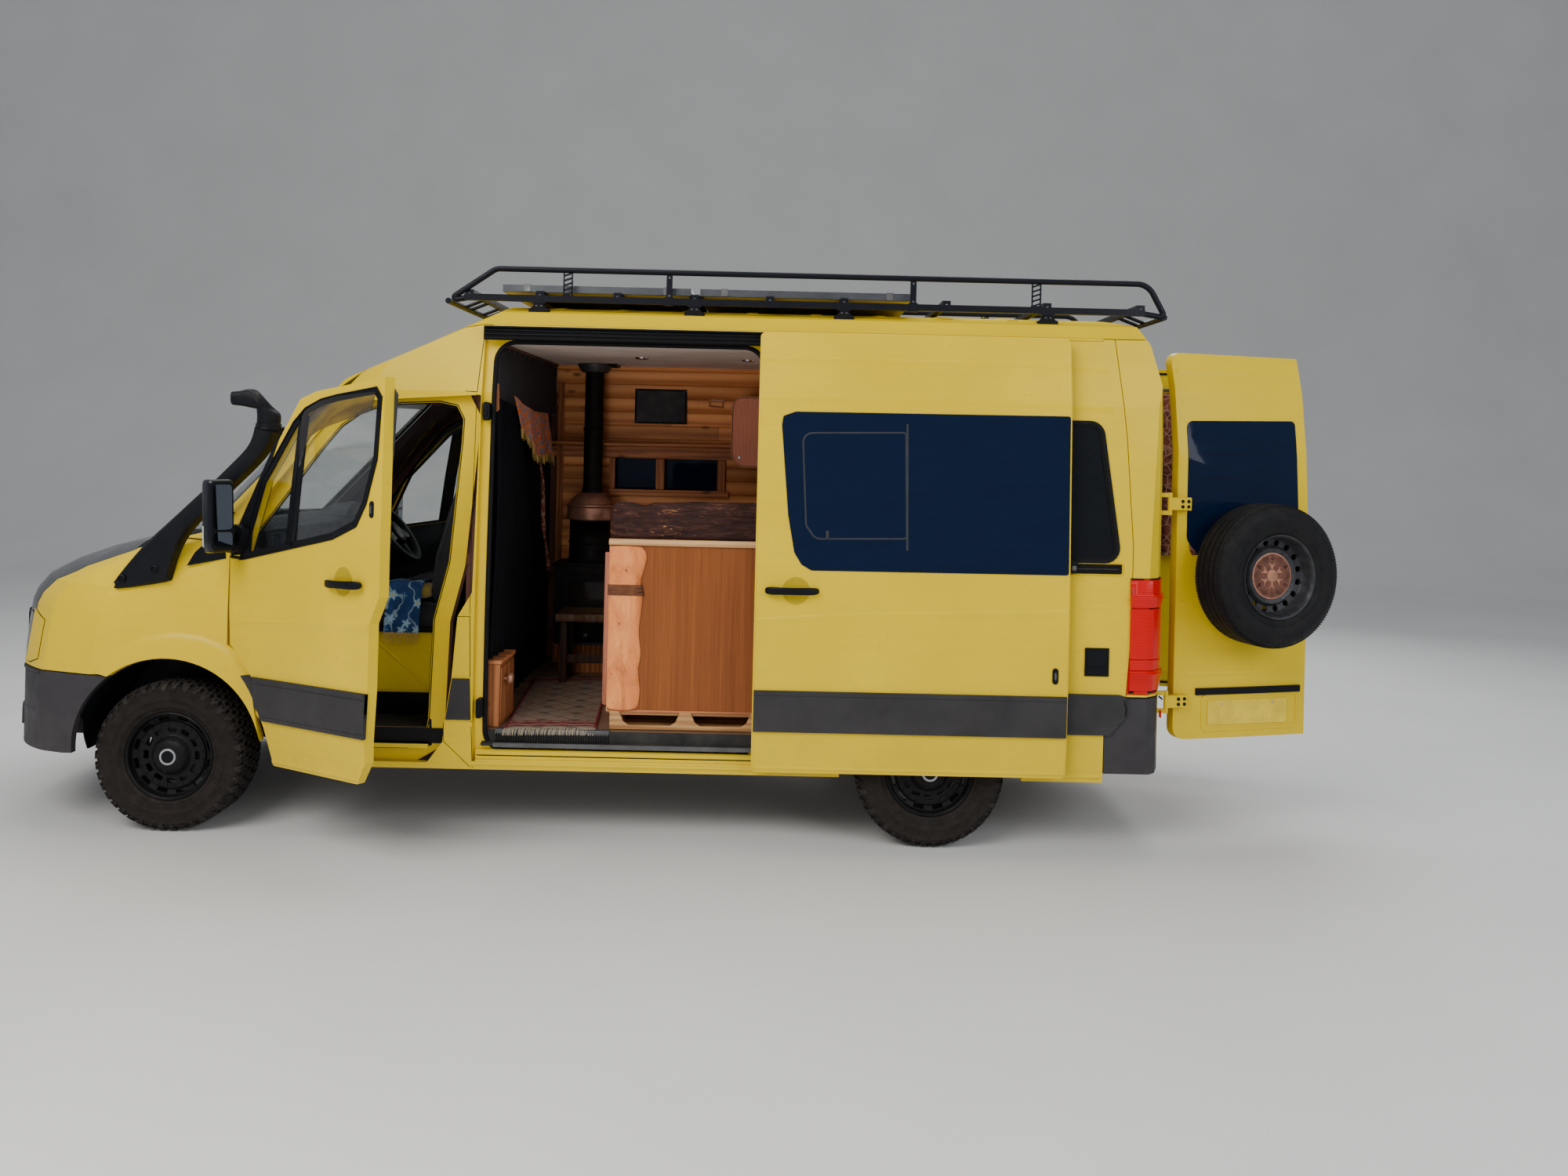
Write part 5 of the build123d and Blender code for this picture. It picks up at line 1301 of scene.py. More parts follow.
# side windows' rubbers
q = [(3060, 1408), (4546, 1408), (4453, 2065), (3060, 2065)]
m = Mesh()
m.add(band(rounded(q, 60, 6), on_left, -14, 12, -8, 2.5, step=80), 0)
m.add(band(rounded(q, 60, 6), on_left, -5, 14, 0, 7.5, step=80), 0)
piece("left_quarter_window_rubber", m, RUBBER, "van_body", bevel=2.0)
m = Mesh()
m.add(band(rounded([(1852, 1606), (2572, 1606), (2572, 1863), (1852, 1863)], 30, 5), on_right, -10, 14, -8, 5, step=80), 0)
m.add(along([(2212, 1606), (2212, 1863)], on_right, [(-14, -8), (14, -8), (14, 3), (-14, 3)]), 0)
piece("right_window_rubber", m, RUBBER, "van_body", bevel=2.0)

# track of the sliding door along the quarter, with its carriage
m = Mesh()
m.add(patch([(2976, 1343), (2976, 1390), (4562, 1390), (4562, 1343)], on_left, -1.0, 1.2, step=100, rows=2), 0)
m.add(ridge([(2976, 1396), (4556, 1396), (4568, 1388), (4568, 1346), (4556, 1338), (2976, 1338)], on_left, 10, 6, -1), 1)
m.add(ridge([(2976, 1366), (4545, 1366)], on_left, 8, 9, -1), 2)
piece("middle_slide_track", m, [SEAM, YELLOW, DULLSTEEL], "van_body")
m = Mesh()
m.add(loft([[on_left(a, b, o) for a, b in rounded([(4236, 1346), (4342, 1346), (4342, 1402), (4290, 1414), (4236, 1402)], 10, 3)] for o in (12, 40)]), 0)
m.add(loft([[on_left(a, b, o) for a, b in ((4200, 1356), (4290, 1356), (4290, 1384), (4200, 1384))] for o in (36, 46)]), 0)
for x in (4262, 4320):
    m.add(lathe([(13, 0), (13, 10), (9, 12), (0, 12)], on_left(x, 1372, 40), (0, -1, 0), 16, cap=False), 1)
piece("slide_track_carriage", m, [BLACK, DULLSTEEL], "van_body", bevel=2.0)
m = Mesh()
x0, x1 = 1470, 2960
m.add(block(1462, 2966, -936, -914, 2404, 2464), 0)
for z in (2412, 2431, 2450):
    m.add(block(1466, 2962, -944, -934, z - 3, z + 3), 1)
m.add(block(1466, 2962, -952, -930, 2462, 2470), 1)
piece("upper_slide_track", m, [SEAM, RACK], "van_body", bevel=1.5)
m = Mesh()
m.add(prism([(-952, 376), (-956, 382), (-956, 396), (-952, 400), (-952, 404), (-956, 408), (-955, 420), (-946, 430), (-912, 432), (-912, 376)], "yz", 1475, 2955), 0)
m.add(prism([(-962, 370), (-966, 374), (-964, 384), (-950, 386), (-950, 370)], "yz", 1475, 2955), 0)
m.add(block(1480, 2950, -953.6, -950, 399.5, 404.5), 1)
piece("lower_slide_track", m, [YELLOW, SEAM], "van_body", bevel=1.0)

# rubber round the side doorway and its buffers
SW = [(1517, 425), (2817, 425), (2817, 2396), (1517, 2396)]
m = Mesh()
m.add(along(fine(rounded(SW, 95, 8), 80, True), lambda a, b, o: (a, -(section_y(b) - 36 + o), b),
            [(4 + 12 * math.cos(g), -4 + 13 * math.sin(g)) for g in (2 * math.pi * k / 8 for k in range(8))], True), 0)
piece("side_doorway_seal", m, RUBBER, "van_body")
m = Mesh()
for z0, z1, x in ((2008, 2106, 1487), (582, 684, 1494)):
    o = rounded([(x - 15, z0), (x + 17, z0 + 8), (x + 17, z1 - 8), (x - 15, z1)], 12, 4)
    m.add(loft([[(a, -(section_y(b) - 40), b) for a, b in o], [(a, -(section_y(b) + 8), b) for a, b in o]]), 0)
    m.add(loft([[(a, -(section_y(b) + 6), b) for a, b in rounded([(x - 5, z0 + 24), (x + 8, z0 + 24), (x + 8, z1 - 24), (x - 5, z1 - 24)], 5, 3)],
                [(a, -(section_y(b) + 14), b) for a, b in rounded([(x - 5, z0 + 24), (x + 8, z0 + 24), (x + 8, z1 - 24), (x - 5, z1 - 24)], 5, 3)]]), 0)
piece("side_doorway_buffers", m, BLACK, "van_body", bevel=2.0)

# ------------------------------------------------------------------ sliding door, slid back
m = Mesh()
m.add(patch(rounded(SLIDE_WINDOW, [30, 20, 20, 60, 20, 25, 30, 12, 12], 5), on_slide, -3.0, 3.0, step=120, rows=10), 0)
sl = [(1679, 1987), (2171, 1999), (2183, 1496), (1750, 1486), (1704, 1548)]
m.add(line(rounded(sl, [45, 14, 14, 50, 40], 5), on_slide, 8, 4.2, 80, True), 1)
m.add(along([(2186, 1440), (2176, 2040)], on_slide, [(-5, 2), (5, 2), (5, 4.6), (-5, 4.6)]), 1)
m.add(capsule(lambda a, b, o: on_slide(a, b, o + 3), 1806, 1506, 8, 22, 6), 1)
piece("sliding_door_flush_glass", m, [DARKGLASS, plain("slider_frame", (0.035, 0.037, 0.045), scale=9.0, rough=(0.3, 0.4), bump=(200.0, 0.1, 0.0004))],
      "van_body", replaces="sliding_door_glass")
m = Mesh().add(slab([(1474, 571), (1474, 766), (2956, 766), (2956, 571)], on_slide, 14.0, rise=1.5), 0)
m.add(ridge([(1476, 744), (2954, 744)], on_slide, 8, 17.0, 10), 0)
piece("sliding_door_rub_strip", m, STRIP, "van_body", bevel=3.5)
m = Mesh()
m.add(ridge([(1476, 1089), (1900, 1121), (2956, 1157)], on_slide, 40, 4.0, -1, lean=-0.5), 0)
for z, h in ((2147, 3.0), (2336, 4.0)):
    m.add(ridge([(1474, z), (2956, z)], on_slide, 30, h, -1, lean=-0.6), 0)
m.add(ridge([(1478, 392), (2952, 392)], on_slide, 22, 3.0, -1), 0)
for x in (1474, 2956):
    m.add(ridge([(x, 384), (x, 2456)], on_slide, 8, 2.5, -1), 0)
piece("sliding_door_creases", m, YELLOW, "van_body", sharp=18)
piece("sliding_door_handle", handle(on_slide, 1516, 1773, 1240, True), BLACK, "van_body", subdiv=1)
# the recess in the darker paint: painted shade
m = Mesh().add(dish(on_slide, 1663, 1239, 61))
piece("sliding_door_handle_recess", m, RECESS_SHADE_PAINT, "van_body")
m = Mesh().add(capsule(on_slide, 2900, 862, 14, 38, 7), 0).add(capsule(on_slide, 2900, 862, 5, 18, 9), 1)
piece("sliding_door_lock_cap", m, [BLACK, DULLSTEEL], "van_body")
m = Mesh()
SP = [(1476, 380), (2954, 380), (2954, 2460), (1476, 2460)]
m.add(along(fine(rounded(SP, 25, 4), 90, True), on_slide, [(-16, -36), (-4, -36), (-4, -46), (-16, -46)], True), 1)
m.add(patch([(1560, 470), (1560, 1260), (2880, 1260), (2880, 470)], on_slide, -35, -44, step=120), 0)
m.add(patch([(1540, 2110), (1540, 2400), (2880, 2400), (2880, 2110)], on_slide, -35, -42, step=120), 0)
for z in (420, 1366, 2420):
    m.add(loft([[on_slide(a, b, o) for a, b in ((1480, z - 18), (1600, z - 18), (1600, z + 18), (1480, z + 18))] for o in (-36, -62)]), 2)
piece("sliding_door_inside", m, [PINE, RUBBER, DULLSTEEL], "van_body", bevel=2.0)

# ------------------------------------------------------------------ back doors
for side, body, lift, solid in ((-1, "left_rear_door", on_back, BACK), (1, "right_rear_door", on_rback, RBACK)):
    S = lambda pts: [(p[0] * (1 if side < 0 else -1), p[1]) for p in pts][::(1 if side < 0 else -1)]
    gl = S([(-716, 1500), (-716, 2096), (-64, 2112), (-64, 1383), (-600, 1383)])
    gl = rounded(gl, [60, 40, 24, 24, 90] if side < 0 else [90, 24, 24, 40, 60], 6)
    m = Mesh().add(patch(gl, lift, -4.0, 2.6, step=60, rows=8), 0)
    for k in range(9):
        z = 1500 + k * 62
        m.add(line(S([(-660, z), (-120, z + 2)]), lift, 1.2, 3.0), 1)
    piece(body + "_flush_glass", m, [DARKGLASS, SEAM], body, replaces=body + "_glass")
    m = Mesh()
    for z, h in ((2345, 4.0), (1187, 5.0)):
        m.add(ridge(S([(-744, z), (-30, z + 2)]), lift, 34, h, -1, lean=-0.5), 0)
    m.add(ridge(S([(-706, 832), (-30, 832)]), lift, 26, 3.0, -1), 0)
    m.add(band(rounded(S([(-600, 560), (-600, 716), (-60, 716), (-60, 560)]), 18, 4), lift, 0, 14, -1, 4.0), 0)
    piece(body + "_creases", m, YELLOW, body, sharp=18)
    m = Mesh().add(slab(S([(-649, 729), (-649, 763), (-40, 763), (-40, 729)]), lift, 13.0), 0)
    if side < 0:
        m.add(capsule(lift, -60, 1290, 24, 70, 8), 0)
    else:
        m.add(handle(lift, 30, 230, 1150), 0)
        m.add(capsule(lift, 60, 1290, 12, 32, 7), 0)
    m.add(band(rounded(S([(-762, 520), (-762, 2432), (-10, 2432), (-10, 520)]), 50, 5), lift, -24, -12, -60, -50, step=90), 1)
    piece(body + "_trim", m, [BLACK, RUBBER], body, bevel=2.5)
    if side < 0:
        m = Mesh().add(patch(rounded(S([(-579, 576), (-579, 700), (-116, 700), (-116, 576)]), 8, 3), lift, 1, 5.0, step=120), 0)
        for y in (-500, -200):
            m.add(screw(lift(y, 682, 5), Vector(BACK((1, 0, 0))) - Vector(BACK((0, 0, 0))), 6, 3, 10), 1)
        piece("blank_number_plate", m, [plain("plate_yellow", (0.70, 0.50, 0.03), scale=12.0, rough=(0.25, 0.4), bump=(700.0, 0.15, 0.0004), coat=0.4), STEEL], body, bevel=1.0)
    m = Mesh()
    for z0, z1 in ((676, 740), (1650, 1714)):
        zm = 0.5 * (z0 + z1)
        for s2 in (solid,):
            yy = side * 838.0
            m.add(block(4836, 4842, min(yy, yy - side * 118), max(yy, yy - side * 118), z0 + 3, z1 - 3), 0, s2)
            for dy in (66, 100):
                m.add(screw((4842, yy - side * dy, zm - 13 if dy == 66 else zm + 13), (1, 0, 0), 9, 6, 10), 1, s2)
                m.add(screw((4842, yy - side * dy, zm + 13 if dy == 66 else zm - 13), (1, 0, 0), 9, 6, 10), 1, s2)
    piece(body + "_hinge_leaves", m, [YELLOW, SEAM], body, bevel=1.2)
    # inner face: board and frame
    m = Mesh().add(patch(rounded(S([(-690, 600), (-690, 1340), (-70, 1340), (-70, 600)]), 40, 5), lift, -49, -60, step=90), 0)
    m.add(patch(rounded(S([(-690, 2140), (-690, 2380), (-70, 2380), (-70, 2140)]), 30, 5), lift, -49, -58, step=90), 0)
    m.add(band(rounded(S([(-704, 1396), (-704, 2094), (-106, 2094), (-106, 1396)]), 60, 5), lift, -2, 26, -60, -49), 1)
    m.add(tube([lift(side * 34.0, z, -66) for z in range(560, 2400, 40)], 6.0, 10), 2)
    for z in (620, 1350, 2330):
        m.add(tube([lift(side * y, z, -62) for y in (14, 34, 54)], [9.0, 12.0, 9.0], 10), 2)
    piece(body + "_inside", m, [LINER if side < 0 else YELLOW, RUBBER, STEEL], body, bevel=2.0)
m = Mesh()
for side in (-1, 1):
    for z0, z1 in ((676, 740), (1650, 1714)):
        for za, zb in ((z0 - 22, z0 - 1), (z1 + 1, z1 + 22)):
            y = side * 838.0
            m.add(lathe([(0, zb - za + 2), (9, zb - za + 1.5), (11.5, zb - za), (11.5, 0), (9, -1.5), (0, -2)], (4832, y, za), (0, 0, 1), 20, cap=False), 0)
            m.add(block(4752, 4800, *sorted((y - side * 1, y + side * 9)), za + 2, zb - 2), 0)
piece("rear_hinge_knuckles", m, YELLOW, "van_body", bevel=1.0)

# tail lamps: stepped lens over a dark base
for side, nm in ((-1, "left"), (1, "right")):
    lf = on_left if side < 0 else on_right
    m = Mesh()

    def corner(s, z, o):
        """s runs from the side (0) round the corner to the back (1)."""
        pts = [(4604.0, side_y(4604, z)), (4700.0, side_y(4700, z)), (4752.0, side_y(4752, z)), (4790.0, side_y(4790, z))]
        q = s * 3.0
        i = min(2, int(q))
        a, b = Vector(pts[i]), Vector(pts[i + 1])
        p = a + (b - a) * (q - i)
        d = (b - a).normalized()
        nrm = Vector((-d.y, d.x)) if i >= 0 else None
        if nrm.y < 0:
            nrm = -nrm
        return (p.x + nrm.x * o, side * (p.y + nrm.y * o), z)
    segs = [(786, 850, 13, 22, 0.0, 1.0), (850, 872, 22, 34, 0.0, 1.0), (872, 884, 30, 16, 0.0, 1.0), (886, 935, 16, 18, 0.0, 1.0), (939, 1180, 18, 18, 0.0, 1.0),
            (1186, 1240, 20, 36, 0.0, 1.0), (1240, 1252, 34, 17, 0.0, 1.0), (1252, 1318, 17, 15, 0.0, 1.0)]
    for z0, z1, o0, o1, s0, s1 in segs:
        rings = []
        for z, o in ((z0, o0), (z1, o1)):
            top = [corner(s0 + (s1 - s0) * k / 9, z, o * (0.55 + 0.45 * math.sin(math.pi * min(1.0, (k + 1.5) / 9)))) for k in range(10)]
            low = [corner(s0 + (s1 - s0) * k / 9, z, 1.0) for k in range(9, -1, -1)]
            rings.append(top + low)
        m.add(loft(rings), 0)
    m.add(loft([[corner(k / 9, z, 2.2) for k in range(10)] + [corner(k / 9, z, -1) for k in range(9, -1, -1)] for z in (774, 1326)]), 1)
    piece(nm + "_tail_lamp_lens", m, [RED_LENS_PAINTED_GLOW, SEAM], "van_body", bevel=2.0)

# ------------------------------------------------------------------ cabin: materials
def boards_of(name, k):
    a, b, c = (0.42, 0.135, 0.042), (0.68, 0.260, 0.085), (0.82, 0.370, 0.135)
    return wood(name, [shade(a, k), shade(b, k), shade(c, k)], 0, 7.0, knots=True, bump=0.25, coat=0.25)


BOARDS = [boards_of("pine_board_" + t, k) for t, k in (("dark", 0.78), ("mid", 0.95), ("warm", 1.1), ("pale", 1.28))]
TIMBER = wood("window_timber", [(0.26, 0.085, 0.030), (0.42, 0.150, 0.055), (0.56, 0.22, 0.085)], 0, 18.0, knots=True, coat=0.2)
TIMBERUP = wood("upright_timber", [(0.22, 0.070, 0.022), (0.35, 0.120, 0.040), (0.46, 0.175, 0.064)], 2, 18.0, knots=True, coat=0.2)
EDGEPINE = wood("pale_edge_pine", [(0.42, 0.21, 0.08), (0.58, 0.33, 0.14), (0.70, 0.45, 0.22)], 0, 20.0, coat=0.2)
SHELFPINE = wood("shelf_pine", [(0.30, 0.14, 0.05), (0.44, 0.23, 0.085), (0.57, 0.33, 0.14)], 0, 17.0, knots=True, coat=0.2)

n = Nodes("reeded_laminate")
_c = n.xyz()
_st = n.noise(1.0, 6.0, 0.7, n.scaled((260.0, 30.0, 2.2)))
_wide = n.noise(1.0, 4.0, 0.6, n.scaled((26.0, 6.0, 1.1)))
_lines = n.add("ShaderNodeTexWave", {"Vector": n.co, "Scale": 62.0, "Distortion": 0.25, "Detail": 2.0}, bands_direction="X").outputs["Fac"]
_base = n.ramp(n.math("ADD", n.math("MULTIPLY", _st, 0.6), n.math("MULTIPLY", _wide, 0.4)),
               [(0.28, (0.14, 0.036, 0.006)), (0.48, (0.235, 0.066, 0.012)), (0.72, (0.35, 0.108, 0.022))])
_base = n.mix(n.span(_lines, 0.0, 0.35, 0.45, 0.0), _base, (0.12, 0.034, 0.008))
n.set(Base_Color=_base, Roughness=n.span(_st, 0.2, 0.8, 0.34, 0.5), Normal=n.bump(_lines, 0.25, 0.0008))
n.b.inputs["Specular IOR Level"].default_value = 0.25
n.b.inputs["Coat Weight"].default_value = 0.04
REEDED = n.mat

n = Nodes("live_edge_timber")
_g = n.noise(1.0, 7.0, 0.68, n.scaled((9.0, 9.0, 3.2)), 1.4)
_sp = n.noise(34.0, 4.0, 0.6)
_big = n.noise(6.0, 3.0, 0.5)
_base = n.ramp(_g, [(0.22, (0.32, 0.080, 0.018)), (0.42, (0.66, 0.20, 0.052)), (0.62, (0.86, 0.31, 0.088)), (0.85, (0.92, 0.43, 0.15))])
_base = n.mix(n.span(_big, 0.52, 0.7, 0.0, 0.55), _base, (0.72, 0.20, 0.07))
_base = n.mix(n.span(_sp, 0.66, 0.74, 0.0, 0.85), _base, (0.07, 0.03, 0.015))
n.set(Base_Color=_base, Roughness=n.span(_g, 0.3, 0.8, 0.3, 0.48), Normal=n.bump(n.math("ADD", _g, _sp), 0.4, 0.002))
n.b.inputs["Specular IOR Level"].default_value = 0.25
n.b.inputs["Coat Weight"].default_value = 0.08
n.b.inputs["Coat Roughness"].default_value = 0.25
LIVEEDGE = n.mat

n = Nodes("bark_face")
_g = n.noise(1.0, 8.0, 0.72, n.scaled((7.0, 20.0, 46.0)), 0.9)
_v = n.noise(1.0, 5.0, 0.6, n.scaled((11.0, 30.0, 95.0)), 1.5)
_pt = n.noise(5.5, 3.0, 0.5)
_base = n.ramp(_g, [(0.28, (0.008, 0.003, 0.003)), (0.5, (0.030, 0.010, 0.008)), (0.66, (0.075, 0.027, 0.018)), (0.85, (0.14, 0.052, 0.030))])
_base = n.mix(n.math("MULTIPLY", n.span(_v, 0.62, 0.70, 0.0, 1.0), n.span(_pt, 0.42, 0.62, 0.0, 1.0)), _base, (0.50, 0.21, 0.08))
n.set(Base_Color=_base, Roughness=n.span(_g, 0.3, 0.8, 0.42, 0.75), Normal=n.bump(n.math("ADD", _g, _v), 0.9, 0.006))
n.b.inputs["Specular IOR Level"].default_value = 0.2
BARK = n.mat

HIDE = plain("wrapped_hide", (0.10, 0.036, 0.018), (0.17, 0.065, 0.03), scale=26.0, rough=(0.45, 0.65), bump=(90.0, 0.5, 0.001))
CUPLAM = wood("cupboard_laminate", [(0.52, 0.165, 0.095), (0.66, 0.230, 0.140), (0.76, 0.30, 0.185)], 2, 60.0, bump=0.08, coat=0.3)
EDGING = plain("pale_edging", (0.52, 0.30, 0.16), (0.62, 0.38, 0.22), scale=20.0, rough=(0.4, 0.6), bump=(300.0, 0.1, 0.0004))
STOVEIRON = plain("stove_iron", (0.010, 0.010, 0.011), (0.022, 0.019, 0.017), scale=12.0, rough=(0.42, 0.7), bump=(160.0, 0.35, 0.001), metal=0.5)
STOVEGLASS = glass("stove_glass", (0.012, 0.010, 0.009), 0.06, clear=False)
SLATE = plain("hearth_slate", (0.035, 0.036, 0.04), (0.06, 0.06, 0.062), scale=9.0, rough=(0.5, 0.75), bump=(60.0, 0.5, 0.0015))
FELT = cloth("divider_felt", (0.022, 0.022, 0.025), (0.034, 0.033, 0.036), weave=900.0, sheen=0.03)
CURTAINMAT = cloth("curtain_cloth", (0.0030, 0.0031, 0.0045), (0.0052, 0.0052, 0.0072), weave=1100.0, rough=0.9, sheen=0.0, bump=0.35)
CHROME = plain("bright_chrome", (0.75, 0.75, 0.77), scale=5.0, rough=(0.08, 0.2), bump=(60.0, 0.03, 0.0004), metal=1.0)
WARMWHITE = plain("spot_lens", (0.8, 0.74, 0.62), scale=30.0, rough=(0.2, 0.35), bump=(400.0, 0.3, 0.0006))
RIBRUBBER = plain("ribbed_rubber", (0.018, 0.018, 0.019), (0.04, 0.037, 0.033), scale=9.0, rough=(0.6, 0.8), bump=(300.0, 0.3, 0.0006))
CABLINER = plain("cab_pillar_lining", (0.10, 0.042, 0.032), (0.14, 0.062, 0.046), scale=5.0, rough=(0.7, 0.85), bump=(900.0, 0.3, 0.0006))
SEATDARK = cloth("seat_cloth_dark", (0.016, 0.017, 0.020), (0.030, 0.030, 0.034), weave=800.0, sheen=0.06)
SEATCENTRE = cloth("seat_cloth_centre", (0.035, 0.038, 0.045), (0.055, 0.056, 0.062), weave=500.0, sheen=0.06)
FRINGEMAT = plain("fringe_yarn", (0.52, 0.42, 0.28), (0.64, 0.54, 0.38), scale=60.0, rough=(0.85, 0.95), bump=(900.0, 0.5, 0.0006))
GOLDFRINGE = plain("gold_yarn", (0.50, 0.30, 0.06), (0.62, 0.42, 0.13), scale=60.0, rough=(0.8, 0.95), bump=(900.0, 0.5, 0.0006))
STRAPMAT = cloth("strap_webbing", (0.45, 0.33, 0.05), (0.55, 0.42, 0.09), weave=1500.0, sheen=0.2)


def uv_nodes(name):
    """Nodes laid out on the cloth itself: u across and v along, in metres."""
    m = Nodes(name)
    m.co = m.add("ShaderNodeUVMap", uv_map="cloth").outputs["UV"]
    return m


def weave_bump(m, k=900.0, s=0.3):
    a = m.add("ShaderNodeTexWave", {"Vector": m.co, "Scale": k / 6.28, "Distortion": 0.4}, bands_direction="X").outputs["Fac"]
    b = m.add("ShaderNodeTexWave", {"Vector": m.co, "Scale": k / 6.28, "Distortion": 0.4}, bands_direction="Y").outputs["Fac"]
    return m.bump(m.math("MULTIPLY", a, b), s, 0.0006)


def triangle(m, val, period):
    """0 at each whole period and 1 half way between."""
    return m.math("PINGPONG", m.math("DIVIDE", val, period * 0.5), 1.0)


def step(m, val, edge, soft=0.002):
    return m.span(val, edge - soft, edge + soft, 0.0, 1.0)


def inside(m, val, a, b, soft=0.002):
    return m.math("MULTIPLY", step(m, val, a, soft), m.math("SUBTRACT", 1.0, step(m, val, b, soft)))


# rug: beige ground, a small lattice, dark red end bands with a zigzag and a row of diamonds
n = uv_nodes("woven_rug")
_u, _v, _ = n.xyz()
_e = n.math("MINIMUM", _v, n.math("SUBTRACT", 1.33, _v))
_tu = triangle(n, _u, 0.11)
_fib = n.noise(1.0, 5.0, 0.7, n.scaled((420.0, 60.0, 1.0)))
_mot = n.noise(26.0, 3.0, 0.6)
_gr = n.ramp(_mot, [(0.3, (0.20, 0.15, 0.105)), (0.55, (0.29, 0.225, 0.16)), (0.8, (0.38, 0.31, 0.22))])
_lat = n.math("ABSOLUTE", n.math("SUBTRACT", triangle(n, _u, 0.16), triangle(n, _v, 0.16)))
_gr = n.mix(n.math("MULTIPLY", n.math("SUBTRACT", 1.0, step(n, _lat, 0.11, 0.02)), 0.75), _gr, (0.24, 0.07, 0.055))
_lat2 = n.math("ADD", triangle(n, _u, 0.16), triangle(n, _v, 0.16))
_gr = n.mix(n.math("MULTIPLY", n.math("SUBTRACT", 1.0, step(n, _lat2, 0.38, 0.03)), 0.8), _gr, (0.09, 0.075, 0.07))
_red = n.ramp(_mot, [(0.3, (0.17, 0.008, 0.014)), (0.8, (0.30, 0.016, 0.026))])
_zig = n.math("ABSOLUTE", n.math("SUBTRACT", n.math("SUBTRACT", _e, 0.052), n.math("MULTIPLY", _tu, 0.022)))
_bandcol = n.mix(n.math("SUBTRACT", 1.0, step(n, _zig, 0.006, 0.0015)), _red, (0.50, 0.42, 0.32))
_dia = n.math("ADD", n.math("MULTIPLY", triangle(n, n.math("ADD", _u, 0.03), 0.06), 0.02), n.math("ABSOLUTE", n.math("SUBTRACT", _e, 0.125)))
_base = n.mix(inside(n, _e, 0.030, 0.105), _gr, _bandcol)
_base = n.mix(inside(n, _e, 0.104, 0.110), _base, _red)
_base = n.mix(inside(n, _e, 0.140, 0.150), _base, _red)
_base = n.mix(n.math("MULTIPLY", n.math("SUBTRACT", 1.0, step(n, _dia, 0.011, 0.001)), inside(n, _e, 0.11, 0.14)), _base, (0.30, 0.05, 0.045))
_side = n.math("MINIMUM", _u, n.math("SUBTRACT", 0.44, _u))
_base = n.mix(n.math("SUBTRACT", 1.0, step(n, _side, 0.013)), _base, _red)
_base = n.mix(n.span(_fib, 0.3, 0.7, 0.5, 0.0), _base, (0.03, 0.02, 0.015))
n.set(Base_Color=_base, Roughness=0.93, Normal=n.bump(_fib, 0.7, 0.0015))
n.b.inputs["Sheen Weight"].default_value = 0.03
n.b.inputs["Specular IOR Level"].default_value = 0.15
RUGMAT = n.mat

# orange hanging: small round rosettes between curling bands, a common woven pattern
n = uv_nodes("orange_hanging_cloth")
_u, _v, _ = n.xyz()
_w = n.noise(9.0, 3.0, 0.5)
_vor = n.add("ShaderNodeTexVoronoi", {"Vector": n.co, "Scale": 26.0}, feature="F1").outputs["Distance"]
_cur = n.add("ShaderNodeTexWave", {"Vector": n.co, "Scale": 9.0, "Distortion": 9.0, "Detail": 2.0, "Detail Scale": 1.6}, bands_direction="DIAGONAL").outputs["Fac"]
_fine = n.add("ShaderNodeTexVoronoi", {"Vector": n.co, "Scale": 90.0}, feature="DISTANCE_TO_EDGE").outputs["Distance"]
_base = n.ramp(_cur, [(0.0, (0.78, 0.16, 0.015)), (0.42, (0.86, 0.22, 0.02)), (0.5, (0.12, 0.05, 0.06)), (0.6, (0.44, 0.38, 0.40)), (1.0, (0.22, 0.13, 0.15))])
_base = n.mix(n.math("SUBTRACT", 1.0, step(n, _vor, 0.20, 0.02)), _base, (0.07, 0.03, 0.035))
_base = n.mix(n.math("SUBTRACT", 1.0, step(n, _vor, 0.13, 0.02)), _base, (0.88, 0.30, 0.04))
_base = n.mix(n.math("SUBTRACT", 1.0, step(n, _fine, 0.06, 0.02)), _base, (0.055, 0.03, 0.04))
n.set(Base_Color=_base, Roughness=0.86, Normal=weave_bump(n))
n.b.inputs["Sheen Weight"].default_value = 0.03
n.b.inputs["Specular IOR Level"].default_value = 0.15
ORANGECLOTH = n.mat

# blue throw: simple five-petalled flowers and leaf shapes scattered on dark blue
n = uv_nodes("blue_flowered_throw")
_vd = n.add("ShaderNodeTexVoronoi", {"Vector": n.co, "Scale": 15.0, "Randomness": 0.7}, feature="F1")
_d = _vd.outputs["Distance"]
_pos = n.add("ShaderNodeVectorMath", {0: n.scaled((15.0, 15.0, 0.0)), 1: _vd.outputs["Position"]}, operation="SUBTRACT").outputs[0]
_px, _py, _ = n.xyz(n.add("ShaderNodeVectorMath", {0: n.add("ShaderNodeVectorMath", {0: n.co, 1: _vd.outputs["Position"]}, operation="SUBTRACT").outputs[0], "Scale": 15.0}, operation="SCALE").outputs[0])
_ang = n.math("ARCTAN2", _py, _px)
_pet = n.math("ADD", 0.26, n.math("MULTIPLY", n.math("COSINE", n.math("MULTIPLY", _ang, 5.0)), 0.09))
_flower = n.math("SUBTRACT", 1.0, step(n, n.math("SUBTRACT", _d, _pet), 0.0, 0.012))
_ring = n.math("SUBTRACT", 1.0, step(n, n.math("ABSOLUTE", n.math("SUBTRACT", n.math("SUBTRACT", _d, _pet), 0.05)), 0.02, 0.01))
_vine = n.math("ABSOLUTE", n.math("SUBTRACT", n.noise(7.0, 2.0, 0.5), 0.5))
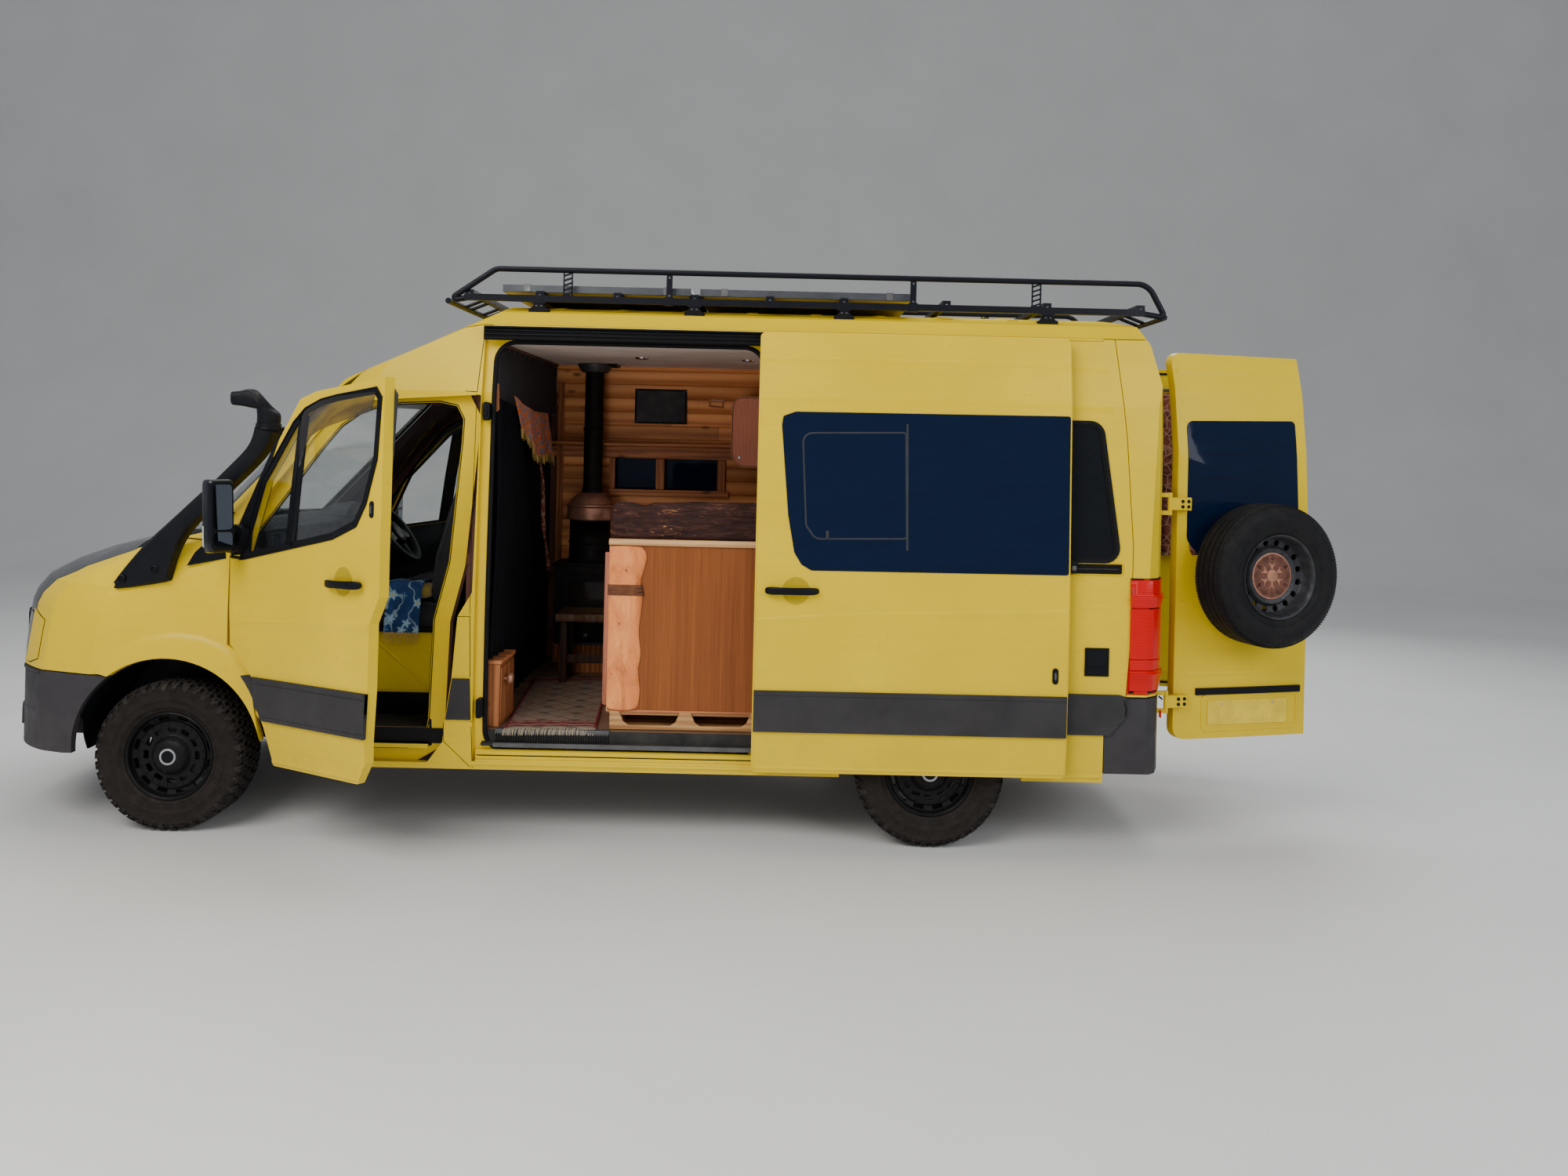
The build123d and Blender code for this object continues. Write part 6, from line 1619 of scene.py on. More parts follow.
_base = n.ramp(n.noise(18.0, 3.0, 0.6), [(0.3, (0.012, 0.035, 0.11)), (0.8, (0.022, 0.065, 0.17))])
_base = n.mix(n.math("SUBTRACT", 1.0, step(n, _vine, 0.014, 0.004)), _base, (0.22, 0.32, 0.38))
_base = n.mix(_ring, _base, (0.10, 0.24, 0.42))
_base = n.mix(_flower, _base, (0.30, 0.44, 0.55))
_base = n.mix(n.math("SUBTRACT", 1.0, step(n, _d, 0.10, 0.015)), _base, (0.55, 0.36, 0.07))
n.set(Base_Color=_base, Roughness=0.88, Normal=weave_bump(n, 1100.0))
n.b.inputs["Sheen Weight"].default_value = 0.03
n.b.inputs["Specular IOR Level"].default_value = 0.15
BLUETHROW = n.mat

# dark red-brown hanging with a plain woven figure, behind the rear doors
n = uv_nodes("rust_hanging_cloth")
_cur = n.add("ShaderNodeTexWave", {"Vector": n.co, "Scale": 5.0, "Distortion": 11.0, "Detail": 3.0, "Detail Scale": 1.4}, bands_direction="DIAGONAL").outputs["Fac"]
_cell = n.add("ShaderNodeTexVoronoi", {"Vector": n.co, "Scale": 20.0}, feature="DISTANCE_TO_EDGE").outputs["Distance"]
_base = n.ramp(_cur, [(0.0, (0.07, 0.020, 0.014)), (0.5, (0.14, 0.04, 0.024)), (0.62, (0.26, 0.11, 0.06)), (0.7, (0.09, 0.025, 0.018)), (1.0, (0.18, 0.05, 0.03))])
_base = n.mix(n.math("SUBTRACT", 1.0, step(n, _cell, 0.05, 0.02)), _base, (0.30, 0.16, 0.10))
n.set(Base_Color=_base, Roughness=0.88, Normal=weave_bump(n))
n.b.inputs["Sheen Weight"].default_value = 0.03
n.b.inputs["Specular IOR Level"].default_value = 0.15
RUSTCLOTH = n.mat


# ------------------------------------------------------------------ cabin: soft sheets
def cloth_sheet(name, fn, nu, nv, w, l, mats, body="van_body", thick=0.0, edge=None):
    """fn(s, t) gives a point in van millimetres for s and t from 0 to 1; w and l are the cut size in metres."""
    me = bpy.data.meshes.new(name)
    v = [row(fn(i / nu, j / nv)) for j in range(nv + 1) for i in range(nu + 1)]
    f = [(j * (nu + 1) + i, j * (nu + 1) + i + 1, (j + 1) * (nu + 1) + i + 1, (j + 1) * (nu + 1) + i) for j in range(nv) for i in range(nu)]
    me.from_pydata(v, [], f)
    uv = me.uv_layers.new(name="cloth")
    for poly in me.polygons:
        poly.use_smooth = True
        for li in poly.loop_indices:
            k = me.loops[li].vertex_index
            uv.data[li].uv = ((k % (nu + 1)) / nu * w, (k // (nu + 1)) / nv * l)
    for mt in mats if isinstance(mats, (list, tuple)) else [mats]:
        me.materials.append(mt)
    ob = bpy.data.objects.new(name, me)
    bpy.context.scene.collection.objects.link(ob)
    if thick:
        sd = ob.modifiers.new("thickness", "SOLIDIFY")
        sd.thickness = thick / 1000.0
        sd.offset = 0.0
    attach(ob, body)
    return ob


def strands(name, roots, mat, body="van_body", r=1.3, seg=5):
    """Yarn ends: each root is a list of points, tapering to its tip."""
    m = Mesh()
    for path in roots:
        k = len(path)
        m.add(tube(path, [r * (1.0 - 0.45 * i / (k - 1)) for i in range(k)], seg))
    return piece(name, m, mat, body, sharp=80)


# curtain across the van behind the seats, gathered at the top
def pleat_amp(width, flat, folds):
    lo, hi = 0.0, 400.0
    for _ in range(40):
        a = (lo + hi) / 2
        k = 2 * math.pi * a * folds / width
        ln = sum(math.sqrt(1.0 + (k * math.cos(2 * math.pi * q / 24)) ** 2) for q in range(24)) / 24 * width
        lo, hi = (a, hi) if ln < flat else (lo, a)
    return a


CUR_W, CUR_L, FOLDS = 1.42, 1.30, 11.0
_tab = []
for j in range(41):
    t = j / 40
    y0 = -858.0 + 6.0 * math.sin(3 * t)
    y1 = -400.0 + 640.0 * (t ** 0.85)
    _tab.append((y0, y1, pleat_amp(y1 - y0, 1420.0, FOLDS)))


def curtain(s, t):
    j = min(39, int(t * 40))
    q = t * 40 - j
    y0, y1, a = ((1 - q) * _tab[j][k] + q * _tab[j + 1][k] for k in range(3))
    z1 = 2122.0 - 40.0 * s
    z0 = 842.0 - 52.0 * math.sin(math.pi * min(1.0, s * 1.3)) + 8.0 * s
    ph = 2 * math.pi * FOLDS * s + 0.5 * math.sin(2.6 * t + 7.0 * s)
    x = 1512.0 + a * 0.9 * math.sin(ph) + 10.0 * math.sin(1.7 * t * math.pi + s * 5.0) * t
    return (max(x, 1496.0 - 0.25 * max(0.0, 1496.0 - x)), y0 + (y1 - y0) * s + 0.18 * a * math.sin(2 * ph), z1 + (z0 - z1) * t)


_cw = cloth_sheet("divider_curtain", curtain, 264, 60, CUR_W, CUR_L, CURTAINMAT, thick=1.6)

# dark sheet of the curtain cloth over the far part: painted shade standing in for the dark space behind the curtain
FARW, FARF = 1.30, 9.0
_fa = pleat_amp(1130.0, 1300.0, FARF)


def far_shade_sheet(s, t):
    y = -290.0 + 1130.0 * s
    ph = 2 * math.pi * FARF * s + 0.4 * math.sin(3.0 * t)
    return (1470.0 + 0.8 * _fa * math.sin(ph), y + 0.15 * _fa * math.sin(2 * ph), 2092.0 - (1540.0 + 6.0 * math.sin(9.0 * s)) * t)


_fc = cloth_sheet("far_shade_sheet", far_shade_sheet, 220, 40, FARW, 1.54, CURTAINMAT, thick=1.6)
_m = Mesh().add(rod((1470, -860, 2100), (1470, 858, 2100), 9, 14), 0)
for y in (-846, 846):
    _m.add(lathe([(0, 0), (22, 0), (22, 10), (10, 14), (0, 14)], (1470, y * 1.012, 2100), (0, -1 if y > 0 else 1, 0), 24), 0)
piece("curtain_rail", _m, DULLSTEEL, "van_body")

# stiff board over the curtain, with its trim
_bd = [(-852, 2135), (-560, 2098), (-250, 2078), (120, 2072), (480, 2076), (842, 2100), (838, 2240), (815, 2398), (-815, 2398), (-838, 2240)]
_m = Mesh().add(prism(_bd, "yz", 1484, 1494), 0)
_m.add(tube([(1489, y, z - 3) for y, z in _bd[:6]], 7.0, 10), 1)
for y in range(-780, 800, 130):
    _m.add(screw((1495, y, 2382), (1, 0, 0), 6, 2.5), 2)
piece("divider_board", _m, [FELT, FELT, DULLSTEEL], "van_body", bevel=2.0)
_m = Mesh().add(prism([(1486, 2200), (1522, 2196), (1528, 2070), (1518, 2058), (1488, 2064)], "xz", -866, -842), 0)
piece("curtain_block", _m, TIMBERUP, "van_body", bevel=3.0)

# hanging cloth pinned over the board's lower edge
def swag(s, t):
    top = (-600.0 + 930.0 * s, 2148.0 - 62.0 * s - 26.0 * math.sin(math.pi * s))
    bot = (-455.0 + 950.0 * s, 1985.0 - 175.0 * s - 30.0 * math.sin(math.pi * s * 1.0) + 22.0 * math.sin(9.0 * s))
    y, z = top[0] + (bot[0] - top[0]) * t, top[1] + (bot[1] - top[1]) * t
    return (1546.0 + 9.0 * math.sin(19.0 * s + 2.0 * t) * (0.35 + 0.65 * t) + 6.0 * math.sin(41.0 * s) * t, y, z)


_sw = cloth_sheet("orange_hanging", swag, 90, 24, 0.98, 0.27, ORANGECLOTH, thick=1.2)
_pts = [[swag(i / 90, 1.0) for i in range(91)]]
_fr = strands("orange_hanging_fringe", [[(p[0], p[1], p[2] + 1), (p[0] + 2, p[1] + 3 * math.sin(i * 1.7), p[2] - 22), (p[0] + 3, p[1] + 5 * math.sin(i * 2.3), p[2] - 44 - 6 * math.sin(i * 1.1))]
                                        for i, p in enumerate(_pts[0]) for _ in (0,)], GOLDFRINGE)

# narrow scarf down the curtain's free edge
def scarf(s, t):
    y = 40.0 + 300.0 * t + 60.0 * (s - 0.5) + 10.0 * math.sin(8.0 * t)
    return (1562.0 + 8.0 * math.sin(6.0 * s + 9.0 * t), y, 1800.0 - 640.0 * t + 6.0 * s)


_sc = cloth_sheet("narrow_scarf", scarf, 10, 60, 0.06, 0.71, RUSTCLOTH, thick=1.2)

# rug down the aisle, its near end at the step
RA = math.atan2(-111.0, 1322.0)


def rug_at(s, t):
    u, w = (s - 0.5) * 440.0, t * 1330.0
    x = 1823.0 + u * math.cos(RA) + w * math.sin(RA)
    y = -905.0 + w * math.cos(RA) - u * math.sin(RA)
    lift = 3.0 * (math.sin(5.2 * t + 1.0) * math.sin(3.0 * s + 2.0 * t)) + 3.5 + 5.0 * math.exp(-((t - 0.55) / 0.05) ** 2) * (0.4 + 0.6 * s)
    return (x, y, 524.0 + max(0.0, lift))


_rg = cloth_sheet("woven_rug_sheet", rug_at, 60, 160, 0.44, 1.33, RUGMAT, thick=4.5)
_ends = []
for i in range(96):
    s = (i + 0.5) / 96
    for t, d in ((0.0, -1.0), (1.0, 1.0)):
        p = rug_at(s, t)
        k = rnd.uniform(-9, 9)
        if d < 0:
            _ends.append([(p[0], p[1] + 3, p[2]), (p[0] + 0.4 * k, p[1] - 18, p[2] - 1), (p[0] + 0.8 * k, p[1] - 34 - rnd.uniform(0, 6), p[2] - 9), (p[0] + k, p[1] - 40 - rnd.uniform(0, 6), p[2] - 26)])
        else:
            _ends.append([(p[0], p[1] - 3, p[2]), (p[0] + 0.5 * k, p[1] + 22, 523.5), (p[0] + k, p[1] + 46, 522.5)])
_rf = strands("rug_fringe", _ends, FRINGEMAT)

# cloth hung over the inner side of the right-hand back leaf
RX = tail_x(400, 2300) - 82.0


def rear_hang(s, t):
    y = 118.0 + 590.0 * s + 9.0 * math.sin(5.0 * t)
    a = 7.0 + 6.0 * t
    return RBACK((RX - a * math.sin(2 * math.pi * 5.5 * s + 0.6 * math.sin(3.0 * t)), y, 2312.0 - 980.0 * t - 12.0 * math.sin(math.pi * s)))


_rh = cloth_sheet("rear_hanging", rear_hang, 130, 40, 0.66, 0.98, RUSTCLOTH, body="right_rear_door", thick=1.4)
_m = Mesh().add(rod(RBACK((RX, 104, 2320)), RBACK((RX, 722, 2320)), 7, 14), 0)
for y in (110, 716):
    _m.add(rod(RBACK((RX, y, 2320)), RBACK((RX + 26, y, 2320)), 5, 10), 0)
    _m.add(rod(RBACK((RX + 22, y, 2320)), RBACK((RX + 27, y, 2320)), 16, 16), 1)
piece("rear_rail", _m, [DULLSTEEL, TIMBERUP], "right_rear_door", bevel=1.0)


# ------------------------------------------------------------------ cabin: far wall
def on_far(x, z, o):
    return (x, section_y(z) - 65.0 - o, z)


_m = Mesh()
P = 257.0 / 3.0
zs = [1606.0 + P * k for k in range(-12, 10)]
for z in zs:
    zc, h = z + P / 2, min(P, 2402.0 - z) - 1.6
    if z > 2380:
        continue
    zc = z + h / 2 + 0.8
    spans = [(1502.0, 4558.0)] if not 1600 < z < 1860 else [(1502.0, 1850.0), (2574.0, 4558.0)]
    if z < 834:    # the wheel box stands here
        spans = [(1502.0, 3206.0), (4124.0, 4558.0)]
    for x0, x1 in spans:
        cut = x0 + rnd.uniform(700, 1500)
        for a, b in ((x0, min(cut, x1)), (cut + 1.5, x1)):
            if b - a > 40:
                _m.add(along(fine([(a, zc), (b, zc)], 400), on_far, [(-h / 2, -0.5), (-h / 2 + 1.5, 3.0), (-h / 2 + 5.0, 6.0), (h / 2 - 5.0, 6.0), (h / 2 - 1.5, 3.0), (h / 2, -0.5)]),
                       rnd.choice((0, 1, 1, 2, 2, 3)))
piece("far_wall_cladding", _m, BOARDS, "van_body")
_m = Mesh()
_m.add(prism([(1838, 1588), (2592, 1588), (2592, 1632), (1838, 1632)], "xz", 862, 902), 0)
_m.add(prism([(1480, 1828), (2700, 1828), (2700, 1903), (1480, 1903)], "xz", 852, 880), 0)
_m.add(prism([(1480, 1903), (2700, 1903), (2700, 1925), (1480, 1925)], "xz", 776, 884), 0)
piece("window_timber_rails", _m, TIMBER, "van_body", bevel=4.0)
_m = Mesh()
for x0, x1 in ((1840, 1874), (2131, 2186), (2518, 2569)):
    _m.add(prism([(x0, 1633), (x1, 1633), (x1, 1827), (x0, 1827)], "xz", 866, 896), 0)
_m.add(prism([(1510, 560), (1548, 560), (1548, 2396), (1510, 2396)], "xz", 850, 880), 0)
piece("window_timber_posts", _m, TIMBERUP, "van_body", bevel=4.0)
# bare dark plate and a small plain frame on the boards
_m = Mesh()
_y = section_y(2150) - 71
_m.add(prism([(1992, 2048), (2318, 2048), (2318, 2266), (1992, 2266)], "xz", _y - 20, _y), 0)
_m.add(prism([(2004, 2060), (2306, 2060), (2306, 2254), (2004, 2254)], "xz", _y - 22, _y - 19), 1)
for x, z in ((2003, 2059), (2307, 2059), (2307, 2255), (2003, 2255), (2155, 2059), (2155, 2255)):
    _m.add(screw((x, _y - 20, z), (0, -1, 0), 4, 2), 2)
piece("dark_wall_plate", _m, [BLACK, SLATE, DULLSTEEL], "van_body", bevel=2.0)
_m = Mesh()
_m.add(band([(2462, 2168), (2544, 2160), (2552, 2242), (2470, 2250)], lambda a, b, o: (a, _y + 2 - o, b), -6, 6, 0, 14), 0)
_m.add(prism([(2464, 2170), (2543, 2162), (2550, 2241), (2471, 2248)], "xz", _y - 4, _y), 1)
piece("small_wall_frame", _m, [TIMBER, PALE], "van_body", bevel=1.5)

# ceiling: vent with slats, two spots, trim along its edges
_m = Mesh()
_m.add(prism([(1702, 640), (1896, 640), (1896, 850), (1702, 850)], "xy", 2397, 2405), 0)
_m.add(band([(1702, 640), (1896, 640), (1896, 850), (1702, 850)], lambda a, b, o: (a, b, 2403 - o), -12, 4, 0, 9), 0)
for y in range(660, 840, 22):
    _m.add(prism([(y - 8, 2392), (y + 2, 2390), (y + 8, 2398), (y - 2, 2400)], "yz", 1712, 1886), 1)
piece("ceiling_vent", _m, [BLACK, SEAM], "van_body", bevel=1.0)
_m = Mesh()
for x, y in ((2120, 32), (2720, 45), (3420, 40), (4120, 40)):
    _m.add(lathe([(0, -1), (14, -1), (22, -4), (26, -9), (31, -10), (38, -7), (39, -1), (39, 2), (0, 2)], (x, y, 2403), (0, 0, 1), 32), 0)
    _m.add(lathe([(0, -6), (13, -5), (20, -2), (20, 1)], (x, y, 2401), (0, 0, 1), 24), 1)
piece("ceiling_spots", _m, [CHROME, WARMWHITE], "van_body")
_m = Mesh()
for s in (1,):
    _m.add(prism([(s * 848, 2388), (s * 886, 2368), (s * 890, 2406), (s * 848, 2406)], "yz", 1500, 4560), 0)
_m.add(prism([(-846, 2390), (846, 2390), (846, 2406), (-846, 2406)], "yz", 1496, 1512), 0)
piece("ceiling_edge_trim", _m, LINER, "van_body", bevel=3.0)

# ------------------------------------------------------------------ kitchen
_m = Mesh()
_m.add(prism([(2090, 616), (3196, 616), (3196, 1420), (2090, 1420)], "xz", -868, -861), 0)
piece("kitchen_face_panel", _m, REEDED, "van_body", bevel=1.5)
_m = Mesh()
_m.add(prism([(2082, 1420), (3204, 1420), (3204, 1452), (2082, 1452)], "xz", -880, -330), 0)
_m.add(prism([(2084, 606), (2106, 606), (2106, 1422), (2084, 1422)], "xz", -866, -332), 0)
piece("kitchen_top_board", _m, EDGEPINE, "van_body", bevel=5.0, segs=3)
_m = Mesh()
_m.add(prism([(2092, 604), (3196, 604), (3196, 617), (2092, 617)], "xz", -874, -860), 0)
piece("kitchen_foot_edge", _m, TIMBER, "van_body", bevel=2.0)
# aisle side: a plain framed front with two doors
_m = Mesh()
for x0, x1 in ((2112, 2640), (2652, 3190)):
    _m.add(prism([(x0, 622), (x1, 622), (x1, 1408), (x0, 1408)], "xz", -330, -312), 0)
    _m.add(prism([(x0 + 60, 690), (x1 - 60, 690), (x1 - 60, 1340), (x0 + 60, 1340)], "xz", -314, -308), 1)
    hx = x1 - 34 if x0 < 2400 else x0 + 34
    _m.add(tube([(hx, -312, 1090), (hx, -290, 1092), (hx, -286, 1105), (hx, -286, 1195), (hx, -290, 1208), (hx, -312, 1210)], 5.0, 10), 2)
piece("kitchen_aisle_doors", _m, [LAMINATE, CUPLAM, DULLSTEEL], "van_body", bevel=3.0)

# pale timber with its natural edge down the unit's left end
_edge = [(614, 2240), (650, 2246), (690, 2250), (722, 2252), (760, 2245), (814, 2239), (850, 2246), (893, 2252), (930, 2247), (985, 2239), (1030, 2240), (1078, 2246),
         (1120, 2250), (1177, 2256), (1210, 2248), (1236, 2242), (1262, 2246), (1289, 2254), (1320, 2262), (1356, 2272), (1385, 2268), (1408, 2256), (1418, 2240)]
_rows = []
for z, xr in _edge:
    for q in (0.0,):
        rr = []
        for i in range(15):
            s = i / 14
            x = 2086 + (xr - 2086) * s
            e = noise.noise(Vector((x * 0.012, z * 0.012, 3.0))) * 2.2 + noise.noise(Vector((x * 0.05, z * 0.03, 9.0))) * 0.9
            drop = 13.0 * max(0.0, (s - 0.86) / 0.14) ** 2
            rr.append((x, -885.0 - e + drop, z))
        rr += [(xr - 2, -867.0, z), (2086, -867.0, z)]
        _rows.append(rr)
_m = Mesh().add(loft(_rows), 0)
piece("live_edge_timber", _m, LIVEEDGE, "van_body", sharp=60, subdiv=1)
_m = Mesh()
for k, (z0, z1) in enumerate(((1176, 1194), (1194.5, 1213), (1213.5, 1230))):
    _m.add(loft([[(2083, -868, z0), (2083, -890.0 - k % 2, z0 + 1), (2252 - 4 * k, -890.5 - k % 2, z0 + 1), (2260 - 4 * k, -868, z0)],
                 [(2083, -868, z1), (2083, -890.0 - k % 2, z1 - 1), (2252 - 4 * k, -890.5 - k % 2, z1 - 1), (2260 - 4 * k, -868, z1)]]), 0)
piece("live_edge_binding", _m, HIDE, "van_body", bevel=2.5)

# bark-edged slab
_top = [(2084, 1588), (2090, 1606), (2113, 1630), (2150, 1633), (2192, 1631), (2245, 1613), (2297, 1632), (2402, 1634), (2495, 1640), (2540, 1640), (3000, 1640), (3150, 1634), (3210, 1636)]


def top_of(x):
    for (xa, za), (xb, zb) in zip(_top[:-1], _top[1:]):
        if x <= xb:
            return za + (zb - za) * (x - xa) / (xb - xa)
    return _top[-1][1]


_rings = []
for i in range(227):
    x = 2084.0 + 1126.0 * i / 226
    zt = top_of(x) + 3.0 * noise.noise(Vector((x * 0.02, 0, 5.0))) + 1.5 * noise.noise(Vector((x * 0.09, 4.0, 0.0)))
    zt = min(zt, 1641.0)
    ring = []
    for j in range(25):
        s = j / 24
        z = 1452.0 + (zt - 1452.0) * s
        f = noise.noise(Vector((x * 0.006, z * 0.035, 1.0))) * 9.0 + noise.noise(Vector((x * 0.02, z * 0.11, 7.0))) * 5.0 + noise.noise(Vector((x * 0.06, z * 0.2, 2.0))) * 2.0
        belly = 9.0 * math.sin(math.pi * min(1.0, s * 1.05))
        edge = 10.0 * max(0.0, (s - 0.9) / 0.1) ** 2 + 8.0 * max(0.0, (0.06 - s) / 0.06)
        end = 16.0 * max(0.0, 1.0 - (x - 2084.0) / 26.0) ** 2
        ring.append((x, -868.0 - belly - f + edge + end, z))
    ring += [(x, -822.0, zt - 2.0), (x, -822.0, 1452.0)]
    _rings.append(ring)
_m = Mesh().add(loft(_rings), 0)
piece("bark_edge_board", _m, BARK, "van_body", sharp=75, replaces="bark_edge_slab")
_m = Mesh()
for x in (2180, 2650, 3120):
    _m.add(prism([(x - 14, 1452), (x + 14, 1452), (x + 14, 1600), (x - 14, 1600)], "xz", -822, -796), 0)
piece("slab_back_cleats", _m, TIMBERUP, "van_body", bevel=3.0)

# low shelf with shaped openings
_out = [(2104, 613), (2104, 523), (3192, 523), (3192, 613)]
for x0, x1 in ((2852, 3142), (2500, 2792), (2150, 2446)):
    _out += [(x1, 610), (x1 - 8, 590), (x1 - 20, 562), (x1 - 46, 544), (x0 + 46, 544), (x0 + 20, 562), (x0 + 8, 590), (x0, 610)]
_m = Mesh().add(prism(_out, "xz", -876, -862), 0)
piece("low_shelf_front", _m, SHELFPINE, "van_body", bevel=2.5)

# wall cupboard
_oc = rounded([(2622, 1796), (3238, 1790), (3238, 2204), (2622, 2212)], [86, 30, 30, 66], 8)
_m = Mesh().add(prism(_oc, "xz", 436, 816), 0)
_ic = rounded([(2628, 1802), (3232, 1796), (3232, 2198), (2628, 2206)], [80, 26, 26, 60], 8)
_m.add(prism(_ic, "xz", 420, 436), 1)
_m.add(band(_oc, lambda a, b, o: (a, 437 - o, b), -0.5, 4.5, -1, 18), 2)
_m.add(screw((2668, 419, 1850), (0, -1, 0), 12, 9, 20), 3)
piece("wall_cupboard_body", _m, [CUPLAM, CUPLAM, EDGING, CHROME], "van_body", bevel=2.0, replaces="wall_cupboard")

# ------------------------------------------------------------------ stove, hearth and bench
_m = Mesh()
_m.add(prism([(1596, 596), (1924, 596), (1924, 844), (1596, 844)], "xy", 521, 690), 0)
_m.add(prism([(1586, 588), (1934, 588), (1934, 846), (1586, 846)], "xy", 690, 706), 1)
_m.add(prism([(1556, 560), (1964, 560), (1964, 846), (1556, 846)], "xy", 712, 724), 2)
for x in (1580, 1940):
    for y in (582, 826):
        _m.add(lathe([(0, -8), (14, -8), (12, 0), (9, 10), (9, 18)], (x, y, 706), (0, 0, 1), 16), 2)
_box = [(1562, 1176), (1562, 726), (1958, 726), (1958, 1176)]
_m.add(prism(_box, "xz", 566, 846), 2)
_m.add(prism([(1552, 1172), (1968, 1172), (1968, 1188), (1552, 1188)], "xz", 556, 850), 2)
_m.add(prism(rounded([(1610, 790), (1910, 790), (1910, 1120), (1610, 1120)], 18, 5), "xz", 552, 566), 2)
_m.add(prism(rounded([(1640, 822), (1880, 822), (1880, 1088), (1640, 1088)], 12, 5), "xz", 549, 553), 3)
_m.add(band(rounded([(1640, 822), (1880, 822), (1880, 1088), (1640, 1088)], 12, 5), lambda a, b, o: (a, 552 - o, b), -10, 8, 0, 7), 2)
_m.add(tube([(1896, 552, 900), (1896, 530, 902), (1896, 524, 914), (1896, 524, 1000), (1896, 530, 1010), (1896, 552, 1012)], 6.0, 10), 4)
for z in (850, 1060):
    _m.add(rod((1606, 556, z - 16), (1606, 556, z + 16), 8, 14), 2)
_m.add(screw((1760, 566, 756), (0, -1, 0), 16, 14, 20), 4)
# tall drum with its copper rim and lid
_m.add(lathe([(0, 1188), (138, 1188), (142, 1200), (134, 1208), (132, 1300), (137, 1306), (137, 1316), (132, 1322), (132, 1446), (0, 1446)], (1760, 700, 0), (0, 0, 1), 56), 2)
_m.add(lathe([(132, 1446), (146, 1448), (150, 1456), (150, 1516), (146, 1524), (132, 1528)], (1760, 700, 0), (0, 0, 1), 56), 5)
for k in range(24):
    g = 2 * math.pi * k / 24
    _m.add(screw((1760 + 150 * math.cos(g), 700 + 150 * math.sin(g), 1486), (math.cos(g), math.sin(g), 0), 4.5, 3, 10), 5)
_m.add(lathe([(152, 1526), (156, 1532), (154, 1540), (140, 1546), (128, 1568), (104, 1592), (76, 1608), (57, 1616), (0, 1616)], (1760, 700, 0), (0, 0, 1), 56), 5)
# flue with collars
_m.add(lathe([(0, 1610), (64, 1610), (66, 1622), (60, 1640), (57, 1644), (57, 1990), (62, 1994), (62, 2010), (57, 2014), (57, 2352), (0, 2352)], (1760, 700, 0), (0, 0, 1), 40), 2)
_m.add(lathe([(57, 2350), (80, 2352), (104, 2390), (106, 2402), (0, 2402)], (1760, 700, 0), (0, 0, 1), 40), 4)
piece("wood_stove_detail", _m, [TIMBERUP, SLATE, STOVEIRON, STOVEGLASS, DULLSTEEL, COPPER], "van_body", bevel=1.2, replaces="wood_stove")
_fw = []
for i in range(41):
    x = 1640 + 330 * i / 40
    _fw.append((x, 196 + 9 * math.sin(x * 0.03) + 6 * noise.noise(Vector((x * 0.03, 0, 0)))))
_m = Mesh().add(prism(_fw + [(1972, 520), (1640, 524)], "xy", 884, 930), 0)
for x0, x1 in ((1662, 1700), (1912, 1950)):
    for y0 in (238, 456):
        _m.add(prism([(x0, y0), (x1, y0), (x1, y0 + 38), (x0, y0 + 38)], "xy", 521, 885), 1)
_m.add(prism([(1668, 250), (1944, 250), (1944, 268), (1668, 268)], "xy", 640, 690), 1)
piece("low_bench", _m, [wood("bench_slab", [(0.04, 0.019, 0.010), (0.08, 0.04, 0.02), (0.13, 0.068, 0.033)], 0, 12.0, coat=0.2), wood("bench_legs", [(0.02, 0.009, 0.005), (0.035, 0.016, 0.009), (0.06, 0.028, 0.014)], 2, 14.0, coat=0.2)], "van_body", bevel=5.0)
_m = Mesh().add(prism([(1990, -326), (2040, -326), (2040, -290), (1990, -290)], "xy", 521, 1336), 0)
_m.add(prism([(2034, -322), (2086, -322), (2086, -296), (2034, -296)], "xy", 1290, 1326), 0)
_m.add(prism([(2034, -322), (2086, -322), (2086, -296), (2034, -296)], "xy", 560, 596), 0)
piece("kitchen_end_post", _m, CUPLAM, "van_body", bevel=3.0)
# low locker beside the doorway, with a round copper knob
_m = Mesh()
_m.add(prism([(1502, -872), (1566, -872), (1566, -560), (1502, -560)], "xy", 521, 826), 0)
_m.add(prism([(1500, -878), (1574, -878), (1574, -554), (1500, -554)], "xy", 826, 846), 1)
_m.add(prism([(-860, 540), (-574, 540), (-574, 806), (-860, 806)], "yz", 1566, 1572), 0)
_m.add(lathe([(9, 0), (8, 10), (11, 16), (21, 20), (27, 28), (27, 36), (20, 44), (0, 47)], (1572, -800, 745), (1, 0, 0), 32, cap=True), 2)
piece("doorway_locker", _m, [TIMBERUP, TIMBER, COPPER], "van_body", bevel=2.5)

# ------------------------------------------------------------------ steps, threshold and floor edges
_m = Mesh()
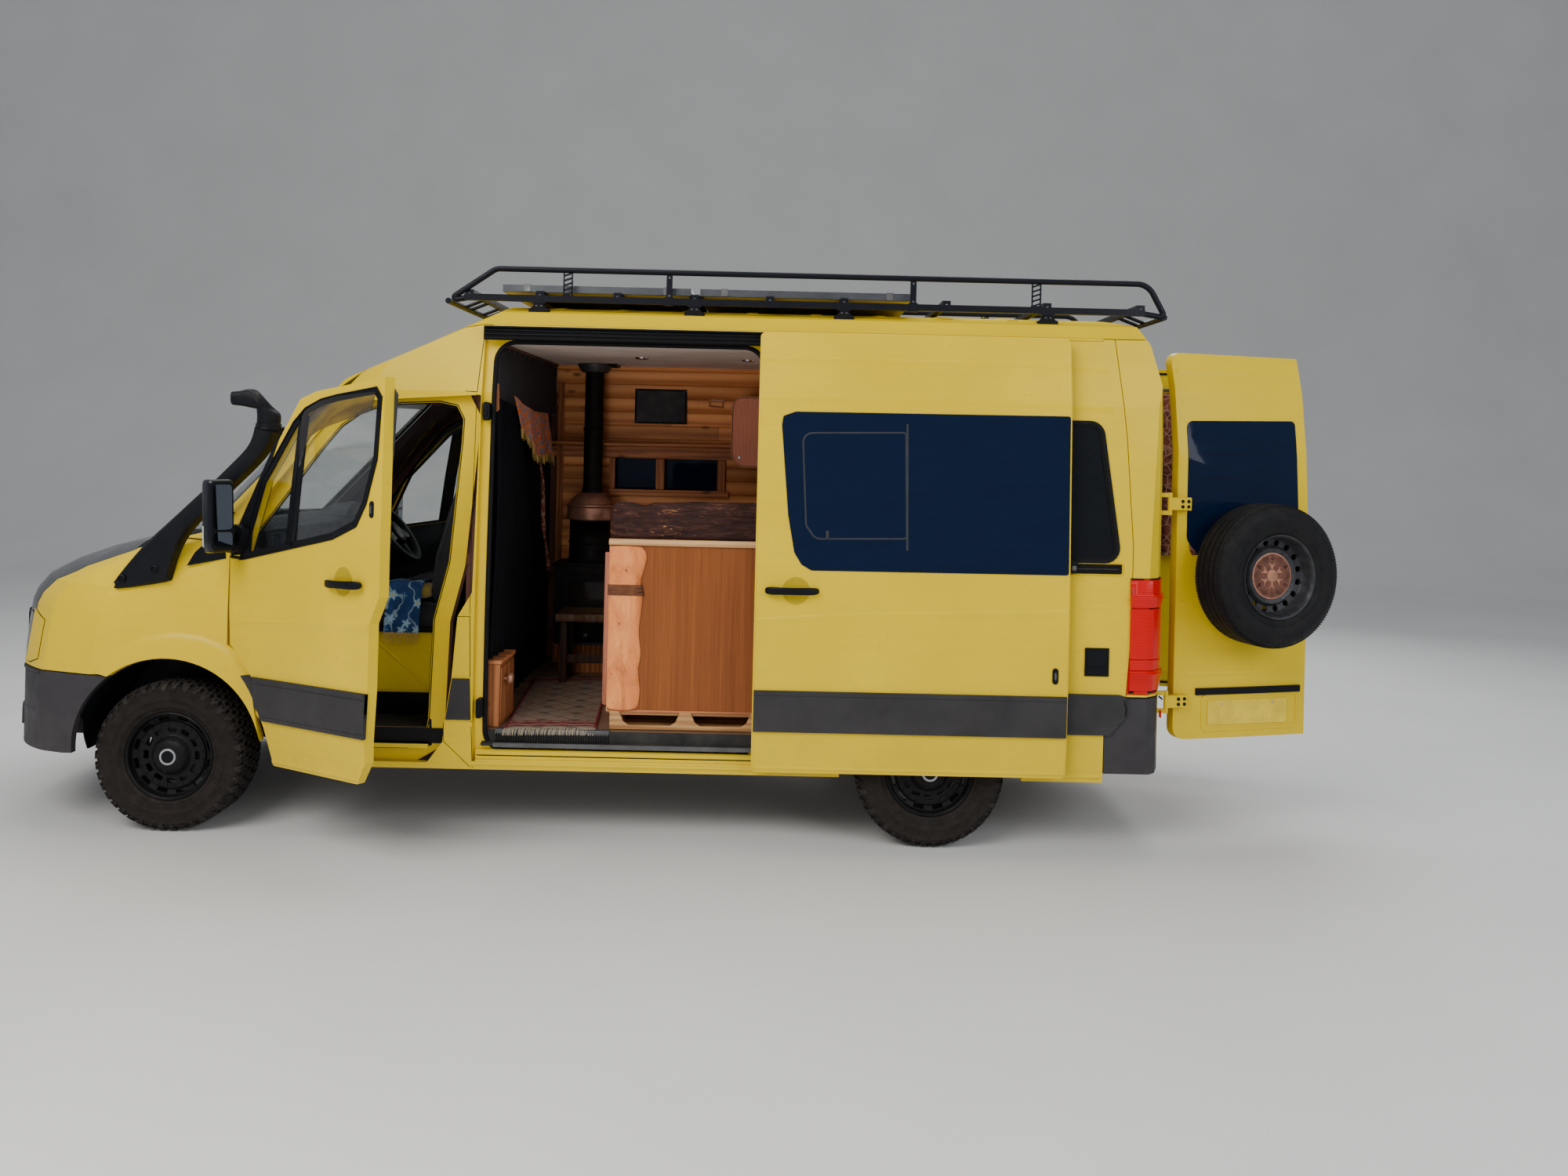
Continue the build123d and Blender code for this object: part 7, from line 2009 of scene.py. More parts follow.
# side doorway: rubber strip with ribs, a metal nosing and the sill behind the door's track
_m.add(prism([(-928, 520), (-925, 524), (-905, 526), (-880, 524), (-880, 519), (-928, 500)], "yz", 1560, 2110), 1)
_m.add(prism([(-966, 452), (-966, 462), (-930, 470), (-925, 521), (-922, 521), (-922, 440)], "yz", 1500, 2812), 0)
for k in range(46):
    x = 1566 + k * 12.0
    _m.add(prism([(-964, 461), (-932, 469), (-927, 506), (-930, 508), (-935, 473), (-964, 466)], "yz", x, x + 5.0), 2)
_m.add(prism([(-970, 446), (-962, 448), (-962, 468), (-970, 466)], "yz", 1560, 2812), 1)
_m.add(prism([(-925, 440), (-885, 440), (-885, 505), (-925, 505)], "yz", 1500, 2812), 0)
piece("side_threshold", _m, [RIBRUBBER, DULLSTEEL, RUBBER], "van_body", bevel=0.8)
for side in (-1, 1):
    ys = lambda y: side * y
    nm = "left" if side < 0 else "right"
    _m = Mesh()
    _m.add(prism([(ys(640), 436), (ys(958), 436), (ys(958), 448), (ys(652), 448), (ys(652), 522), (ys(640), 522)], "yz", 600, 1242), 0)
    _m.add(prism([(588, 436), (600, 436), (600, 860), (500, 860), (500, 850), (588, 850)], "xz", min(ys(640), ys(930)), max(ys(640), ys(930))), 1)
    _m.add(prism([(1242, 436), (1254, 436), (1254, 700), (1242, 700)], "xz", min(ys(640), ys(930)), max(ys(640), ys(930))), 1)
    for k in range(12):
        y = 676 + k * 22
        _m.add(prism([(ys(y), 447), (ys(y + 9), 447), (ys(y + 7), 451), (ys(y + 2), 451)], "yz", 640, 1210), 2)
    _m.add(prism([(ys(948), 430), (ys(962), 432), (ys(962), 452), (ys(948), 450)], "yz", 596, 1246), 3)
    _m.add(prism([(ys(925.5), 449), (ys(932), 449), (ys(932), 521), (ys(925.5), 521)], "yz", 604, 1385), 0)
    piece(nm + "_cab_step", _m, [BLACK, BLACK, RIBRUBBER, YELLOW], "van_body", bevel=1.5)
_m = Mesh()
_m.add(patch([(504, -640), (600, -900), (1400, -900), (1400, 900), (600, 900), (504, 640)], lambda a, b, o: (a, b, 520 + o), 0.3, 6.0, rows=10), 0)
piece("cab_floor_mat", _m, RIBRUBBER, "van_body")

# ------------------------------------------------------------------ cab linings
def in_skin(side, deep):
    def lift(a, b, o):
        return (a, side * (side_y(a, b) - deep - o), b)
    return lift


def slab_xy(x0, x1, y0, y1, z0, z1):
    o = rounded([(x0, y0), (x1, y0), (x1, y1), (x0, y1)], 28, 6)
    return loft([[(a, b, z) for a, b in o] for z in (z0, z1)])


def lifts_of_cab(nm):
    """The cab door's own skin, as it stands: the left one is open, the right one shut."""
    return on_cab if nm == "left" else on_right


def prism_on(lift, outline, lo, hi):
    o = rounded(outline, 22, 5)
    return loft([[lift(a, b, k) for a, b in o] for k in (lo, hi)])


for side in (-1, 1):
    nm = "left" if side < 0 else "right"
    L = in_skin(side, 66.0)
    _m = Mesh()
    # door post, its lower cover, and the strip over the door
    _m.add(patch([(1396, 560), (1402, 2120), (1502, 2240), (1502, 560)], L, -1.0, 5.0, rows=12), 0)
    _m.add(patch([(880, 2106), (1010, 2130), (1376, 2156), (1502, 2160), (1502, 2330), (1300, 2320), (1060, 2262), (880, 2190)], L, -1.0, 5.0, rows=6), 1)
    # windscreen post, and the lid over it
    post = [(316, 1404), (470, 1622), (646, 1872), (742, 1996), (848, 2072), (946, 2104)]
    _m.add(along(fine(post, 60), in_skin(side, 64.0), [(-42, -2), (-40, 7), (-22, 13), (22, 13), (38, 7), (40, -2)]), 0)
    piece(nm + "_cab_post_lining", _m, [CABLINER, LINER], "van_body")
    # inner trim of the cab door: frame round the glass, armrest panel with pull and pocket
    dl = lifts_of_cab(nm)
    _m = Mesh()
    _m.add(band(CAB_WINDOW, dl, 3, 46, -57, -49, step=40), 0)
    _m.add(patch([(420, 700), (400, 1310), (800, 1362), (1290, 1352), (1232, 1060), (1206, 620), (1120, 520), (700, 520)], dl, -60.0, -50.0, rows=10), 0)
    _m.add(prism_on(dl, [(640, 560), (1130, 560), (1168, 700), (1168, 740), (640, 740)], -98.0, -58.0), 1)
    _m.add(prism_on(dl, [(760, 1060), (1150, 1040), (1170, 1100), (1120, 1126), (760, 1120)], -104.0, -58.0), 1)
    piece(nm + "_cab_door_trim", _m, [DASH, BLACK], nm + "_cab_door", bevel=3.0)

# headlining over the seats, with its shelf edge and two folded sun blinds
_m = Mesh()
_m.add(patch([(1010, -800), (1486, -836), (1486, 836), (1010, 800)], lambda a, b, o: (a, b, 2126 + 16 * (1 - (b / 830.0) ** 2) + o), 0.0, 9.0, rows=12), 0)
_m.add(loft([[(a, y, z) for a, z in rounded([(1000, 2128), (1034, 2112), (1060, 2120), (1060, 2150), (1004, 2152)], 8, 4)] for y in (-790, -400, 0, 400, 790)]), 0)
for y in (-430, 430):
    _m.add(slab_xy(986, 1140, y - 250, y + 250, 2104, 2120), 1)
piece("cab_headlining", _m, [LINER, CABLINER], "van_body", bevel=2.0)

# ------------------------------------------------------------------ roof rack
_w, _z = SECTION[-1][0], SECTION[-1][1]
_RC = circle3((-_w, _z), (0.0, 2640.0), (_w, _z))


def roof_z(y):
    return _RC[1] + math.sqrt(max(0.0, _RC[2] ** 2 - y * y))


def on_roof(a, b, o):
    return (a, b, roof_z(b) + o)


m = Mesh()
for s in (-1, 1):
    Y = s * 760.0
    m.add(prism([(Y - 16, 2611), (Y + 16, 2611), (Y + 16, 2643), (Y - 16, 2643)], "yz", 1322, 4706), 0)
    top = rounded([(1334, 2624), (1236, 2606), (1476, 2772), (4722, 2772), (4812, 2606), (4700, 2624)], [1, 12, 70, 95, 14, 1], 9)
    m.add(tube([(x, Y, z) for x, z in top], 14.8, 16), 0)
    for x in (1834, 4166):
        for dx in (-24, 17):
            m.add(block(x + dx, x + dx + 7, Y - 4, Y + 4, 2640, 2764), 0)
        for k in range(5):
            z = 2652 + k * 24
            m.add(prism([(x - 20, z - 9), (x + 20, z + 5), (x + 20, z + 14), (x - 20, z)], "xz", Y - 4, Y + 4), 0)
        m.add(block(x - 27, x + 27, Y - 6, Y + 6, 2640, 2649), 0)
    for x in (2338, 3552):
        m.add(block(x - 15, x + 15, Y - 6, Y + 6, 2640, 2764), 0)
        m.add(rod((x - 24, Y, 2772), (x + 24, Y, 2772), 18.5 - 4.0, 20), 0)
        m.add(block(x - 22, x + 22, Y - 19, Y + 19, 2606, 2648), 0)
        for z in (2655, 2745):
            m.add(screw((x, Y + s * 6, z), (0, s, 0), 7, 4, 6), 1)
    for x in (1694, 2465, 3209, 4223):
        zb = roof_z(Y) + 1.0
        rings = []
        for z, hw, hy, lean in ((zb - 2, 50, 30, 0), (zb + 10, 50, 28, 0), (zb + 14, 40, 20, 0), (2598, 24, 15, 0), (2612, 26, 17, 0)):
            rings.append([(x + px, Y + py + lean, z + (0 if z > zb + 3 else (roof_z(Y + py) - roof_z(Y)))) for px, py in rounded([(-hw, -hy), (hw, -hy), (hw, hy), (-hw, hy)], 8, 3)])
        m.add(loft(rings), 2)
        m.add(block(x - 34, x + 34, Y - 18, Y + 18, 2603, 2613), 0)
        m.add(screw((x - 12, Y + s * 17, 2588), (0, s, 0), 7, 5, 6), 1)
        m.add(screw((x + 12, Y + s * 17, 2588), (0, s, 0), 7, 5, 6), 1)
        m.add(prism([(x - 44, zb - 18), (x + 44, zb - 18), (x + 30, zb + 22), (x - 30, zb + 22)], "xz", Y + s * 27 - 2, Y + s * 27 + 2), 2)
for x in (1345, 1694, 2080, 2465, 2840, 3209, 3720, 4223, 4690):
    m.add(block(x - 20, x + 20, -758, 758, 2642.5, 2666), 0)
    for s in (-1, 1):
        m.add(screw((x, s * 760, 2643), (0, 0, 1), 8, 6, 6), 1)
for x in (1240, 4808):
    m.add(rod((x, -760, 2607), (x, 760, 2607), 14.8, 16), 0)
for s in (-1, 1):
    for x0, x1 in ((1246, 1345), (4690, 4802)):
        for y in (-380, 0, 380):
            m.add(tube([(x0, y + s * 60, 2610 if x0 < 2000 else 2652), (x1, y + s * 60, 2652 if x0 < 2000 else 2610)], 9.0, 10), 0)
piece("rack_frame", m, [RACK, DULLSTEEL, RUBBER], "van_body", bevel=2.2, replaces="roof_rack")

# panels: frames, pale undersides with their boxes and clipped leads
ALLOY = plain("panel_frame_alloy", (0.10, 0.105, 0.115), scale=9.0, rough=(0.3, 0.45), bump=(500.0, 0.1, 0.0004), metal=0.8)
BACKSHEET = plain("panel_backsheet", (0.60, 0.54, 0.40), (0.68, 0.62, 0.47), scale=3.0, rough=(0.45, 0.6), bump=(90.0, 0.1, 0.0006))
m = Mesh()
for x0, x1 in ((1500, 2440), (2490, 3560)):
    o = [(x0, -700), (x1, -700), (x1, 700), (x0, 700)]
    m.add(band(o, lambda a, b, q: (a, b, 2667 + q), -14, 3, -1.5, 35.0, step=2000), 0)
    m.add(prism([(x0 + 12, -688), (x1 - 12, -688), (x1 - 12, 688), (x0 + 12, 688)], "xy", 2664.5, 2667.5), 1)
    xm = (x0 + x1) / 2
    m.add(prism(rounded([(xm - 60, 520), (xm + 60, 520), (xm + 60, 610), (xm - 60, 610)], 10, 4), "xy", 2648, 2665), 2)
    for a in (x0 + (x1 - x0) / 2,):
        m.add(block(a - 2, a + 2, -690, 690, 2666, 2701.5), 0)
    for x in (x0 + 120, x1 - 120):
        for s in (-1, 1):
            m.add(prism([(s * 700, 2664), (s * 724, 2664), (s * 724, 2668), (s * 708, 2670), (s * 704, 2706), (s * 690, 2706), (s * 690, 2702), (s * 700, 2701)], "yz", x - 18, x + 18), 3)
piece("panel_frames_and_backs", m, [ALLOY, BACKSHEET, BLACK, DULLSTEEL], "van_body", bevel=1.0)
m = Mesh()
for y, x0, x1 in ((-560, 1716, 2440), (-560, 2490, 3190)):
    pts = [(x0 + (x1 - x0) * k / 24, y + 3 * math.sin(k), 2637.0 - 1.5 * math.sin(math.pi * k / 24)) for k in range(25)]
    m.add(tube(pts, 4.0, 8), 0)
    for x in range(int(x0) + 40, int(x1), 120):
        m.add(block(x - 6, x + 6, y - 8, y + 8, 2631, 2643.5), 0)
piece("clipped_panel_leads", m, [BLACK], "van_body")

# ------------------------------------------------------------------ roof: pressed ribs, gutter edge
m = Mesh()
for x in range(1760, 4400, 330):
    pts = [(x, y) for y in range(-660, 661, 60)]
    m.add(along(pts, on_roof, [(-34, -1), (-22, 4.5), (22, 4.5), (34, -1)]), 0)
# ribs in the darker roof yellow: painted shade
piece("roof_ribs", m, ROOF_SHADE_PAINT, "van_body", sharp=25)
for side in (-1, 1):
    lf = on_left if side < 0 else on_right
    m = Mesh()
    m.add(along(fine([(1500, 2474), (4470, 2474)], 120), lf, [(-5, -1), (-6, 5), (0, 8), (5, 5), (6, -1)]), 0)
    piece(("left" if side < 0 else "right") + "_gutter_edge", m, YELLOW, "van_body", sharp=30)

# ------------------------------------------------------------------ arch liners
for side in (-1, 1):
    nm = "left" if side < 0 else "right"
    path = [(457.0 * math.cos(math.radians(a)), 385 + 457.0 * math.sin(math.radians(a))) for a in range(183, 27, -6)]
    path += [(394, 614), (451, 553), (488, 440), (517, 330)]
    m = Mesh()
    rings = []
    k = len(path)
    for i, (x, z) in enumerate(path):
        a = path[max(0, i - 1)]
        b = path[min(k - 1, i + 1)]
        d = Vector((b[0] - a[0], b[1] - a[1])).normalized()
        nx, nz = d.y, -d.x
        if nx * (0 - x) + nz * (385 - z) < 0:
            nx, nz = -nx, -nz
        rim = 951.0 if i > 3 else 905.0 - 25 * (3 - i)
        rings.append([(x + nx * q, side * yy, z + nz * q) for yy, q in ((524, 0.5), (rim, 0.5), (rim, 6.0), (rim - 12, 7.5), (rim - 60, 5.0), (524, 5.0))])
    m.add(loft(rings), 0)
    disc = [(455.0 * math.cos(math.radians(a)), 385 + 455.0 * math.sin(math.radians(a))) for a in range(156, 23, -6)]
    m.add(prism(disc, "xz", *sorted((side * 519.0, side * 525.0))), 0)
    for a in range(20, 170, 26):
        x, z = 450 * math.cos(math.radians(a)), 385 + 450 * math.sin(math.radians(a))
        m.add(screw((x, side * 880.0, z), (-math.cos(math.radians(a)), 0, -math.sin(math.radians(a))), 8, 4, 12), 0)
    piece(nm + "_front_arch_liner", m, BLACK, "van_body", sharp=30)
    m = Mesh()
    m.add(prism([(3216, side * 661), (4114, side * 661), (4114, side * 930), (3216, side * 930)], "xy", 823, 829.5), 0)
    m.add(prism([(3215.5, 472), (4114.5, 472), (4114.5, 826), (3215.5, 826)], "xz", *sorted((side * 660.5, side * 666.0))), 0)
    for x in (3215.5, 4109.0):
        m.add(prism([(side * 662, 500), (side * 925, 500), (side * 925, 826), (side * 662, 826)], "yz", x, x + 5.5), 0)
    m.add(band([(3665 + 442 * math.cos(math.radians(a)), 385 + 442 * math.sin(math.radians(a))) for a in range(176, 3, -8)],
               on_left if side < 0 else on_right, -2, 22, -58, -50, closed=False), 0)
    piece(nm + "_rear_arch_liner", m, CHASSIS, "van_body")

# ------------------------------------------------------------------ front: grille, lamps, bumper, plate, wipers
m = Mesh()
m.add(patch([(-500, 766), (-500, 992), (500, 992), (500, 766)], on_nose, 0.5, 3.0, rows=4, step=50), 1)
for z in (792, 832, 872, 912, 952):
    m.add(along(fine([(-498, z), (498, z)], 50), on_nose, [(-11, 0.5), (-9, 15), (-3, 20), (5, 18), (11, 10), (12, 0.5)]), 0)
m.add(band(rounded([(-508, 764), (-508, 994), (508, 994), (508, 764)], 22, 4), on_nose, -12, 6, -1, 24, step=50), 0)
m.add(patch(rounded([(-86, 812), (-86, 944), (86, 944), (86, 812)], 60, 6), on_nose, 1.0, 24.0, rows=6, step=24), 0)
piece("grille_slats", m, [BLACK, SEAM], "van_body", bevel=1.2)
REFLECT = plain("lamp_reflector", (0.62, 0.63, 0.66), scale=8.0, rough=(0.06, 0.16), bump=(30.0, 0.05, 0.0006), metal=1.0)
AMBER = glass("amber_lens", (0.85, 0.30, 0.02), 0.08)
for side in (-1, 1):
    nm = "left" if side < 0 else "right"
    out = [(side * 846, 806), (side * 846, 986), (side * 700, 1030), (side * 530, 994), (side * 530, 776), (side * 780, 776)]
    m = Mesh()
    m.add(patch(out, on_nose, -70, -58, rows=6, step=40), 0)
    m.add(band(out, on_nose, -9, 0, -60, -6, step=50), 0)
    for y, z, r in ((632, 900, 72),):
        x = nose_xz(y, z) + 12
        prof = [(r, 2), (r + 4, 0), (r + 4, 30)]
        m.add(lathe([(r * math.sin(t), 46 * (1 - math.cos(t)) - 46) for t in (math.pi / 2 * k / 8 for k in range(1, 9))] + [(r + 5, -2), (r + 5, 10), (r - 2, 14), (20, 52), (0, 52)],
                      (x + 58, side * y, z), (-1, 0, 0), 36, cap=False), 1)
        m.add(lathe([(0, 0), (12, 1), (16, 8), (15, 22), (8, 32), (0, 34)], (x + 44, side * y, z), (-1, 0, 0), 20), 2)
    m.add(patch([(side * 538, 790), (side * 556, 788), (side * 556, 984), (side * 538, 984)], on_nose, -56, -44, rows=4, step=20), 3)
    piece(nm + "_headlamp_inside", m, [BLACK, REFLECT, LAMPCLEAR, AMBER], "van_body")
    piece(nm + "_lamp_corner_skin", Mesh().add(patch([(side * 849, 801), (side * 849, 990), (side * 722, 1028), (side * 722, 774), (side * 780, 774)], on_nose, 0.6, 3.4, rows=8, step=16), 0), YELLOW, "van_body", sharp=30)
m = Mesh()
m.add(patch([(-430, 402), (-430, 520), (430, 520), (430, 402)], on_nose, 0.3, 2.5, rows=3, step=50), 1)
for z in (424, 452, 480, 506):
    m.add(along(fine([(-428, z), (428, z)], 60), on_nose, [(-7, 0.5), (-5, 9), (5, 9), (7, 0.5)]), 0)
m.add(band(rounded([(-438, 396), (-438, 528), (438, 528), (438, 396)], 26, 4), on_nose, -8, 6, -1, 12, step=60), 0)
for s in (-1, 1):
    o = rounded([(s * 540, 436), (s * 540, 540), (s * 690, 546), (s * 700, 452)], 24, 4)
    m.add(patch(o, on_nose, 0.3, 4.0, rows=4, step=20), 1)
    m.add(band(o, on_nose, -3, 7, -1, 9, step=40), 0)
    m.add(patch(rounded([(s * 150, 700), (s * 150, 736), (s * 186, 736), (s * 186, 700)], 8, 3), on_nose, 0.3, 3.0, rows=2, step=10), 0)
m.add(along(fine([(-880, 741), (880, 741)], 50), on_nose, [(-6, -1), (-6, 5), (0, 8), (6, 5), (6, -1)]), 0)
m.add(along(fine([(-870, 556), (-500, 560), (500, 560), (870, 556)], 50), on_nose, [(-4, -0.5), (0, 3.5), (4, -0.5)]), 0)
piece("front_bumper_details", m, [GREY, SEAM], "van_body")
m = Mesh()
m.add(patch([(-262, 576), (-262, 692), (262, 692), (262, 576)], on_nose, 4.0, 14.0, rows=2, step=80), 0)
m.add(patch([(-256, 582), (-256, 686), (256, 686), (256, 582)], on_nose, 14.0, 16.0, rows=2, step=80), 1)
piece("front_blank_plate", m, [BLACK, plain("white_plate", (0.66, 0.66, 0.63), scale=9.0, rough=(0.3, 0.5), bump=(300.0, 0.1, 0.0004))], "van_body", bevel=1.0)

# wipers and the windscreen's border
_t = math.tan(math.radians(47.0))
_SP = circle3((130.0, -880.0), (-215.0, 0.0), (130.0, 880.0))


def on_screen(a, b, o):
    """a across the van, b the height."""
    x = _SP[0] - math.sqrt(_SP[2] ** 2 - a * a) + (b - 1400.0) / _t
    c = 0.73
    return (x - c * o, a, b + 0.68 * o)


m = Mesh()
for y0, y1, z1 in ((560, -60, 1478), (-40, -640, 1482)):
    m.add(tube([on_screen(y0 + (y1 - y0) * k / 12, 1456 + (z1 + 60 - 1456) * k / 12, 22 + 8 * math.sin(math.pi * k / 12)) for k in range(9)], 6.0, 8), 0)
    m.add(tube([on_screen(y1 + 300 - 560 * k / 14, 1505 + 26 * k / 14, 9) for k in range(15)], 5.0, 8), 1)
    m.add(tube([on_screen(y1 + 300 - 560 * k / 14, 1505 + 26 * k / 14, 16) for k in range(15)], 3.5, 8), 0)
    m.add(lathe([(0, 0), (20, 0), (18, 24), (10, 34), (0, 35)], on_screen(y0, 1452, 4), (-0.73, 0, 0.68), 20), 0)
piece("wipers", m, [BLACK, RUBBER], "van_body")
m = Mesh()
for z, w in ((1452, 46), (2132, 60)):
    m.add(along(fine([(-770, z), (770, z)], 60), on_screen, [(-w / 2, 0.4), (-w / 2, 1.6), (w / 2, 1.6), (w / 2, 0.4)]), 0)
for s in (-1, 1):
    m.add(along(fine([(s * 762, 1440), (s * 762, 2140)], 60), on_screen, [(-18, 0.4), (-18, 1.6), (18, 1.6), (18, 0.4)]), 0)
piece("windscreen_border", m, GLOSSBLACK, "van_body")

# ------------------------------------------------------------------ rear bumper and doors' surround
m = Mesh()
for s in (-1, 1):
    m.add(patch(rounded([(s * 866, 640), (s * 866, 676), (s * 900, 676), (s * 900, 640)], 5, 3), on_tail, 0.5, 5.0, rows=2, step=10), 1)
    m.add(along(fine([(s * 856, 738), (s * 928, 738)], 20), on_tail, [(-4, -1), (-4, 3), (4, 3), (4, -1)]), 0)
piece("rear_bumper_details", m, [GREY, RED_LENS_PAINTED_GLOW], "van_body")
m = Mesh()
for k in range(9):
    x = 4650 + k * 16
    m.add(block(x, x + 7, -760, 760, 499, 504), 0)
m.add(prism([(4636, 492), (4800, 492), (4800, 500), (4636, 500)], "xz", -768, 768), 0)
piece("rear_step_tread", m, RIBRUBBER, "van_body", bevel=1.0)
way = rounded([(-772, 506), (772, 506), (772, 2446), (-772, 2446)], 66, 6)
m = Mesh().add(along(fine(way, 60, True), lambda a, b, o: (tail_x(a, b) - 60 + o, a, b), [(-3 + 10 * math.cos(g), 10 * math.sin(g)) for g in (2 * math.pi * k / 8 for k in range(8))], True), 0)
piece("rear_doorway_seal", m, RUBBER, "van_body")

# ------------------------------------------------------------------ underneath
m = Mesh()
tank = rounded([(-868, 332), (-500, 322), (-500, 404), (-868, 404)], 30, 5)
m.add(loft([[(x, -684 + (y + 684) * k, 363 + (z - 363) * k) for y, z in tank] for x, k in ((1010, 0.88), (1018, 0.96), (1040, 1.0), (1690, 1.0), (1712, 0.96), (1720, 0.88))]), 0)
for x in (1180, 1550):
    m.add(loft([[(x + dx, -684 + (y + 684) * 1.012, 363 + (z - 363) * 1.05) for y, z in tank] for dx in (-18, 18)]), 1)
m.add(tube([(1320, -870, 380), (1360, -905, 470), (1400, -925, 560), (1420, -930, 600)], 18.0, 12), 1)
piece("fuel_tank", m, [CHASSIS, DULLSTEEL], "van_body", bevel=3.0)
EXH = plain("exhaust_steel", (0.13, 0.105, 0.085), (0.20, 0.14, 0.10), scale=12.0, rough=(0.5, 0.75), bump=(120.0, 0.4, 0.001), metal=0.7)
m = Mesh()
pp = rounded([(-120, 260), (430, 290), (660, 560), (1560, 560), (2450, 560), (2900, 560), (3040, 700), (3060, 940)], [1, 120, 120, 60, 60, 160, 110, 1], 8)
m.add(tube([(x, y, 392.0 - (22.0 if 300 < x < 2900 else 0.0)) for x, y in fine(pp, 80)], 27.0, 14), 0)
sil = rounded([(560 - 110, 372 - 62), (560 + 110, 372 - 62), (560 + 110, 372 + 34), (560 - 110, 372 + 34)], 46, 8)
m.add(loft([[(x, 560 + (y - 560) * k, 358 + (z - 358) * k) for y, z in sil] for x, k in ((2060, 0.5), (2075, 0.93), (2086, 1.0), (2700, 1.0), (2712, 0.93), (2726, 0.5))]), 0)
for x in (900, 2050, 2750):
    m.add(prism([(540, 392), (580, 392), (580, 469), (540, 469)], "yz", x - 8, x + 8), 1)
piece("exhaust", m, [EXH, RUBBER], "van_body")

# ------------------------------------------------------------------ cab: dashboard
m = Mesh()
WH = Vector((652.0, 380.0, 1356.0))
WN = Vector((0.80, 0.0, 0.60))
_a, _u, _v = axes_of(WN)


def wheel_at(r, g, t=0.0):
    p = WH + (_u * math.cos(g) + _v * math.sin(g)) * r + _a * t
    return (p.x, p.y, p.z)


m.add(tube([wheel_at(188.5, 2 * math.pi * k / 64) for k in range(64)], 17.6, 14, closed=True), 0)
for g0 in (0.0, math.pi, math.pi * 1.5):
    g0 += math.radians(12.0 if g0 == 0.0 else (-12.0 if g0 < 4 else 0.0))
    m.add(loft([[wheel_at(r, g0 + w / r, t) for w, t in ((-hw, 2), (hw, 2), (hw, 18), (-hw, 18))] for r, hw in ((50, 34), (100, 24), (174, 17))]), 0)
m.add(lathe([(0, -12), (60, -12), (78, -2), (80, 14), (70, 26), (40, 32), (0, 34)], tuple(WH), tuple(WN), 40), 0)
piece("steering_wheel_detail", m, BLACK, "van_body", sharp=50)
m = Mesh()
# cowl over the dials, centre stack, vents, shelf lip, glove box
m.add(loft([[(x, y, 1478 + h * math.sin(math.pi * q) ** 0.7 if 0.0 < q < 1.0 else 1470) for q, y in ((k / 12, 180 + 400 * k / 12) for k in range(13))] +
            [(x, y, 1462) for y in (580, 180)] for x, h in ((250, 10), (300, 46), (392, 62), (430, 56), (436, 44))]), 0)
m.add(prism([(404, 1180), (440, 1190), (446, 1400), (412, 1430)], "xz", -150, 130), 0)
m.add(prism([(440, 1286), (449, 1288), (452, 1380), (443, 1380)], "xz", -122, 102), 1)
for y0, y1 in ((-140, -30), (10, 120), (-850, -740), (740, 850)):
    z0, z1 = (1388, 1448) if abs(y0) < 200 else (1370, 1440)
    m.add(band([(y0, z0), (y1, z0), (y1, z1), (y0, z1)], lambda a, b, o: (428 + 0.0 * b + o, a, b), -9, 0, -8, 12, step=400), 0)
    for k in range(5):
        z = z0 + 8 + k * (z1 - z0 - 12) / 5
        m.add(block(424, 438, y0 + 4, y1 - 4, z, z + 3.5), 1)
m.add(prism([(420, 1200), (436, 1206), (440, 1330), (424, 1350)], "xz", -800, -220), 0)
for k in range(4):
    m.add(lathe([(0, 0), (17, 0), (15, 14), (0, 16)], (446, -96 + k * 58, 1236), (0.98, 0, 0.15), 20), 1)
m.add(tube([(446, -10, 1130), (520, -14, 1150), (560, -16, 1180)], [22, 14, 10], 12), 1)
m.add(lathe([(0, -20), (20, -16), (26, 4), (20, 22), (0, 28)], (566, -16, 1190), (0.5, 0, 0.86), 20), 1)
for s in (-1, 1):
    m.add(tube([(560, 380 + s * 60, 1330), (600, 380 + s * 150, 1346), (606, 380 + s * 190, 1350)], [7, 6, 8], 10), 1)
piece("dashboard_details", m, [DASH, GLOSSBLACK], "van_body", bevel=2.0)

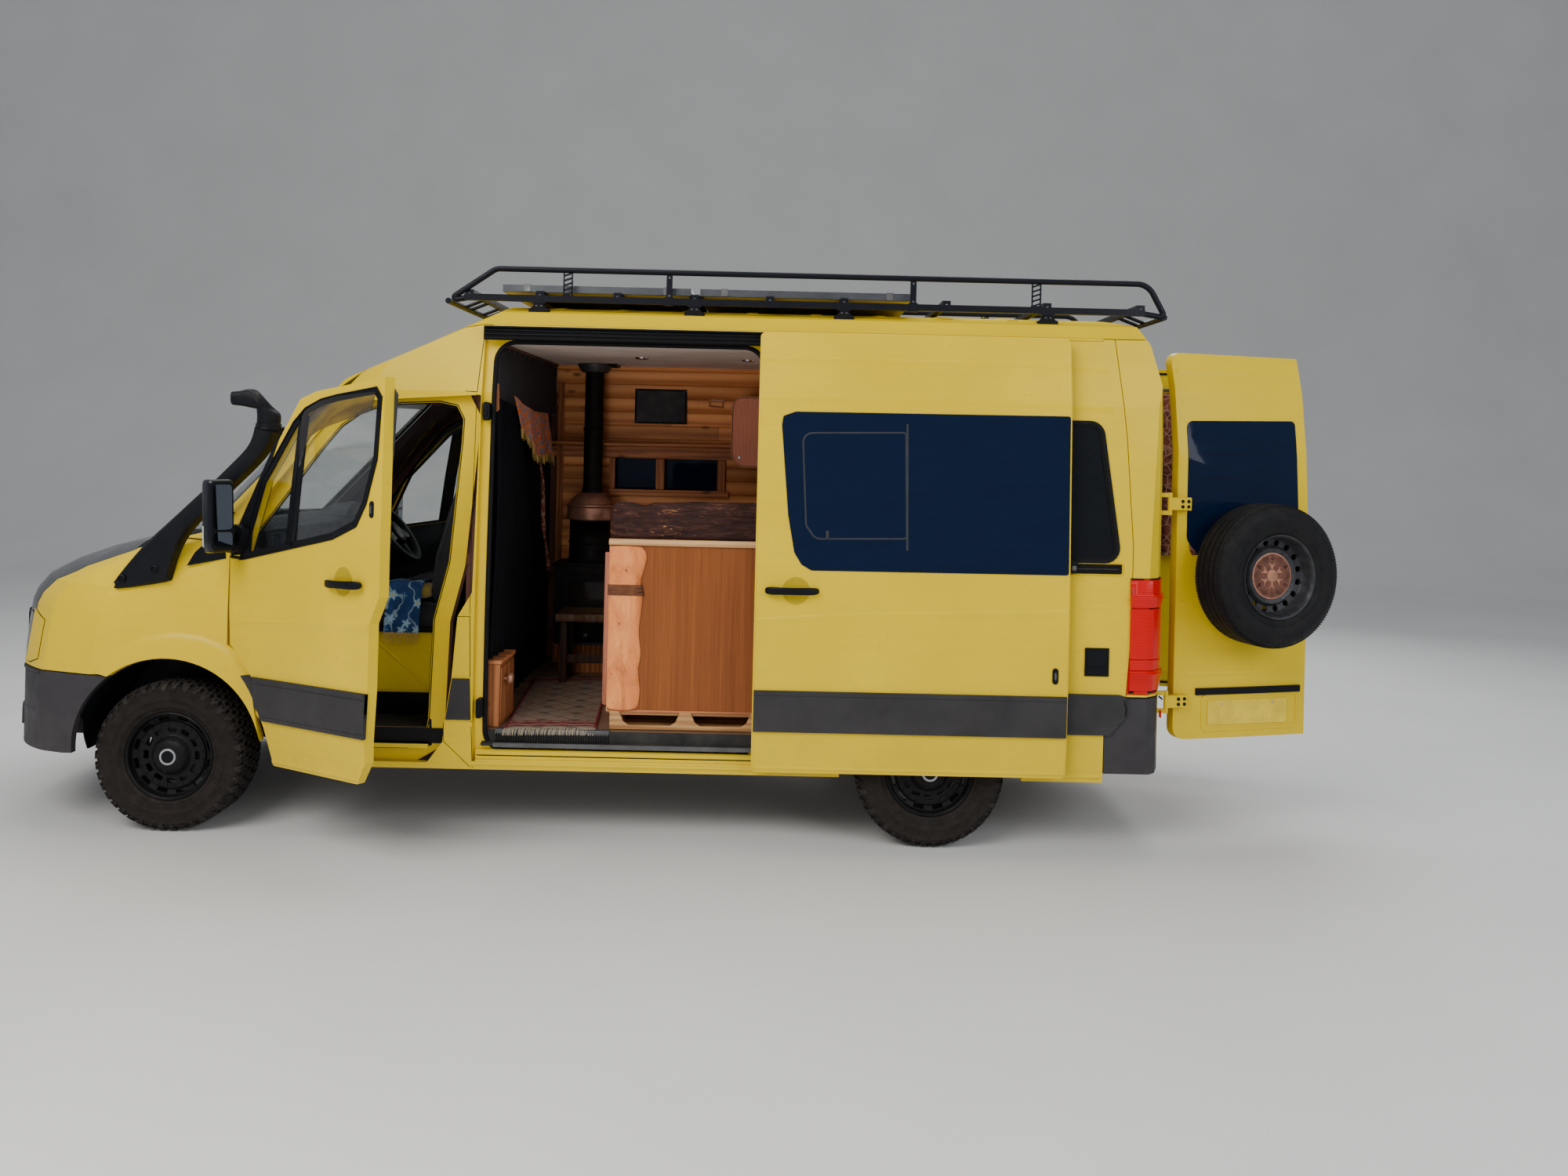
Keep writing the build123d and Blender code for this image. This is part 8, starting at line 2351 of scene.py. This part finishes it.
# ------------------------------------------------------------------ cab: seats
def swell(ob, pressure=4.0, cap=0.012, voxel=0.006, shrink=0.0):
    """Fills a closed pad with cloth simulation, each point moved no more than cap."""
    sc = bpy.context.scene
    dg = bpy.context.evaluated_depsgraph_get()
    me = bpy.data.meshes.new_from_object(ob.evaluated_get(dg))
    ob.modifiers.clear()
    ob.data = me
    rm = ob.modifiers.new("remesh", "REMESH")
    rm.mode = "VOXEL"
    rm.voxel_size = voxel
    rm.use_smooth_shade = True
    me = bpy.data.meshes.new_from_object(ob.evaluated_get(bpy.context.evaluated_depsgraph_get()))
    ob.modifiers.clear()
    ob.data = me
    start = [v.co.copy() for v in me.vertices]
    cl = ob.modifiers.new("cloth", "CLOTH")
    cl.settings.use_pressure = True
    cl.settings.uniform_pressure_force = pressure
    cl.settings.effector_weights.gravity = 0.0
    cl.settings.quality = 4
    cl.point_cache.frame_start = 1
    cl.point_cache.frame_end = 20
    for f in range(1, 21):
        sc.frame_set(f)
    me2 = bpy.data.meshes.new_from_object(ob.evaluated_get(bpy.context.evaluated_depsgraph_get()))
    ob.modifiers.clear()
    for v, s0 in zip(me2.vertices, start):
        d = v.co - s0
        if d.length > cap:
            v.co = s0 + d * (cap / d.length)
    mats = [mt for mt in ob.data.materials]
    ob.data = me2
    me2.materials.clear()
    for mt in mats:
        me2.materials.append(mt)
    for p in me2.polygons:
        p.use_smooth = True
    sc.frame_set(1)
    return ob


def pad_mesh(profile, y0, y1, radius, cx, cz, channels=(), dip=7.0, n=26):
    """A closed pad: a rounded side profile carried across, pulled in at its ends and at its sewn channels."""
    base = fine(rounded(profile, radius, 6), 26, True)
    rings = []
    w = y1 - y0
    for i in range(n + 1):
        s = 0.5 - 0.5 * math.cos(math.pi * i / n)
        y = y0 + w * s
        e = min(s, 1.0 - s) * w
        k = 1.0 - 0.16 * max(0.0, 1.0 - e / 34.0) ** 2
        for c in channels:
            k -= 0.04 * math.exp(-((y - c) / 9.0) ** 2)
        rings.append([(cx + (x - cx) * k, y, cz + (z - cz) * k) for x, z in base])
    return loft(rings)


def seam_loop(profile, y, radius, r, cx, cz, k=0.985):
    base = fine(rounded(profile, radius, 6), 20, True)
    return tube([(cx + (x - cx) * k, y, cz + (z - cz) * k) for x, z in base], r, 8, closed=True)


CUSH = [(736, 960), (1250, 968), (1262, 1060), (1110, 1084), (900, 1104), (760, 1106), (726, 1062)]
BACKREST = [(1166, 1092), (1256, 1084), (1320, 1360), (1386, 1690), (1366, 1706), (1302, 1706), (1252, 1560), (1188, 1320)]
HEADREST = [(1316, 1696), (1382, 1694), (1390, 1876), (1374, 1890), (1334, 1888), (1318, 1860)]
for nm, lo, hi, parts in (("driver_seat", 158.0, 642.0, [(158.0, 642.0)]), ("passenger_seat", -696.0, -68.0, [(-696.0, -384.0), (-380.0, -68.0)])):
    made = []
    for i, (a, b) in enumerate(parts):
        t = "" if len(parts) == 1 else ("_outer" if i == 0 else "_inner")
        c1, c2 = a + (b - a) * 0.24, b - (b - a) * 0.24
        q = piece(nm + t + "_cushion", Mesh().add(pad_mesh(CUSH, a + 4, b - 4, 34, 990, 1030, (c1, c2))), [SEATDARK], "van_body", sharp=80)
        swell(q)
        made.append(q)
        q = piece(nm + t + "_back", Mesh().add(pad_mesh(BACKREST, a + 6, b - 6, 30, 1270, 1400, (c1, c2))), [SEATDARK], "van_body", sharp=80)
        swell(q)
        made.append(q)
        ym = (a + b) / 2
        q = piece(nm + t + "_headrest", Mesh().add(pad_mesh(HEADREST, ym - 118, ym + 118, 22, 1352, 1792)), [SEATDARK], "van_body", sharp=80)
        swell(q, cap=0.008)
        made.append(q)
        tr = Mesh()
        for y in (c1, c2):
            tr.add(seam_loop(CUSH, y, 34, 2.2, 990, 1030, 0.985), 0)
            tr.add(seam_loop(BACKREST, y, 30, 2.2, 1270, 1400, 0.985), 0)
        for dy in (-45, 45):
            tr.add(rod((1336, ym + dy, 1660), (1352, ym + dy, 1730), 6, 12), 1)
        made.append(piece(nm + t + "_piping", tr, [SEATCENTRE, DULLSTEEL], "van_body"))
    bm_ = Mesh()
    if nm == "driver_seat":
        bm_.add(prism(rounded([(800, 522), (1196, 522), (1180, 950), (830, 950)], 20, 4), "xz", 200, 600), 0)
        bm_.add(prism([(780, 936), (1230, 936), (1240, 968), (770, 966)], "xz", 176, 624), 0)
    else:
        bm_.add(prism([(806, 640), (1196, 640), (1196, 950), (806, 950)], "xz", -672, -100), 1)
        bm_.add(prism([(806, 522), (1196, 522), (1196, 640), (806, 640)], "xz", -660, -100), 0)
        bm_.add(along(fine([(850, 930), (1168, 668)], 60), lambda a, b, o: (a, -672 - o, b), [(-9, -1), (-4, 5), (4, 5), (9, -1)]), 1)
        bm_.add(band([(822, 656), (1182, 656), (1182, 938), (822, 938)], lambda a, b, o: (a, -672 - o, b), -4, 5, -1, 3.5, step=200), 1)
        bm_.add(prism([(776, 944), (1232, 944), (1240, 968), (770, 966)], "xz", -690, -76), 0)
    made.append(piece(nm + "_base", bm_, [BLACK, YELLOW], "van_body", bevel=3.0, replaces=nm))

# rolled cushion under a flowered throw at the bench's outer end
def bolster(s, g):
    x = 900.0 + 260.0 * s
    k = 1.0 - 0.35 * max(0.0, 1.0 - min(s, 1 - s) * 6.0) ** 2
    return (x, -618.0 + 62.0 * k * math.cos(g), 1150.0 + 42.0 * k * math.sin(g))


rings = [[bolster(0.5 - 0.5 * math.cos(math.pi * i / 18), 2 * math.pi * j / 28) for j in range(28)] for i in range(19)]
BOLSTERMAT = cloth("mustard_cloth", (0.30, 0.20, 0.035), (0.42, 0.30, 0.07), weave=600.0, sheen=0.3)
_b = piece("bench_bolster", Mesh().add(loft(rings)), [BOLSTERMAT], "van_body", sharp=80)
swell(_b, cap=0.006)
_path = rounded([(-420, 1118), (-520, 1126), (-566, 1196), (-690, 1200), (-716, 1150), (-712, 944)], [1, 30, 40, 40, 24, 1], 6)
_path = fine(_path, 10)
_acc = [0.0]
for p, q in zip(_path[:-1], _path[1:]):
    _acc.append(_acc[-1] + math.dist(p, q))


def throw(s, t):
    d = t * _acc[-1]
    i = min(len(_path) - 2, max(k for k in range(len(_acc)) if _acc[k] <= d + 1e-9))
    u = (d - _acc[i]) / max(1e-6, _acc[i + 1] - _acc[i])
    y = _path[i][0] + (_path[i + 1][0] - _path[i][0]) * u
    z = _path[i][1] + (_path[i + 1][1] - _path[i][1]) * u
    hang = max(0.0, t - 0.55) / 0.45
    x = 950.0 + 176.0 * s + 8.0 * math.sin(4 * t)
    return (x, y - 6.0 * hang * (0.6 + math.sin(13.0 * s + 2.0 * t)), z + 4.0 * math.sin(9.0 * s) * (1 - hang))


_th = cloth_sheet("flowered_throw", throw, 50, 90, 0.18, round(_acc[-1] / 1000, 3), BLUETHROW, thick=2.0)
_e = [throw((i + 0.5) / 44, 1.0) for i in range(44)]
_tf = strands("throw_fringe", [[(p[0], p[1], p[2] + 2), (p[0] + 2 * math.sin(i * 1.9), p[1] - 1, p[2] - 26), (p[0] + 4 * math.sin(i * 2.7), p[1] - 1, p[2] - 58 - 8 * math.sin(i * 1.3))] for i, p in enumerate(_e)], GOLDFRINGE, r=1.6)

# ------------------------------------------------------------------ stage
n = Nodes("pale_floor")
n.set(Base_Color=n.ramp(n.noise(0.8, 4.0), [(0.3, (0.60, 0.60, 0.59)), (0.7, (0.64, 0.64, 0.63))]), Roughness=0.8,
      Normal=n.bump(n.noise(40.0, 4.0), 0.05, 0.002))
bm = bmesh.new()
prof = [(-14.0, 0.0), (10.0, 0.0)] + [(10.0 + 5.0 * math.sin(t), 5.0 - 5.0 * math.cos(t)) for t in (math.pi / 2 * k / 12 for k in range(1, 13))] + [(15.0, 16.0)]
cols = [-26.0, -12.0, 0.0, 12.0, 26.0]
grid = [[bm.verts.new((cx, py, pz - 0.001)) for cx in cols] for py, pz in prof]
for a, b in zip(grid[:-1], grid[1:]):
    for k in range(len(cols) - 1):
        bm.faces.new((a[k], a[k + 1], b[k + 1], b[k])).smooth = True
me = bpy.data.meshes.new("floor")
bm.to_mesh(me)
bm.free()
me.materials.append(n.mat)
floor = bpy.data.objects.new("floor", me)
bpy.context.scene.collection.objects.link(floor)

world = bpy.data.worlds.new("studio")
bpy.context.scene.world = world
world.use_nodes = True
bg = world.node_tree.nodes["Background"]
bg.inputs[0].default_value = (0.80, 0.84, 0.90, 1.0)
bg.inputs[1].default_value = 0.47


def lamp(name, place, aim, size, power, col=(1, 1, 1)):
    d = bpy.data.lights.new(name, "AREA")
    d.shape = "RECTANGLE"
    d.size, d.size_y = size
    d.energy = power
    d.color = col
    o = bpy.data.objects.new(name, d)
    o.location = place
    o.rotation_mode = "QUATERNION"
    o.rotation_quaternion = (Vector(aim) - Vector(place)).to_track_quat("-Z", "Y")
    bpy.context.scene.collection.objects.link(o)
    return o


lamp("key", (-3.5, -6.5, 6.5), (0.0, 0.0, 1.0), (6.0, 4.0), 540.0, (1.0, 0.97, 0.92))
lamp("fill", (6.0, -6.0, 4.0), (0.5, 0.0, 1.2), (5.0, 3.0), 220.0, (0.93, 0.96, 1.0))
lamp("top", (0.0, 1.5, 7.5), (0.0, 0.0, 1.0), (9.0, 5.0), 430.0)
lamp("low_fill", (-1.2, -5.5, 0.9), (0.4, 1.0, 1.75), (2.4, 1.2), 55.0, (1.0, 0.95, 0.9)).visible_glossy = False
lamp("back", (4.0, 7.0, 5.0), (0.0, 0.0, 1.5), (6.0, 3.0), 250.0)
